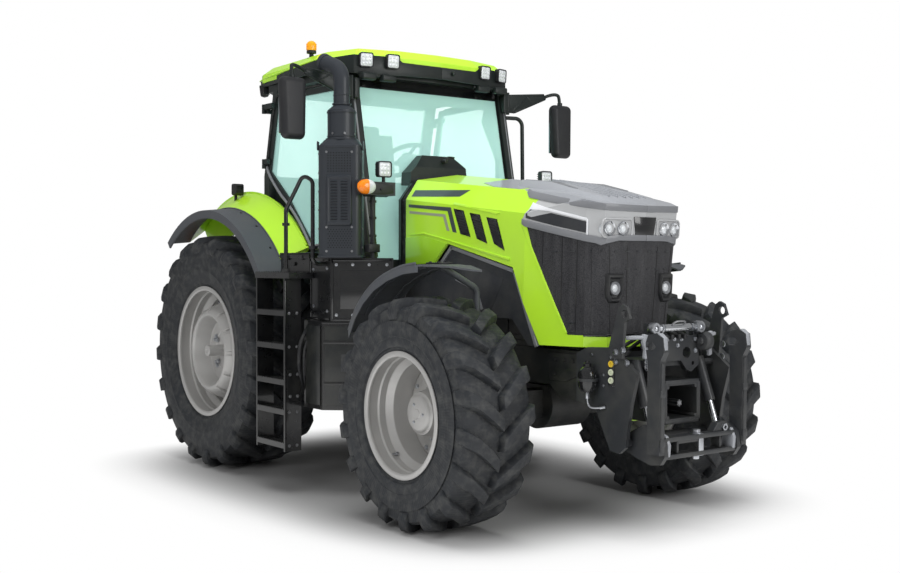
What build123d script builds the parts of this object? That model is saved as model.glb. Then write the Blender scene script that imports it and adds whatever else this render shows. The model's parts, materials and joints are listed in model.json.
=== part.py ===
from build123d import *
import math
import os

# Farm tractor. While it is modelled, X runs forward from the rear axle, Y to the left, Z up from the
# ground, all in millimetres. The finished nodes are moved so that the origin is under the middle of the
# whole machine. Left-hand pieces are modelled and mirrored for the right.

# ---- wheels ----------------------------------------------------------------------------------------
wheelbase = 2810
rear_tyre_radius = 905
rear_tyre_width = 645
rear_track = 1750
rear_flange_radius = 508
rear_rim_width = 550
rear_lug_count = 20
front_tyre_radius = 700
front_tyre_width = 530
front_track = 1990
front_flange_radius = 381
front_rim_width = 481
front_lug_count = 18
lug_height = 48
lug_share = 0.38
lug_lean = 0.85
rim_wall = 12
bead_depth = 24
well_depth = 42
seat_gap = 0.3
rear_hub_radius = 150
rear_hub_inner = 862
rear_dish_radius = 300
rear_dish_depth = 150
rear_spoke_slots = 10
rear_stub_radius = 42
front_hub_radius = 165
front_hub_inner = 880
front_disc_face = 915

# ---- axles and steering ----------------------------------------------------------------------------
axle_case_radius = 330
rear_housing_radius = 125
beam_height = 180
beam_depth = 140
kingpin_offset = 700
kingpin_radius = 78
kingpin_pin_radius = 22
kingpin_boss = 20
knuckle_arm_thickness = 60
knuckle_gap = 6
steer_barrel_radius = 38
steer_barrel_back = 150

# ---- frame and driveline ---------------------------------------------------------------------------
frame_half_width = 290
frame_bottom = 850
frame_top = 1070
frame_rear = 1700
frame_belly = front_tyre_radius + 60
frame_front = wheelbase + 690
axle_notch = 250
engine_top = 1820
gearbox_half_width = 260
gearbox_bottom = rear_tyre_radius - 345
gearbox_top = rear_tyre_radius + 245
gearbox_crown = rear_tyre_radius + 385
gearbox_rear = -380

# ---- bonnet ----------------------------------------------------------------------------------------
firewall_rear = 1672
firewall_front = 1700
bonnet_rear = firewall_front + 55
bonnet_front = wheelbase + 830
bonnet_half_width = 450
bonnet_bottom = 1100
bonnet_top = 2240
bonnet_crease = 2050
bonnet_wall = 14
bonnet_slope = 0.107
crown_bend = (bonnet_front - 810, bonnet_top - 113)
nose_top = bonnet_top - 308
bonnet_hinge = (bonnet_rear + 35, bonnet_top - 80)
hinge_pin_radius = 6
vent_count = 3
vent_pitch = 173
vent_width = 92
lamp_radius = 46
fog_radius = 38

# ---- cab -------------------------------------------------------------------------------------------
floor_top = 1500
floor_thickness = 60
cab_rear = 250
cab_wall = 30
cab_waist = 2270
pillar_inner = 640
pillar_outer = 700
pillar_top = 2920
screen_bottom = 1620
glass_thickness = 8
door_hinge_x = 360
door_rear_inner = 765
door_front_inner = 705
door_front_x = 1420
door_thickness = 30
door_rail = 38
door_hinge_y = 815
door_pin_radius = 8
door_knuckle_radius = 16
roof_bottom = 3000
roof_top = 3120
roof_edge = 60

# ---- fenders ---------------------------------------------------------------------------------------
fender_inner_radius = rear_tyre_radius + 345
fender_outer_radius = rear_tyre_radius + 215
flare_radius = rear_tyre_radius + 195
flare_lip_radius = rear_tyre_radius + 135
arch_radius = rear_tyre_radius + 45
fender_wall_y = 755
fender_inner_y = 775
arch_inner_y = 520
fender_outer_y = 950
fender_start = 40
fender_end = 129
flare_outer_y = 1150
sheet = 14
front_fender_gap = 190
front_fender_y = (840, 1150)

# ---- steps, tanks and exhaust ----------------------------------------------------------------------
ladder_rear = rear_tyre_radius + 95
ladder_front = ladder_rear + 410
ladder_outer = 1220
ladder_inner = 1090
ladder_rail = 14
rung_half = 18
rung_heights = (1250, 1020, 775, 570, 340)
platform_top = floor_top + 30
platform_thickness = 40
tank_bottom = 600
tank_top = 1200
tank_outer = 1060
tank_front = wheelbase - front_tyre_radius - 150
box_top = 1630
box_outer = 1020
stack_x = (ladder_front + tank_front) / 2 + 30
stack_y = 950
stack_turn = 40
stack_size = (240, 285)
shroud_top = 2380
cap_height = 42
lamp_bracket_outer = 860
can_radius = 95
pipe_radius = 55

# ---- linkages --------------------------------------------------------------------------------------
front_lift_pivot = (frame_front + 300, 580)
front_fold_pivot = (frame_front + 520, 580)
front_cylinder_top = (frame_front + 290, 1010)
front_cylinder_eye = (frame_front + 425, 640)
front_cylinder_y = 270
rod_eye_play = 5
lift_pin_radius = 22
fold_pin_radius = 16
front_arm_y = 347
front_arm_thickness = 42
hitch_plate = 26
hitch_plate_gap = 7
hitch_rear = frame_front - 60
top_link_height = 1225
rear_lift_pivot = (-425, rear_tyre_radius - 385)
rear_shaft_pivot = (-425, rear_tyre_radius + 305)
rear_lift_radius = 400
rear_link_length = 830
rear_link_pin_radius = 24
rear_shaft_radius = 40
rod_pin_radius = 16
link_eye_radius = 18.5
link_eye_y = 430
pto_height = rear_tyre_radius - 185
pto_radius = 17.5
pto_length = 120
drawbar_hole_radius = 16
drawbar_hole_x = -950
drawbar_height = 430
drawbar_thickness = 40

nodes = {}


# ---- helpers ---------------------------------------------------------------------------------------
def side_face(points, y):
    """A face in the XZ plane at the given Y from (x, z) points; it extrudes towards -Y."""
    plane = Plane(origin=(0, y, 0), x_dir=(1, 0, 0), z_dir=(0, -1, 0))
    return plane * make_face(Polyline(*points, close=True))


def slab(points, y_low, y_high):
    """(x, z) outline made solid between two Y values."""
    return extrude(side_face(points, y_high), y_high - y_low)


def deck(points, z_low, z_high):
    """(x, y) outline made solid between two heights."""
    return extrude(Plane.XY.offset(z_low) * make_face(Polyline(*points, close=True)), z_high - z_low)


def cross(points, x_low, x_high):
    """(y, z) outline made solid between two X values."""
    plane = Plane(origin=(x_low, 0, 0), x_dir=(0, 1, 0), z_dir=(1, 0, 0))
    return extrude(plane * make_face(Polyline(*points, close=True)), x_high - x_low)


def block(x0, x1, y0, y1, z0, z1):
    return deck([(x0, y0), (x1, y0), (x1, y1), (x0, y1)], z0, z1)


def bar(start, end, radius):
    """A round bar between two points."""
    start, end = Vector(*start), Vector(*end)
    plane = Plane(origin=start, z_dir=end - start)
    return plane * Cylinder(radius, (end - start).length, align=(Align.CENTER, Align.CENTER, Align.MIN))


def pin(x, z, radius, y_low, y_high):
    """A round bar along Y."""
    return bar((x, y_low, z), (x, y_high, z), radius)


def tube(points, radius, bend):
    """A round bar along straight runs with rounded corners."""
    path = FilletPolyline(*points, radius=bend)
    return sweep(Plane(origin=path @ 0, z_dir=path % 0) * Circle(radius), path)


def turned(points, x, z):
    """(y, radius) outline turned about the axle line through (x, z)."""
    plane = Plane(origin=(x, 0, z), x_dir=(0, 1, 0), z_dir=(1, 0, 0))
    face = plane * make_face(Polyline(*points, close=True))
    return revolve(face, Axis((x, 0, z), (0, 1, 0)), 360)


def arch(points, x, z, start, end):
    """(y, radius) outline turned about the axle line from one angle to another, from +X towards +Z."""
    a = math.radians(start)
    plane = Plane(origin=(x, 0, z), x_dir=(0, 1, 0), z_dir=(math.sin(a), 0, -math.cos(a)))
    face = plane * make_face(Polyline(*points, close=True))
    return revolve(face, Axis((x, 0, z), (0, -1, 0)), end - start)


def around(y, radius, angle, x, z):
    """The point at an angle in radians about the axle line, from +X towards +Z."""
    return (x + radius * math.cos(angle), y, z + radius * math.sin(angle))


def faceted(facets):
    """A closed solid from triangles."""
    return Solid(Shell([Face(Wire.make_polygon(points, close=True)) for points in facets]))


def quad(a, b, c, d):
    """Two triangles between four corners in turn."""
    return [(a, b, c), (a, c, d)]


def zipped(ring, other):
    """Triangles between two closed rings of (angle, point), each in order of angle."""
    facets = []
    i = j = 0
    ring = ring + [(ring[0][0] + math.tau, ring[0][1])]
    other = other + [(other[0][0] + math.tau, other[0][1])]
    while i < len(ring) - 1 or j < len(other) - 1:
        step_ring = j == len(other) - 1 or (i < len(ring) - 1 and ring[i + 1][0] < other[j + 1][0])
        if step_ring:
            facets.append((ring[i][1], ring[i + 1][1], other[j][1]))
            i += 1
        else:
            facets.append((ring[i][1], other[j + 1][1], other[j][1]))
            j += 1
    return facets


def mirrored(solid):
    return mirror(solid, about=Plane.XZ)


def on_both_sides(solid):
    """The left-hand piece and its mirror image, which do not touch."""
    return Part() + [solid, mirrored(solid)]


def both(solid):
    """The left-hand piece joined with its mirror image."""
    return solid + mirrored(solid)


def add(name, solid):
    nodes[name] = solid


def add_pair(name, solid):
    add(name + "_left", solid)
    add(name + "_right", mirrored(solid))


# ---- wheels ----------------------------------------------------------------------------------------
def lugged_side(side, centre, width, radius, lug_count, x, z):
    """One half of the tread: its facets and the rings of points along its inner and outer edge."""
    half = width / 2
    pitch = math.tau / lug_count
    # a lug's flat top is as far from the axle as the radius says
    tip = radius / math.cos(pitch * lug_share / 2)
    # from the middle of the tread to its shoulder: where the base and the lug's top are, and the lean
    stations = [
        {"base_y": 14, "base": radius - lug_height, "top_y": 14, "top": tip, "lag": 0},
        {"base_y": half * 0.82, "base": radius - lug_height - 12, "top_y": half * 0.84, "top": radius - 14,
         "lag": half * 0.84 * lug_lean},
        {"base_y": half - 24, "base": radius - lug_height - 75, "top_y": half, "top": radius - 95,
         "lag": half * lug_lean},
    ]
    facets, edges = [], []
    for k in range(lug_count + 1):
        middle = pitch * (k + (0 if side > 0 else 0.5))
        edge = {}
        for name, shift in (("low", -lug_share / 2), ("high", lug_share / 2)):
            for level in ("base", "top"):
                edge[name, level] = [
                    (middle + pitch * shift + s["lag"] / radius,
                     around(centre + side * s[level + "_y"], s[level],
                            middle + pitch * shift + s["lag"] / radius, x, z)) for s in stations]
        edges.append(edge)
    for this, following in zip(edges, edges[1:]):
        corner = {key: [point for _, point in column] for key, column in this.items()}
        after = [point for _, point in following["low", "base"]]
        for n in range(len(stations) - 1):
            m = n + 1
            facets += quad(corner["low", "top"][n], corner["high", "top"][n],
                           corner["high", "top"][m], corner["low", "top"][m])
            facets += quad(corner["high", "base"][n], after[n], after[m], corner["high", "base"][m])
            for name in ("low", "high"):
                facets += quad(corner[name, "base"][n], corner[name, "top"][n],
                               corner[name, "top"][m], corner[name, "base"][m])
        for n in (0, -1):
            facets += quad(corner["low", "base"][n], corner["high", "base"][n],
                           corner["high", "top"][n], corner["low", "top"][n])
    inner = [edge[name, "base"][0] for edge in edges[:-1] for name in ("low", "high")]
    outer = [edge[name, "base"][-1] for edge in edges[:-1] for name in ("low", "high")]
    return facets, inner, outer


def tyre(x, radius, width, track, flange_radius, rim_width, lug_count):
    """A ring of flat facets with leaning lugs, whose middle ends lead as it rolls forward."""
    centre = track / 2
    seat = (flange_radius - bead_depth + seat_gap) / math.cos(math.pi / lug_count)
    bead = rim_width / 2 - rim_wall - seat_gap
    half = width / 2
    facets, inner_rings, seat_rings = [], [], []
    for side in (-1, 1):
        tread, inner, outer = lugged_side(side, centre, width, radius, lug_count, x, radius)
        facets += tread
        inner_rings.append(inner)
        last = outer
        for y, r in ((half - 12, (seat + radius) / 2), (bead, flange_radius + 8), (bead, seat)):
            start = outer[0][0]
            angles = [start + math.tau * k / lug_count for k in range(lug_count)]
            ring = [(a, around(centre + side * y, r, a, x, radius)) for a in angles]
            facets += zipped(last, ring)
            last = ring
        seat_rings.append(last)
    facets += zipped(*inner_rings)
    facets += zipped(*seat_rings)
    return faceted(facets)


def rim_barrel(x, radius, track, flange_radius, rim_width):
    centre = track / 2
    half = rim_width / 2
    seat = flange_radius - bead_depth
    well = seat - well_depth
    outside = [
        (-half, flange_radius),
        (-half + rim_wall, flange_radius),
        (-half + rim_wall, seat),
        (-half * 0.62, seat),
        (-half * 0.48, well),
        (half * 0.30, well),
        (half * 0.44, seat),
        (half - rim_wall, seat),
        (half - rim_wall, flange_radius),
        (half, flange_radius),
    ]
    inside = [
        (half, seat - rim_wall),
        (half * 0.47, seat - rim_wall),
        (half * 0.33, well - rim_wall),
        (-half * 0.51, well - rim_wall),
        (-half * 0.65, seat - rim_wall),
        (-half, seat - rim_wall),
    ]
    return turned([(centre + a, r) for a, r in outside + inside], x, radius)


def rear_rim():
    """Barrel, a deep dish whose rim stands out to the flange plane, its disc and the axle's stub."""
    centre = rear_track / 2
    z = rear_tyre_radius
    well = rear_flange_radius - bead_depth - well_depth - rim_wall
    lip = centre + rear_rim_width / 2 - 30
    disc = lip - rear_dish_depth
    dish = [
        (disc, 0),
        (disc, rear_dish_radius - 50),
        (lip - 20, rear_dish_radius - 28),
        (lip, rear_dish_radius - 20),
        (lip, rear_dish_radius),
        (lip - 14, rear_dish_radius + 10),
        (centre + 35, well - 20),
        (centre + 20, well + 4),
        (centre, well + 4),
        (centre, well - 30),
        (disc - 24, rear_dish_radius - 10),
        (disc - 24, rear_hub_radius),
        (rear_hub_inner, rear_hub_radius),
        (rear_hub_inner, 0),
    ]
    rim = rim_barrel(0, z, rear_track, rear_flange_radius, rear_rim_width)
    rim += turned(dish, 0, z) + pin(0, z, rear_stub_radius, disc, lip + 10)
    for k in range(rear_spoke_slots):
        a = math.tau * k / rear_spoke_slots
        outlet = around(0, (rear_dish_radius + well) / 2 + 12, a, 0, z)
        rim -= bar((outlet[0], centre - 40, outlet[2]), (outlet[0], lip + 40, outlet[2]), 26)
    return rim


def front_rim():
    """Barrel, a flat disc deep inside it, and the planetary hub."""
    x, z = wheelbase, front_tyre_radius
    well = front_flange_radius - bead_depth - well_depth - rim_wall
    disc = [
        (front_disc_face, front_hub_radius - 30),
        (front_disc_face + 20, front_hub_radius - 30),
        (front_disc_face + 20, well + 4),
        (front_disc_face, well + 4),
    ]
    hub = [
        (front_hub_inner, 0),
        (front_hub_inner, front_hub_radius),
        (front_disc_face + 60, front_hub_radius),
        (front_disc_face + 75, front_hub_radius - 20),
        (front_disc_face + 160, front_hub_radius - 35),
        (front_disc_face + 185, front_hub_radius - 60),
        (front_disc_face + 185, 0),
    ]
    barrel = rim_barrel(x, z, front_track, front_flange_radius, front_rim_width)
    return barrel + turned(disc, x, z) + turned(hub, x, z)


def make_wheels():
    add_pair("tyre_rear", tyre(0, rear_tyre_radius, rear_tyre_width, rear_track,
                               rear_flange_radius, rear_rim_width, rear_lug_count))
    add_pair("rim_rear", rear_rim())
    add_pair("tyre_front", tyre(wheelbase, front_tyre_radius, front_tyre_width, front_track,
                                front_flange_radius, front_rim_width, front_lug_count))
    add_pair("rim_front", front_rim())


# ---- axles -----------------------------------------------------------------------------------------
def make_axles():
    hub_face = rear_hub_inner - seat_gap
    flange = rear_hub_radius - 10
    case = pin(0, rear_tyre_radius, axle_case_radius, -gearbox_half_width, gearbox_half_width)
    trumpet = turned([(gearbox_half_width, 0), (gearbox_half_width, 200), (gearbox_half_width + 160,
                     rear_housing_radius), (hub_face - 60, rear_housing_radius), (hub_face - 40, flange),
                     (hub_face, flange), (hub_face, 0)], 0, rear_tyre_radius)
    add("rear_axle", case + both(trumpet))

    x, z = wheelbase, front_tyre_radius
    half = beam_depth / 2
    low = z - beam_height / 2
    high = z + beam_height / 2
    axle = block(x - half, x + half, -kingpin_offset, kingpin_offset, low, high)
    axle += block(x - 110, x + 110, -120, 120, high, frame_bottom)
    axle += pin(x, z, 165, -170, 170) & block(x - 200, x + 200, -200, 200, 0, z + 120)
    barrel_x = x - half - steer_barrel_back + 90
    axle += pin(barrel_x, z + 10, steer_barrel_radius, -230, 230)
    axle += both(block(barrel_x, x - half, 150, 200, z - 30, z + 50))
    for side in (-1, 1):
        y = side * kingpin_offset
        beyond = block(x - 200, x + 200, min(y, 2 * y), max(y, 2 * y), 0, 2 * z)
        boss = bar((x, y, low - kingpin_boss), (x, y, high + kingpin_boss), kingpin_radius)
        axle = (axle - beyond) + boss
        axle += bar((x, y, low - kingpin_boss - 60), (x, y, high + kingpin_boss + 60), kingpin_pin_radius)
    add("front_axle", axle)

    arm_low = low - kingpin_boss - knuckle_gap
    arm_high = high + kingpin_boss + knuckle_gap
    web_inner = kingpin_offset + kingpin_radius + 12
    knuckle = block(x - 75, x + 75, web_inner, front_hub_inner - seat_gap,
                    arm_low - knuckle_arm_thickness, arm_high + knuckle_arm_thickness)
    for base in (arm_low - knuckle_arm_thickness, arm_high):
        knuckle += block(x - 75, x + 75, kingpin_offset, web_inner, base, base + knuckle_arm_thickness)
        knuckle += bar((x, kingpin_offset, base), (x, kingpin_offset, base + knuckle_arm_thickness), 75)
    knuckle -= bar((x, kingpin_offset, 0), (x, kingpin_offset, 2 * z), kingpin_pin_radius + seat_gap)
    add_pair("knuckle", knuckle)


# ---- frame, engine and driveline -------------------------------------------------------------------
def make_frame():
    x = wheelbase
    outline = [
        (frame_rear, gearbox_bottom + 140), (x - axle_notch - 110, frame_belly), (x - axle_notch, frame_bottom),
        (x + axle_notch + 20, frame_bottom), (x + axle_notch + 120, frame_belly + 10),
        (frame_front - 60, frame_belly + 10), (frame_front, frame_belly + 70), (frame_front, frame_top),
        (frame_rear, frame_top),
    ]
    add("front_frame", slab(outline, -frame_half_width, frame_half_width))
    add("engine_block", block(frame_rear + 200, x + 190, -270, 270, frame_top, engine_top))
    step = 300
    case = slab([(gearbox_rear, gearbox_bottom), (frame_rear, gearbox_bottom + 60), (frame_rear, gearbox_top),
                 (step, gearbox_top), (step, gearbox_crown), (gearbox_rear, gearbox_crown)],
                20 - gearbox_half_width, gearbox_half_width - 20)
    case -= pin(0, rear_tyre_radius, axle_case_radius + seat_gap, -400, 400)
    case += bar((frame_rear - 10, 0, gearbox_bottom + 100), (x - 170, 0, front_tyre_radius - 10), 32)
    add("transmission", case - nodes["front_frame"] - nodes["front_axle"])


# ---- bonnet ----------------------------------------------------------------------------------------
def bonnet_body(inset):
    """The closed outer form of the bonnet, or its hollow when inset is the wall."""
    w = bonnet_half_width - inset
    front = bonnet_front - inset
    back = bonnet_rear - 100
    top_plan = [(back, w), (bonnet_front - 590, w), (bonnet_front - 140, w - 80), (bonnet_front - 40, w - 120),
                (front, 0)]
    low_plan = [(back, w), (bonnet_front - 640, w), (bonnet_front - 220, w - 120),
                (bonnet_front - 110, w - 210), (front - 85, 0)]
    rings = []
    for plan, z in ((low_plan, bonnet_bottom - 60), (top_plan, bonnet_top + 60)):
        whole = plan + [(x, -y) for x, y in reversed(plan[:-1])]
        rings.append(Plane.XY.offset(z) * make_face(Polyline(*whole, close=True)))
    plan_form = loft(rings, ruled=True)
    half = [(w, bonnet_bottom - 200), (w, bonnet_crease - inset * 0.4),
            (bonnet_half_width - 100 - inset * 0.6, bonnet_top - 50 - inset), (0, bonnet_top - inset)]
    whole = half + [(-y, z) for y, z in reversed(half[:-1])]
    plane = Plane(origin=(back, 0, 0), x_dir=(0, 1, 0), z_dir=(1, 0, 0))
    section_form = extrude(plane * make_face(Polyline(*whole, close=True)), bonnet_front - back + 100,
                           dir=(1, 0, -bonnet_slope))
    bend_x, bend_z = crown_bend
    crown = slab([(back, bonnet_bottom - 200), (back, bonnet_top + 40 - inset), (bend_x, bend_z - inset),
                  (bonnet_front, nose_top - inset), (bonnet_front + 60, bonnet_bottom - 200)], -w, w)
    return plan_form & section_form & crown


def bonnet_vent(number, grow):
    """The slanted outline of one side vent in (x, z), grown all round."""
    x = bonnet_rear + 560 + number * vent_pitch
    top = bonnet_top - 290 - number * 33
    low = top - 156
    lean = 76
    drop = 21 + number * 12
    return [(x - grow, top + grow), (x + vent_width + grow, top - 16 + grow),
            (x + vent_width + lean + grow, low - drop - grow), (x + lean - grow, low - grow)]


def make_bonnet():
    shell = bonnet_body(0) - bonnet_body(bonnet_wall)
    shell &= block(bonnet_rear, bonnet_front + 100, -600, 600, bonnet_bottom, bonnet_top + 100)
    high = bonnet_top + 80
    far = bonnet_front + 100
    nose = bonnet_front
    bend = (crown_bend[0], crown_bend[1] - 42)
    cover_corner = (nose - 550, nose_top + 58)
    cheek = (nose - 640, nose_top - 72)
    lip = nose_top - 42
    chin = nose_top - 232
    strip_top = bonnet_bottom + 70
    regions = {
        "bonnet_shell": [(bonnet_rear, high), (bend[0] - 350, high), bend, cover_corner, cheek,
                         (nose - 320, strip_top), (far, strip_top), (far, bonnet_bottom),
                         (nose - 515, bonnet_bottom), (nose - 727, bonnet_top - 668),
                         (bonnet_rear + 484, bonnet_top - 514), (bonnet_rear + 343, bonnet_top - 643),
                         (bonnet_rear, bonnet_top - 660)],
        "bonnet_cover": [(bend[0] - 350, high), (far, high), (far, lip), cover_corner, bend],
        "lamp_band": [cover_corner, (far, lip), (far, chin), cheek],
        "grille": [cheek, (far, chin), (far, strip_top), (nose - 320, strip_top)],
    }
    for name, outline in regions.items():
        add(name, shell & slab(outline, -600, 600))

    vents = Part()
    wall = bonnet_body(3) - bonnet_body(bonnet_wall - 3)
    for number in range(vent_count):
        nodes["bonnet_shell"] -= slab(bonnet_vent(number, seat_gap), -600, 600)
        vents += wall & slab(bonnet_vent(number, 0), -600, 600)
    nodes["grille"] = Part() + [nodes["grille"], vents]

    x, z = bonnet_hinge
    lug = slab([(x - 15, z - 15), (x + 30, z - 15), (x + 30, z + 80), (x - 15, z + 80)], 70, 85)
    lug = (lug & bonnet_body(bonnet_wall)) - pin(x, z, hinge_pin_radius + seat_gap, 0, 200)
    nodes["bonnet_shell"] += both(lug)

    lamps = Part()
    lamp_z = (lip + chin) / 2 + 5
    for y in (172, 272):
        lamp = bar((nose - 200, y, lamp_z), (nose + 40, y, lamp_z), lamp_radius)
        nodes["lamp_band"] -= both(bar((nose - 200, y, lamp_z), (nose + 40, y, lamp_z), lamp_radius + seat_gap))
        lamps += on_both_sides(lamp & bonnet_body(8) - bonnet_body(60))
    fog_z = bonnet_bottom + 350
    fog = bar((nose - 240, 216, fog_z), (nose + 40, 216, fog_z), fog_radius)
    nodes["grille"] -= both(bar((nose - 240, 216, fog_z), (nose + 40, 216, fog_z), fog_radius + seat_gap))
    lamps += on_both_sides(fog & bonnet_body(-12) - bonnet_body(50))
    add("headlamps", lamps)

    x = bonnet_rear
    shield = slab([(firewall_front, bonnet_top - 640), (x + 355, bonnet_top - 622),
                   (x + 490, bonnet_top - 498), (nose - 715, bonnet_top - 650), (nose - 490, bonnet_bottom - 10),
                   (nose - 620, bonnet_bottom - 10), (nose - 780, bonnet_bottom + 150),
                   (x + 445, bonnet_bottom + 150),
                   (x + 245, bonnet_bottom + 250), (firewall_front, bonnet_bottom + 250)],
                  bonnet_half_width - 52, bonnet_half_width - 38)
    add("side_shields", on_both_sides(shield & bonnet_body(bonnet_wall + 8)))


# ---- cab -------------------------------------------------------------------------------------------
def door_slab(points, inner, outer):
    """(x, z) outline on the slanted left side of the cab, from inner to outer beyond the door seat."""
    run = door_front_x - door_hinge_x
    slope = (door_front_inner - door_rear_inner) / run
    along = Vector(1, slope, 0).normalized()
    normal = Vector(-slope, 1, 0).normalized()
    origin = Vector(door_hinge_x, door_rear_inner, 0) + normal * outer
    plane = Plane(origin=origin, x_dir=along, z_dir=-normal)
    face = make_face(Polyline(*[(x - door_hinge_x, z) for x, z in points], close=True))
    return extrude(plane * face, outer - inner)


def over_fender(x, gap):
    """The height at x of a line that runs round the rear fender, a gap away from it."""
    return rear_tyre_radius + math.sqrt((fender_inner_radius + gap) ** 2 - x ** 2)


def door_corner():
    """The height of the door's lowest rear corner."""
    return over_fender(door_hinge_x + 5, 181)


def door_hinge_heights():
    return door_corner() + 50, pillar_top - 160


def make_doors():
    rear, front = door_hinge_x + 5, door_front_x
    corner = door_corner()
    door = [(rear, corner), (640, over_fender(640, 70)), (980, over_fender(980, 6)), (front, 1680),
            (front, 2450), (front - 85, pillar_top - 50), (rear + 140, pillar_top - 50)]
    window = [(rear + 60, corner + 10), (665, over_fender(665, 115)), (1000, over_fender(1000, 47)),
              (front - door_rail, 1680 + door_rail + 6), (front - door_rail, 2445),
              (front - 120, pillar_top - 92), (rear + 170, pillar_top - 92)]
    frame = door_slab(door, 0, door_thickness) - door_slab(window, -5, door_thickness + 5)
    for z in door_hinge_heights():
        reach = rear + 52 + (z - corner) * 110 / (pillar_top - corner)
        frame += block(door_hinge_x, reach, door_rear_inner + 12, door_hinge_y + 9, z + 16, z + 56)
        frame += bar((door_hinge_x, door_hinge_y, z + 16), (door_hinge_x, door_hinge_y, z + 56),
                     door_knuckle_radius)
    frame -= bar((door_hinge_x, door_hinge_y, floor_top), (door_hinge_x, door_hinge_y, roof_bottom),
                 door_pin_radius + seat_gap)
    add_pair("door_frame", frame)
    add_pair("door_glass", door_slab(window, 10, 10 + glass_thickness))


def make_cab():
    lean = -270 / (pillar_top - 1600)
    foot = firewall_rear - 52
    rise = pillar_top - 1600
    belly = floor_top - floor_thickness
    cab = block(cab_rear, firewall_rear, -pillar_outer, pillar_outer, belly, floor_top)
    cab += block(foot, firewall_rear - 6, -pillar_outer, pillar_outer, floor_top, screen_bottom)
    cab += block(cab_rear, cab_rear + 40, -pillar_outer, pillar_outer, floor_top, cab_waist)
    wall_y = door_rear_inner - 10
    pieces = [
        slab([(foot, screen_bottom - 20), (foot + 70, screen_bottom - 20), (foot + 70 + lean * rise, pillar_top),
              (foot + lean * rise, pillar_top)], pillar_inner, pillar_outer),
        slab([(cab_rear, cab_waist), (cab_rear + 80, cab_waist), (cab_rear + 220, pillar_top),
              (cab_rear + 150, pillar_top)], pillar_outer - 10, wall_y),
        slab([(cab_rear, belly), (cab_rear, cab_waist), (cab_rear + 100, cab_waist), (960, 1660), (1440, 1660),
              (foot, 1600), (foot + 20, belly)], pillar_outer - cab_wall, pillar_outer),
        slab([(cab_rear, cab_waist), (cab_rear, floor_top), (cab_rear + 80, floor_top),
              (cab_rear + 80, cab_waist)], pillar_outer, wall_y),
    ]
    for z in door_hinge_heights():
        post = door_hinge_x + (z - cab_waist - 20) * 0.10
        pieces += [
            block(post - 40, post + 2, wall_y - 15, door_hinge_y - 10, z - 14, z + 14),
            block(post - 40, door_hinge_x + 2, wall_y, door_hinge_y, z - 14, z + 14),
            bar((door_hinge_x, door_hinge_y, z - 14), (door_hinge_x, door_hinge_y, z + 14), door_knuckle_radius),
            bar((door_hinge_x, door_hinge_y, z), (door_hinge_x, door_hinge_y, z + 56), door_pin_radius),
        ]
    for piece in pieces:
        cab += both(piece)
    hollow = pin(0, rear_tyre_radius, arch_radius, arch_inner_y, 800)
    cab -= both(hollow)
    liner = pin(0, rear_tyre_radius, arch_radius + sheet, arch_inner_y - sheet, pillar_outer - 20) - hollow
    cab += both(liner & block(cab_rear, 1100, 0, pillar_outer, belly, 2000))
    for x, y in ((cab_rear + 200, 210), (foot - 120, 175)):
        cab += both(bar((x, y, gearbox_top), (x, y, belly), 55))
    add("cab_frame", cab)

    thick = glass_thickness
    screen = [(foot + 38, screen_bottom), (foot + 38 + thick, screen_bottom),
              (foot + 38 + thick + lean * (pillar_top - screen_bottom), pillar_top),
              (foot + 38 + lean * (pillar_top - screen_bottom), pillar_top)]
    rear = [(cab_rear + 12, cab_waist), (cab_rear + 12 + thick, cab_waist),
            (cab_rear + 166 + thick, pillar_top), (cab_rear + 166, pillar_top)]
    add("cab_glass", Part() + [slab(screen, -pillar_inner, pillar_inner),
                               slab(rear, 10 - pillar_outer, pillar_outer - 10)])


def closed_plan(half):
    """An outline whose right half mirrors the left half; its first and last points are on the middle."""
    return half + [(x, -y) for x, y in reversed(half[1:-1])]


def make_roof():
    front = firewall_rear - 112
    plan = closed_plan([(20, 0), (40, 620), (170, 730), (250, 765), (1070, 800), (front - 380, 800),
                        (front - 110, 689), (front - 20, 355), (front, 0)])
    top = [(x * 0.94 + 45, y * 0.9) for x, y in plan]
    lower = deck(plan, roof_bottom, roof_top - roof_edge)
    faces = [Plane.XY.offset(z) * make_face(Polyline(*outline, close=True))
             for outline, z in ((plan, roof_top - roof_edge), (top, roof_top))]
    add("roof_shell", lower + loft(faces, ruled=True))
    band = closed_plan([(120, 0), (140, 600), (300, 740), (1060, 745), (front - 180, 680), (front - 80, 350),
                        (front - 60, 0)])
    add("roof_band", deck(band, pillar_top, roof_bottom))


def make_firewall():
    w = bonnet_half_width + 5
    waist = frame_half_width - 10
    wall = cross([(waist, gearbox_top), (waist, 1540), (w, 1540), (w, bonnet_top - 200), (350, bonnet_top - 70),
                  (0, bonnet_top - 25), (-350, bonnet_top - 70), (-w, bonnet_top - 200), (-w, 1540),
                  (-waist, 1540), (-waist, gearbox_top)], firewall_rear, firewall_front)
    x, z = bonnet_hinge
    ear = slab([(firewall_front - 10, z - 70), (x + 10, z - 12), (x + 10, z + 10), (x - 10, z + 12),
                (firewall_front - 10, z - 20)], 42, 54)
    ear += pin(x, z, hinge_pin_radius, 50, 88)
    cowl = cross([(-360, bonnet_top - 90), (-355, bonnet_top), (-226, bonnet_top + 128), (40, bonnet_top + 128),
                  (134, bonnet_top + 48), (150, bonnet_top - 90)], firewall_rear - 107, firewall_rear + 10)
    cowl &= slab([(firewall_rear - 107, bonnet_top - 90), (firewall_rear + 10, bonnet_top - 90),
                  (firewall_rear + 10, bonnet_top + 40), (firewall_rear - 32, bonnet_top + 128),
                  (firewall_rear - 107, bonnet_top + 128)], -400, 400)
    add("firewall", wall + both(ear) + cowl)


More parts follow.
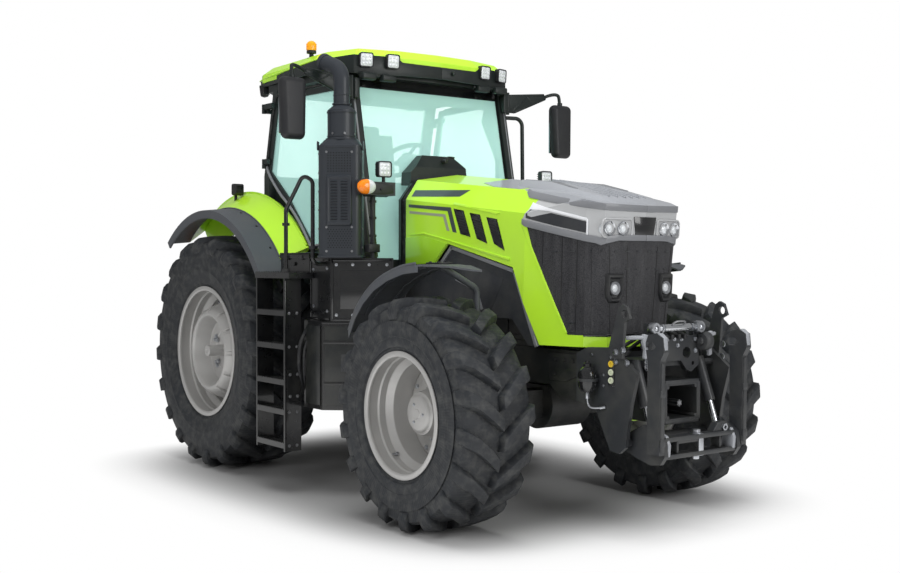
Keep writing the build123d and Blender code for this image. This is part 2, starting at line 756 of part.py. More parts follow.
def make_interior():
    seat_z = floor_top + 400
    seat = block(560, 1010, -240, 240, seat_z, seat_z + 110)
    back = slab([(560, seat_z + 110), (660, seat_z + 110), (580, seat_z + 720), (490, seat_z + 700)], -230, 230)
    add("seat", seat + back)
    console = block(700, 1180, -430, -270, seat_z + 50, seat_z + 110)
    console += block(760, 860, -420, -280, floor_top, seat_z + 50)
    base = slab([(600, floor_top), (960, floor_top), (900, seat_z), (640, seat_z)], -180, 180)
    dash = slab([(1250, floor_top), (1600, floor_top), (1500, floor_top + 700), (1380, floor_top + 800),
                 (1300, floor_top + 700)], -150, 150)
    add("cab_trim", Part() + [base, console, dash])
    hub = Vector(1090, 0, floor_top + 880)
    axis = Vector(-0.55, 0, 0.83).normalized()
    plane = Plane(origin=hub, z_dir=axis)
    wheel = plane * Torus(190, 14)
    wheel += plane * Cylinder(45, 30)
    for angle in (0, 120, 240):
        wheel += plane * Rot(0, 0, angle) * Pos(100, 0, 0) * Box(180, 26, 12)
    wheel += bar(hub, hub - axis * 330, 26)
    add("steering_wheel", wheel - dash)


# ---- fenders, steps and side boxes -----------------------------------------------------------------
def make_fenders():
    z = rear_tyre_radius
    skin = [(fender_inner_y, fender_inner_radius), (fender_outer_y, fender_outer_radius),
            (fender_outer_y, fender_outer_radius - sheet), (fender_inner_y, fender_inner_radius - sheet)]
    wall = [(fender_wall_y, fender_inner_radius), (fender_inner_y, fender_inner_radius),
            (fender_inner_y, arch_radius), (fender_wall_y, arch_radius)]
    add("rear_fenders", on_both_sides(arch(skin, 0, z, fender_start, fender_end)
                                      + arch(wall, 0, z, fender_start, fender_end)))
    lip = [(fender_outer_y, fender_outer_radius), (flare_outer_y, flare_radius),
           (flare_outer_y, flare_lip_radius), (flare_outer_y - sheet, flare_lip_radius),
           (flare_outer_y - sheet, flare_radius - sheet), (fender_outer_y, fender_outer_radius - sheet)]
    add("rear_flares", on_both_sides(arch(lip, 0, z, fender_start - 6, fender_end)))

    top = 2 * front_tyre_radius + front_fender_gap
    # how far behind or ahead of the axle each fold of the front fender is, and how far below its top
    folds = [(-696, 427), (-625, 307), (-530, 207), (-410, 122), (-260, 57), (-90, 14), (70, 0), (190, 7),
             (290, 32)]
    outer = [(wheelbase + ahead, top - drop) for ahead, drop in folds]
    inner = [(x + 4, z - 12) for x, z in outer]
    edge = [(x + 6, z - 45) for x, z in outer]
    y_low, y_high = front_fender_y
    fender = slab(outer + list(reversed(inner)), y_low, y_high)
    fender += slab(outer + list(reversed(edge)), y_high - 12, y_high)
    fender &= deck([(wheelbase - 800, y_low), (wheelbase + 290, y_low), (wheelbase + 280, y_low + 60),
                    (wheelbase + 180, y_low + 200), (wheelbase + 40, y_high), (wheelbase - 800, y_high)], 900, 2000)
    stalk_y = kingpin_offset - 48
    fender += tube([(wheelbase, stalk_y, front_tyre_radius + 160), (wheelbase, stalk_y, top - 150),
                    (wheelbase, y_low + 90, top - 10)], 20, 60)
    add_pair("front_fender", fender - nodes["knuckle_left"])


def make_sides():
    rung_top = platform_top - platform_thickness
    ladder = Part()
    for x in (ladder_rear, ladder_front - ladder_rail):
        ladder += block(x, x + ladder_rail, ladder_inner, ladder_outer, rung_heights[-1] - 40, rung_top)
    for z in rung_heights:
        ladder += block(ladder_rear, ladder_front, ladder_inner, ladder_outer, z - rung_half, z + rung_half)
    deck_front = ladder_front + 60
    steps = ladder + deck([(ladder_rear - 20, 790), (ladder_front + 5, 790), (ladder_front + 5, box_outer + 10),
                           (deck_front, box_outer + 10), (deck_front, ladder_outer),
                           (ladder_rear - 20, ladder_outer)], rung_top, platform_top)
    rail_x, rail_y = ladder_front - 14, ladder_outer - 20
    steps += tube([(rail_x, rail_y, platform_top - 10), (rail_x, rail_y, platform_top + 430),
                   (rail_x + 164, rail_y - 40, platform_top + 660),
                   (rail_x + 224, rail_y - 80, platform_top + 620), (rail_x + 224, rail_y - 80, box_top - 40),
                   (rail_x + 224, box_outer, box_top - 40)], 14, 45)
    add("steps", on_both_sides(steps))
    box_rear = ladder_front + 5
    add("toolboxes", on_both_sides(block(ladder_rear, box_rear - 10, 795, box_outer, platform_top,
                                         platform_top + 130)))
    run = tank_front - ladder_front
    shoulder = ladder_front + run * 0.42
    tank = deck([(ladder_rear + 20, 880), (ladder_front - 10, 880), (ladder_front - 10, tank_outer),
                 (shoulder, tank_outer), (tank_front, 700), (tank_front, 480),
                 (tank_front - 200, 480), (tank_front - 200, frame_half_width),
                 (ladder_rear + 20, frame_half_width)], tank_bottom, tank_top)
    box = deck([(box_rear, 760), (box_rear, box_outer), (shoulder + 40, box_outer),
                (tank_front + 25, pillar_outer + 12),
                (tank_front - 100, pillar_outer + 5)], tank_top, box_top)
    add("side_tanks", on_both_sides(tank + box))


def make_exhaust():
    turn = Pos(stack_x, -stack_y, 0) * Rot(0, 0, -stack_turn)
    width, depth = stack_size
    shroud = turn * Pos(0, 0, box_top) * extrude(RectangleRounded(width, depth, 50), shroud_top - box_top)
    cap = turn * loft([Pos(0, 0, shroud_top) * RectangleRounded(width, depth, 50),
                       Pos(0, 0, shroud_top + cap_height) * RectangleRounded(width - 40, depth - 55, 90)])
    add("exhaust_shroud", shroud + cap)
    base = shroud_top + cap_height
    can_top = base + 200
    can = bar((stack_x, -stack_y, base), (stack_x, -stack_y, can_top), can_radius)
    can_cone = Pos(stack_x, -stack_y, can_top) * Cone(can_radius, pipe_radius, 35, align=(
        Align.CENTER, Align.CENTER, Align.MIN))
    pipe = tube([(stack_x, -stack_y, can_top), (stack_x, -stack_y, can_top + 275),
                 (stack_x - 190, -stack_y - 25, can_top + 350)], pipe_radius, 110)
    add("exhaust_pipe", can + can_cone + pipe)


def fender_hollow():
    """What lies under the skin of the rear fender, from its inner to its outer edge."""
    inside = [(fender_inner_y, fender_inner_radius - 3), (fender_outer_y, fender_outer_radius - 3),
              (fender_outer_y, arch_radius), (fender_inner_y, arch_radius)]
    return arch(inside, 0, rear_tyre_radius, fender_start, fender_end)


def make_lamps():
    post_x = tank_front - 110
    post_y = 788
    shelf = box_top + 510
    bracket = bar((post_x, post_y, box_top), (post_x, post_y, shelf - 40), 18)
    bracket += block(post_x + 8, post_x + 75, 655, lamp_bracket_outer, shelf - 90, shelf)
    add("lamp_brackets", on_both_sides(bracket))
    lamp_face = post_x + 75
    turn_lamp = extrude(Plane(origin=(lamp_face, 900, shelf - 38), x_dir=(0, 1, 0), z_dir=(1, 0, 0))
                        * Ellipse(66, 50), 60)
    tail_lamp = arch([(fender_wall_y, arch_radius + 60), (fender_outer_y - 20, arch_radius + 60),
                      (fender_outer_y - 20, arch_radius + 150), (fender_wall_y, arch_radius + 150)],
                     0, rear_tyre_radius, fender_end, fender_end + 3)
    add("signal_lamps", Part() + [on_both_sides(turn_lamp), on_both_sides(tail_lamp)])
    arm_x = door_front_x + 28
    arm = cross([(pillar_inner + 10, pillar_top - 153), (pillar_inner + 10, pillar_top - 35),
                 (1090, pillar_top + 8), (1105, pillar_top - 20), (770, pillar_top - 153)], arm_x, arm_x + 30)
    arm += block(arm_x - 28, arm_x + 10, pillar_inner + 10, pillar_outer - 2, pillar_top - 150, pillar_top - 40)
    arm += tube([(arm_x + 15, 1085, pillar_top - 15), (arm_x + 40, 1215, pillar_top + 20),
                 (arm_x + 60, 1215, pillar_top - 90)], 13, 40)
    glass_x = door_front_x + 45
    arm = arm - nodes["cab_frame"] + block(glass_x, glass_x + 90, 1115, 1315, pillar_top - 490, pillar_top - 70)
    add("mirrors", on_both_sides(arm))
    grab = tube([(arm_x - 10, pillar_outer - 20, 2722), (arm_x + 25, 850, 2722), (arm_x + 35, 850, 2110),
                 (arm_x + 95, pillar_outer - 20, 2090)], 15, 60)
    add("grab_rail", grab - nodes["cab_frame"])
    roof_front = firewall_rear - 172
    lamps = Part() + [block(roof_front - 100, roof_front + 40, y - 55, y + 55, pillar_top + 5, roof_bottom)
                      for y in (-617, -419, 419, 617)]
    lamps += on_both_sides(block(170, 235, 685, 745, pillar_top - 10, roof_bottom))
    lamps -= nodes["roof_band"]
    lamps += on_both_sides(block(post_x + 10, post_x + 60, 670, 780, shelf, shelf + 150))
    fender_lamp = block(-85, -15, 800, 900, 2130, 2225) + bar((-50, 850, 2000), (-50, 850, 2140), 12)
    lamps += on_both_sides(fender_lamp - nodes["rear_fenders"] - fender_hollow())
    add("work_lamps", lamps)
    foot = Pos(870, -690, roof_top - 15) * Cylinder(34, 50, align=(Align.CENTER, Align.CENTER, Align.MIN))
    dome = Pos(870, -690, roof_top + 35) * Cylinder(39, 95, align=(Align.CENTER, Align.CENTER, Align.MIN))
    add("beacon", foot - nodes["roof_shell"] + dome)


# ---- linkages --------------------------------------------------------------------------------------
def make_front_linkage():
    x0 = frame_front
    arm_low = front_arm_y - front_arm_thickness / 2
    arm_high = front_arm_y + front_arm_thickness / 2
    plate_in = arm_high + hitch_plate_gap
    plate_out = plate_in + hitch_plate
    lift_x, lift_z = front_lift_pivot
    fold_x, fold_z = front_fold_pivot
    plate = slab([(hitch_rear, frame_top), (x0 + 30, frame_top + 40), (x0 + 240, frame_top + 50),
                  (x0 + 430, lift_z + 400), (x0 + 380, lift_z + 220), (x0 + 340, lift_z - 20),
                  (x0 + 290, lift_z - 60), (x0 + 220, lift_z - 50), (x0 + 100, frame_bottom - 90),
                  (hitch_rear, frame_bottom - 60)], plate_in, plate_out)
    horn = slab([(x0 + 260, frame_top - 10), (x0 + 220, frame_top + 30), (x0 + 300, frame_top + 280),
                 (x0 + 330, frame_top + 300), (x0 + 365, frame_top + 285), (x0 + 390, frame_top + 220),
                 (x0 + 350, frame_top + 200), (x0 + 330, frame_top - 10)], plate_out, plate_out + 20)
    horn -= pin(x0 + 350, frame_top + 245, 24, 0, 600)
    frame = both(plate + horn)
    frame += block(x0, x0 + 50, -plate_in, plate_in, frame_bottom - 70, frame_top)
    frame += both(block(hitch_rear - 20, x0, frame_half_width, plate_in, frame_bottom - 50, frame_top - 10))
    tower = cross([(-215, 1000), (-215, 1120), (-165, 1175), (165, 1175), (215, 1120), (215, 1000),
                   (150, 960), (110, 975), (60, 1030), (-60, 1030), (-110, 975), (-150, 960)],
                  x0 + 300, x0 + 335)
    for y, z, radius in ((-110, 1075, 34), (110, 1075, 34), (-165, 1010, 12), (165, 1010, 12)):
        tower -= bar((x0 + 250, y, z), (x0 + 400, y, z), radius)
    tower += both(block(x0 + 300, x0 + 335, 165, 215, 1100, top_link_height + 30))
    frame += tower
    frame += block(x0 + 40, x0 + 310, -215, 215, 1000, 1040)
    pocket = block(x0 + 50, x0 + 400, -150, 150, 680, 920) - block(x0 + 100, x0 + 450, -125, 125, 705, 895)
    frame += pocket + bar((x0 + 100, 0, 790), (x0 + 380, 0, 790), pto_radius)
    frame += both(pin(*front_cylinder_top, 18, 250, plate_in))
    frame += both(block(x0 + 50, x0 + 100, 150, plate_in, 800, 1000))
    frame += pin(lift_x, lift_z, lift_pin_radius, -plate_in, plate_in)
    add("front_hitch_frame", frame)

    rocker = slab([(lift_x - 55, lift_z - 45), (lift_x + 60, lift_z - 85), (fold_x - 60, fold_z - 110),
                   (fold_x + 10, fold_z - 100), (fold_x + 45, fold_z - 50), (fold_x + 30, fold_z + 40),
                   (lift_x + 150, lift_z + 110), (lift_x + 100, lift_z + 110), (lift_x - 20, lift_z + 50)],
                  arm_low - 34, arm_low - 4)
    rocker = both(rocker)
    rocker += pin(lift_x, lift_z, 45, 4 - arm_low, arm_low - 4)
    for lift in (-70, 26):
        rocker += block(fold_x - 50, fold_x + 20, 20 - arm_low, arm_low - 20, fold_z + lift, fold_z + lift + 22)
    rocker -= pin(lift_x, lift_z, lift_pin_radius + seat_gap, -500, 500)
    rocker += both(pin(fold_x, fold_z, fold_pin_radius, arm_low - 34, arm_high))
    rocker += both(pin(*front_cylinder_eye, 14, 250, arm_low - 4))
    add("front_rocker", rocker)

    link = slab([(fold_x - 45, fold_z - 40), (fold_x + 45, fold_z - 40), (fold_x + 50, 1060),
                 (fold_x + 78, 1110), (fold_x + 70, 1190), (fold_x + 20, 1215), (fold_x - 40, 1200),
                 (fold_x - 62, 1150), (fold_x - 45, 1060)], arm_low, arm_high)
    link -= slab([(fold_x - 100, 1118), (fold_x - 5, 1118), (fold_x + 18, 1140), (fold_x - 5, 1162),
                  (fold_x - 100, 1162)], 0, 600)
    link -= pin(fold_x, fold_z, fold_pin_radius + seat_gap, 0, 600)
    add("front_links", on_both_sides(link))

    top = Vector(front_cylinder_top[0], 0, front_cylinder_top[1])
    eye = Vector(front_cylinder_eye[0], 0, front_cylinder_eye[1])
    along = (eye - top).normalized()
    shift = Vector(0, front_cylinder_y, 0)
    rod_radius = 18
    barrel = bar(top + shift - along * 30, top + shift + along * 240, rod_radius + 16)
    barrel -= bar(top + shift + along * 60, top + shift + along * 250, rod_radius + seat_gap)
    barrel -= pin(*front_cylinder_top, 18 + seat_gap, -600, 600)
    add("front_cylinder_barrels", on_both_sides(barrel))
    rod = bar(top + shift + along * 90, eye + shift - along * 8, rod_radius)
    rod += pin(*front_cylinder_eye, 30, front_cylinder_y - 18, front_cylinder_y + 18)
    add("front_cylinder_rods", on_both_sides(rod - pin(*front_cylinder_eye, 14 + rod_eye_play, -600, 600)))

    link_x = x0 + 335 + 18
    stored = bar((link_x, -190, top_link_height), (link_x, 190, top_link_height), 15)
    stored += bar((link_x, -110, top_link_height), (link_x, 110, top_link_height), 22)
    for y in (-190, 190):
        stored += bar((x0 + 335, y, top_link_height), (x0 + 371, y, top_link_height), 32)
    rear_x = rear_lift_pivot[0] - 50
    low, high = rear_shaft_pivot[1] - 440, rear_shaft_pivot[1] + 40
    hung = bar((rear_x - 27, 130, low), (rear_x - 27, 130, high), 16)
    hung += bar((rear_x - 27, 130, low + 110), (rear_x - 27, 130, high - 110), 25)
    for z in (low, high):
        hung += bar((rear_x, 130, z), (rear_x - 54, 130, z), 34)
    add("top_links", Part() + [stored, hung])


def make_rear_linkage():
    x, z = rear_lift_pivot
    sx, sz = rear_shaft_pivot
    case = block(x - 50, gearbox_rear, -230, 230, z - 40, sz + 80)
    case += pin(x, z, rear_link_pin_radius, -300, 300) + pin(sx, sz, rear_shaft_radius, -300, 300)
    case += bar((x - 40, 0, pto_height), (x - 40 - pto_length, 0, pto_height), pto_radius)
    bar_low, bar_high = drawbar_height, drawbar_height + drawbar_thickness
    case += block(drawbar_hole_x - 50, gearbox_rear, -55, 55, bar_low, bar_high)
    case += block(gearbox_rear - 220, gearbox_rear, -90, 90, bar_high, z - 30)
    hole = bar((drawbar_hole_x, 0, bar_low - 30), (drawbar_hole_x, 0, bar_high + 30), drawbar_hole_radius)
    add("rear_hitch", case - hole)

    pin_x = x - rear_lift_radius
    eye_x = x - rear_link_length
    inner_y = 275
    spread = (link_eye_y - inner_y) / rear_link_length
    end_y = link_eye_y - spread * 38
    link = bar((x, inner_y, z), (eye_x + 38, end_y, z), 30)
    link += pin(x, z, 45, inner_y - 22, inner_y + 22)
    link -= pin(x, z, rear_link_pin_radius + seat_gap, 0, 600) + pin(pin_x, z, 14 + seat_gap, 0, 600)
    eye = pin(eye_x, z, 50, link_eye_y - 28, link_eye_y + 28)
    add("lower_links", on_both_sides(link + eye - pin(eye_x, z, link_eye_radius, 0, 600)))

    arm = slab([(sx + 60, sz - 50), (sx + 60, sz + 50), (pin_x - 30, sz + 30), (pin_x - 30, sz - 30)], 256, 290)
    arm -= pin(sx, sz, rear_shaft_radius + seat_gap, 0, 600)
    add("lift_arms", on_both_sides(arm + pin(pin_x, sz, rod_pin_radius, 260, 412)))
    rod = block(pin_x - 22, pin_x + 22, 386, 416, z - 25, sz + 30)
    rod -= pin(pin_x, sz, rod_pin_radius + seat_gap, 0, 600)
    add("lift_rods", on_both_sides(rod + pin(pin_x, z, 14, 318, 410)))


# ---- build -----------------------------------------------------------------------------------------
make_wheels()
make_axles()
make_frame()
make_bonnet()
make_doors()
make_cab()
make_roof()
make_firewall()
make_interior()
make_fenders()
make_sides()
make_exhaust()
make_lamps()
make_front_linkage()
make_rear_linkage()

whole = Compound([solid for node in nodes.values() for solid in node.solids()]).bounding_box()
centre_x = (whole.min.X + whole.max.X) / 2

os.makedirs("parts", exist_ok=True)
for name, node in nodes.items():
    export_step(Pos(-centre_x, 0, 0) * Compound(node.solids()), f"parts/{name}.step")
print(f"{len(nodes)} nodes, rear axle at x {-centre_x:.1f}, box {whole.size}")
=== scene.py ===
# %% [markdown]
# # A farm tractor, dressed
# The solid model gives every body of this tractor its place and its size. This lesson gives it the
# skin that the real one has: moulded rubber, lime paint, black powder coat, tinted glass and plated
# bolts. A model can be dressed with pictures wrapped round it, or with shapes and shader nodes.
# Shapes and nodes are used here, because they stay sharp from every side and fit every pose of the
# joints.

# %% Load the solid model as a fixed frame
import math
import bpy
import bmesh
from mathutils import Matrix, Vector
import json


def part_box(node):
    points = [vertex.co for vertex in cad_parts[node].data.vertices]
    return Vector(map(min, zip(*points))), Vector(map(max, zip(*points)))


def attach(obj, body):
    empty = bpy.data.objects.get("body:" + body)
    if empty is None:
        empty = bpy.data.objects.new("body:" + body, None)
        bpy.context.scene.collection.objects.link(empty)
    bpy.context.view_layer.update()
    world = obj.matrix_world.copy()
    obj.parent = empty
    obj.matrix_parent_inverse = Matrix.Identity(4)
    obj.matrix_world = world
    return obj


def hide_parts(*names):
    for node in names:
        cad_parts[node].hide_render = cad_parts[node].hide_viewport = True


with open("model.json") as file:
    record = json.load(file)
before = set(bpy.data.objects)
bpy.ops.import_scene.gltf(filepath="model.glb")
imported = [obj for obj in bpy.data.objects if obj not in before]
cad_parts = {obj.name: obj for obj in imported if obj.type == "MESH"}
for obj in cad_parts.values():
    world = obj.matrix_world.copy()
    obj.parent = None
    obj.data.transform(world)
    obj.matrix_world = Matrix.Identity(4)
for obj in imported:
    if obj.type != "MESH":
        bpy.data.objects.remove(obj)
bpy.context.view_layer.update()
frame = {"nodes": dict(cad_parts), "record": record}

# %% [markdown]
# All places in this lesson are given from the ground point under the rear axle: x forward, y to the
# driver's left, z up, in metres. A tractor is drawn that way because the rear wheels are what the
# rest is measured from. The frame has its origin in the middle of its length, so `at` moves a point
# over.

# %% Places measured from the rear axle
low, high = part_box("tyre_rear_left")
rear_axle_x = (low.x + high.x) / 2
rear_radius = (high.z - low.z) / 2
rear_width = high.y - low.y
rear_centre_y = (low.y + high.y) / 2
low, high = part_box("tyre_front_left")
wheelbase = (low.x + high.x) / 2 - rear_axle_x
front_radius = (high.z - low.z) / 2
front_width = high.y - low.y
front_centre_y = (low.y + high.y) / 2


def at(x, y, z):
    return Vector((x + rear_axle_x, y, z))


def side_view(y, places):
    return [at(x, y, z) for x, z in places]


def front_view(x, places):
    return [at(x, y, z) for y, z in places]


print("rear axle at", round(rear_axle_x, 4), "wheelbase", round(wheelbase, 4))

# %% [markdown]
# The camera comes first, because everything is judged through it. It stands at the height of a
# person's eyes, ahead of the tractor and to its right, so that both the nose and the flank show. It
# could be aimed with a Track To constraint, but a plain rotation is easier to read and to repeat.

# %% The camera
bpy.ops.object.camera_add(location=at(8.529, -5.162, 1.608),
    rotation=(math.radians(88.78), math.radians(-0.06), math.radians(53.04)))
camera = bpy.context.object
camera.name = "camera"
camera.data.lens = 47.21
camera.data.sensor_width = 36
bpy.context.scene.camera = camera
bpy.context.scene.view_settings.view_transform = "Standard"

# %% [markdown]
# The studio has a pale floor, a white surround and soft lamps. A white surround could be reached
# with strong lamps, but that would wash out the lime paint. So the world is white only for the
# camera and for what the camera sees through a pane. Paint is lit by a plain level, and mirrors
# that level too. The floor turns white with distance, and near the wheels it keeps their soft
# shadow, deepened by a painted shadow: the floor's grey is darker under the tractor.

# %% The world and the lamps
world = bpy.data.worlds.new("studio")
bpy.context.scene.world = world
world.use_nodes = True
sky = world.node_tree
sky.nodes.clear()


def sky_node(kind, **inputs):
    made = sky.nodes.new("ShaderNode" + kind)
    for key, value in inputs.items():
        made.inputs[key].default_value = value
    return made


rays, seen = sky_node("LightPath"), sky_node("Math")
seen.operation = "MAXIMUM"
white = sky_node("Background", Color=(1, 1, 1, 1), Strength=1)
plain = sky_node("Background", Color=(1, 1, 1, 1), Strength=0.3)
either, out = sky_node("MixShader"), sky_node("OutputWorld")
for start, output, end, entry in ((rays, "Is Camera Ray", seen, 0),
        (rays, "Is Transmission Ray", seen, 1), (seen, 0, either, "Fac"), (plain, 0, either, 1),
        (white, 0, either, 2), (either, 0, out, "Surface")):
    sky.links.new(start.outputs[output], end.inputs[entry])


def softbox(name, place, aim, size, power):
    bpy.ops.object.light_add(type="AREA", location=place)
    lamp = bpy.context.object
    lamp.name = name
    lamp.data.shape = "SQUARE"
    lamp.data.size = size
    lamp.data.energy = power
    lamp.rotation_euler = (Vector(aim) - Vector(place)).to_track_quat("-Z", "Y").to_euler()
    return lamp


matt_share, sheen_share = 0.82, 0.18
for name, place, aim, size, power in (("overhead", (1.5, -1.0, 8.5), (0.3, 0, 1), 6, 610),
        ("side", (4.5, -8.0, 5.0), (0.2, 0, 1.2), 4, 350)):
    softbox(name + "_lamp", place, aim, size, power * matt_share).visible_glossy = False
    softbox(name + "_sheen_lamp", place, aim, size, power * sheen_share)
softbox("front_lamp", (9.0, 1.5, 4.0), (1.0, 0, 1.2), 4, 210)

# %% [markdown]
# Shader maths gets long when each node is added by hand. The class below wraps one socket of a node
# tree, so that `1 - mask * 0.5` adds the Math nodes for it. The Finish class keeps a material and
# adds any other node: its type first, then its settings, then the values or links of its sockets.

# %% Wires and finishes
def by_maths(operation, swapped=False):
    def method(self, other):
        pair = (other, self) if swapped else (self, other)
        return self.finish.node("Math", {"operation": operation}, dict(enumerate(pair)))
    return method


class Wire:
    def __init__(self, finish, socket):
        self.finish = finish
        self.socket = socket

    __add__, __radd__ = by_maths("ADD"), by_maths("ADD", True)
    __sub__, __rsub__ = by_maths("SUBTRACT"), by_maths("SUBTRACT", True)
    __mul__, __rmul__ = by_maths("MULTIPLY"), by_maths("MULTIPLY", True)


class Finish:
    def __init__(self, name):
        self.material = bpy.data.materials.new(name)
        self.material.use_nodes = True
        self.tree = self.material.node_tree
        self.shader = self.tree.nodes["Principled BSDF"]

    def set(self, socket, value):
        if isinstance(value, Wire):
            self.tree.links.new(value.socket, socket)
        elif isinstance(value, tuple) and len(value) == 3 and socket.type == "RGBA":
            socket.default_value = (*value, 1)
        else:
            socket.default_value = value

    def node(self, kind, settings=None, sockets=None, output=0):
        made = self.tree.nodes.new("ShaderNode" + kind)
        for key, value in (settings or {}).items():
            if key == "stops":
                ramp = made.color_ramp
                while len(ramp.elements) < len(value):
                    ramp.elements.new(1)
                for element, (position, colour) in zip(ramp.elements, value):
                    element.position = position
                    element.color = (*colour, 1)
            else:
                setattr(made, key, value)
        for key, value in (sockets or {}).items():
            self.set(made.inputs[key], value)
        return Wire(self, made.outputs[output])

    def surface(self, **sockets):
        for key, value in sockets.items():
            self.set(self.shader.inputs[key.replace("_", " ")], value)

    def place(self):
        return self.node("TexCoord", output="Object")

    def axis(self, name):
        return self.node("SeparateXYZ", sockets={0: self.place()}, output=name)

    def noise(self, scale, detail=3, roughness=0.5, stretch=None):
        where = self.place()
        if stretch:
            where = self.node("Mapping", sockets={"Vector": where, "Scale": stretch})
        return self.node("TexNoise", sockets={"Vector": where, "Scale": scale, "Detail": detail,
            "Roughness": roughness})

    def grade(self, value, *stops):
        return self.node("ValToRGB", {"stops": stops}, {"Fac": value})

    def blend(self, amount, first, second):
        return self.node("Mix", {"data_type": "RGBA"}, {0: amount, 6: first, 7: second}, output=2)

    def bump(self, height, strength, distance):
        return self.node("Bump", sockets={"Height": height, "Strength": strength,
            "Distance": distance})


def shade(red, green, blue):
    """A colour as a paint card shows it, from 0 to 255, in the linear light that shaders use."""
    return tuple((c / 255 / 12.92) if c <= 10 else ((c / 255 + 0.055) / 1.055) ** 2.4
        for c in (red, green, blue))


def speck(value):
    return (value, value, value)


# %% [markdown]
# Paint on sheet metal is never one flat colour. Lime enamel is sprayed in wet coats, which leaves a
# fine orange peel under a clear gloss, and road dust settles low down. The peel could be modelled,
# but it is far too fine: a bump from small noise does it. The dust is a second colour that a noise
# mask lets through, more of it near the ground.

# %% Painted finishes
def dust_mask(finish, top, amount):
    height = finish.axis("Z")
    near_ground = finish.node("MapRange", sockets={"Value": height, "From Min": 0.0,
        "From Max": top, "To Min": 1.0, "To Max": 0.12})
    spots = finish.grade(finish.noise(6, 5, 0.6), (0.38, speck(0)), (0.7, speck(1)))
    return near_ground * spots * amount


def enamel(name, colour, deep, rough, coat, dust=0.25, peel=0.05):
    finish, colour, deep = Finish(name), shade(*colour), shade(*deep)
    drift = finish.noise(0.9, 2)
    body = finish.blend(drift, colour, deep)
    mask = dust_mask(finish, 2.6, dust)
    body = finish.blend(mask, body, shade(150, 147, 134))
    worn = finish.noise(24, 3)
    finish.surface(Base_Color=body, Roughness=worn * 0.09 + mask * 0.35 + rough, Coat_Weight=coat,
        Coat_Roughness=0.06, Normal=finish.bump(finish.noise(420, 2), peel, 0.0008))
    return finish.material


green_paint = enamel("lime_enamel", (192, 243, 56), (180, 234, 46), 0.3, 0.6, dust=0.1)
black_paint = enamel("black_enamel", (21, 22, 24), (14, 15, 17), 0.24, 0.5, dust=0.05)
dark_paint = enamel("charcoal_powder_coat", (50, 52, 55), (40, 42, 45), 0.4, 0.2, dust=0.12,
    peel=0.22)
cast_grey = enamel("casting_paint", (36, 38, 40), (26, 28, 30), 0.5, 0.1, dust=0.18, peel=0.6)
cover_grey = enamel("silver_grey_paint", (158, 161, 166), (146, 149, 155), 0.34, 0.4, dust=0.08)
band_silver = enamel("lamp_band_silver", (186, 187, 188), (172, 174, 176), 0.34, 0.4, dust=0.06)

# %% [markdown]
# Moulded plastic has a leather-like grain that takes the shine off. The grain is a Voronoi texture
# used as bump, finer than a millimetre, and the colour is a dark grey, never pure black.

# %% Moulded plastics
def moulded(name, colour, deep, rough, grain=700, depth=0.35):
    finish, colour, deep = Finish(name), shade(*colour), shade(*deep)
    cells = finish.node("TexVoronoi", {"feature": "DISTANCE_TO_EDGE"},
        {"Vector": finish.place(), "Scale": grain})
    body = finish.blend(finish.noise(3, 4), colour, deep)
    mask = dust_mask(finish, 2.4, 0.22)
    finish.surface(Base_Color=finish.blend(mask, body, shade(140, 138, 128)),
        Roughness=finish.noise(40, 2) * 0.1 + mask * 0.3 + rough,
        Normal=finish.bump(cells, depth, 0.0006))
    return finish.material


dark_plastic = moulded("dark_moulding", (50, 52, 56), (41, 43, 47), 0.46)
fender_plastic = moulded("wing_moulding", (80, 83, 88), (66, 69, 74), 0.46)
black_plastic = moulded("black_moulding", (34, 35, 38), (26, 27, 30), 0.42)

# %% [markdown]
# Tyre rubber is a bluish black that greys with dust in its hollows. Its sides have fine mould ribs
# that run out from the hub. Ribs in geometry would cost many faces, so a wave texture around the
# axle gives them as bump: the angle comes from an Arctan2 node on the piece's own coordinates.

# %% Rubber
def rubber(name, colour, deep, axle=None, ribs=0):
    finish, colour, deep = Finish(name), shade(*colour), shade(*deep)
    body = finish.blend(finish.noise(5, 5, 0.6), colour, deep)
    grime = finish.grade(finish.noise(16, 5, 0.65), (0.45, speck(0)), (0.75, speck(1)))
    body = finish.blend(grime * 0.35, body, shade(104, 104, 100))
    height = finish.noise(160, 4, 0.6)
    if axle:
        where = finish.node("VectorMath", {"operation": "SUBTRACT"}, {0: finish.place(), 1: axle})
        parts = [finish.node("SeparateXYZ", sockets={0: where}, output=way) for way in "XZ"]
        turn = finish.node("Math", {"operation": "ARCTAN2"}, {0: parts[0], 1: parts[1]})
        wave = finish.node("Math", {"operation": "SINE"}, {0: turn * ribs})
        height = height * 0.5 + wave * 0.5
    finish.surface(Base_Color=body, Roughness=finish.noise(30, 3) * 0.18 + 0.52,
        Normal=finish.bump(height, 0.35, 0.0016))
    return finish.material


rubber_dark = rubber("seal_rubber", (30, 31, 33), (22, 23, 25))
hose_rubber = rubber("hose_rubber", (38, 39, 42), (28, 29, 31))

# %% [markdown]
# The wheels are sprayed in a warm silver lacquer with metal flake in it, and the bolts are zinc
# plated. Both are metals to the shader. A flake is a tiny Voronoi cell with its own tilt, so a
# small bump and a little change of roughness stand for thousands of them.

# %% Metals
def metal(name, colour, deep, rough, metallic=1.0, flake=900, depth=0.12):
    finish, colour, deep = Finish(name), shade(*colour), shade(*deep)
    body = finish.blend(finish.noise(4, 4), colour, deep)
    grain = finish.node("TexVoronoi", sockets={"Vector": finish.place(), "Scale": flake})
    finish.surface(Base_Color=body, Metallic=metallic, Roughness=finish.noise(18, 4) * 0.16 + rough,
        Normal=finish.bump(grain, depth, 0.0005))
    return finish.material


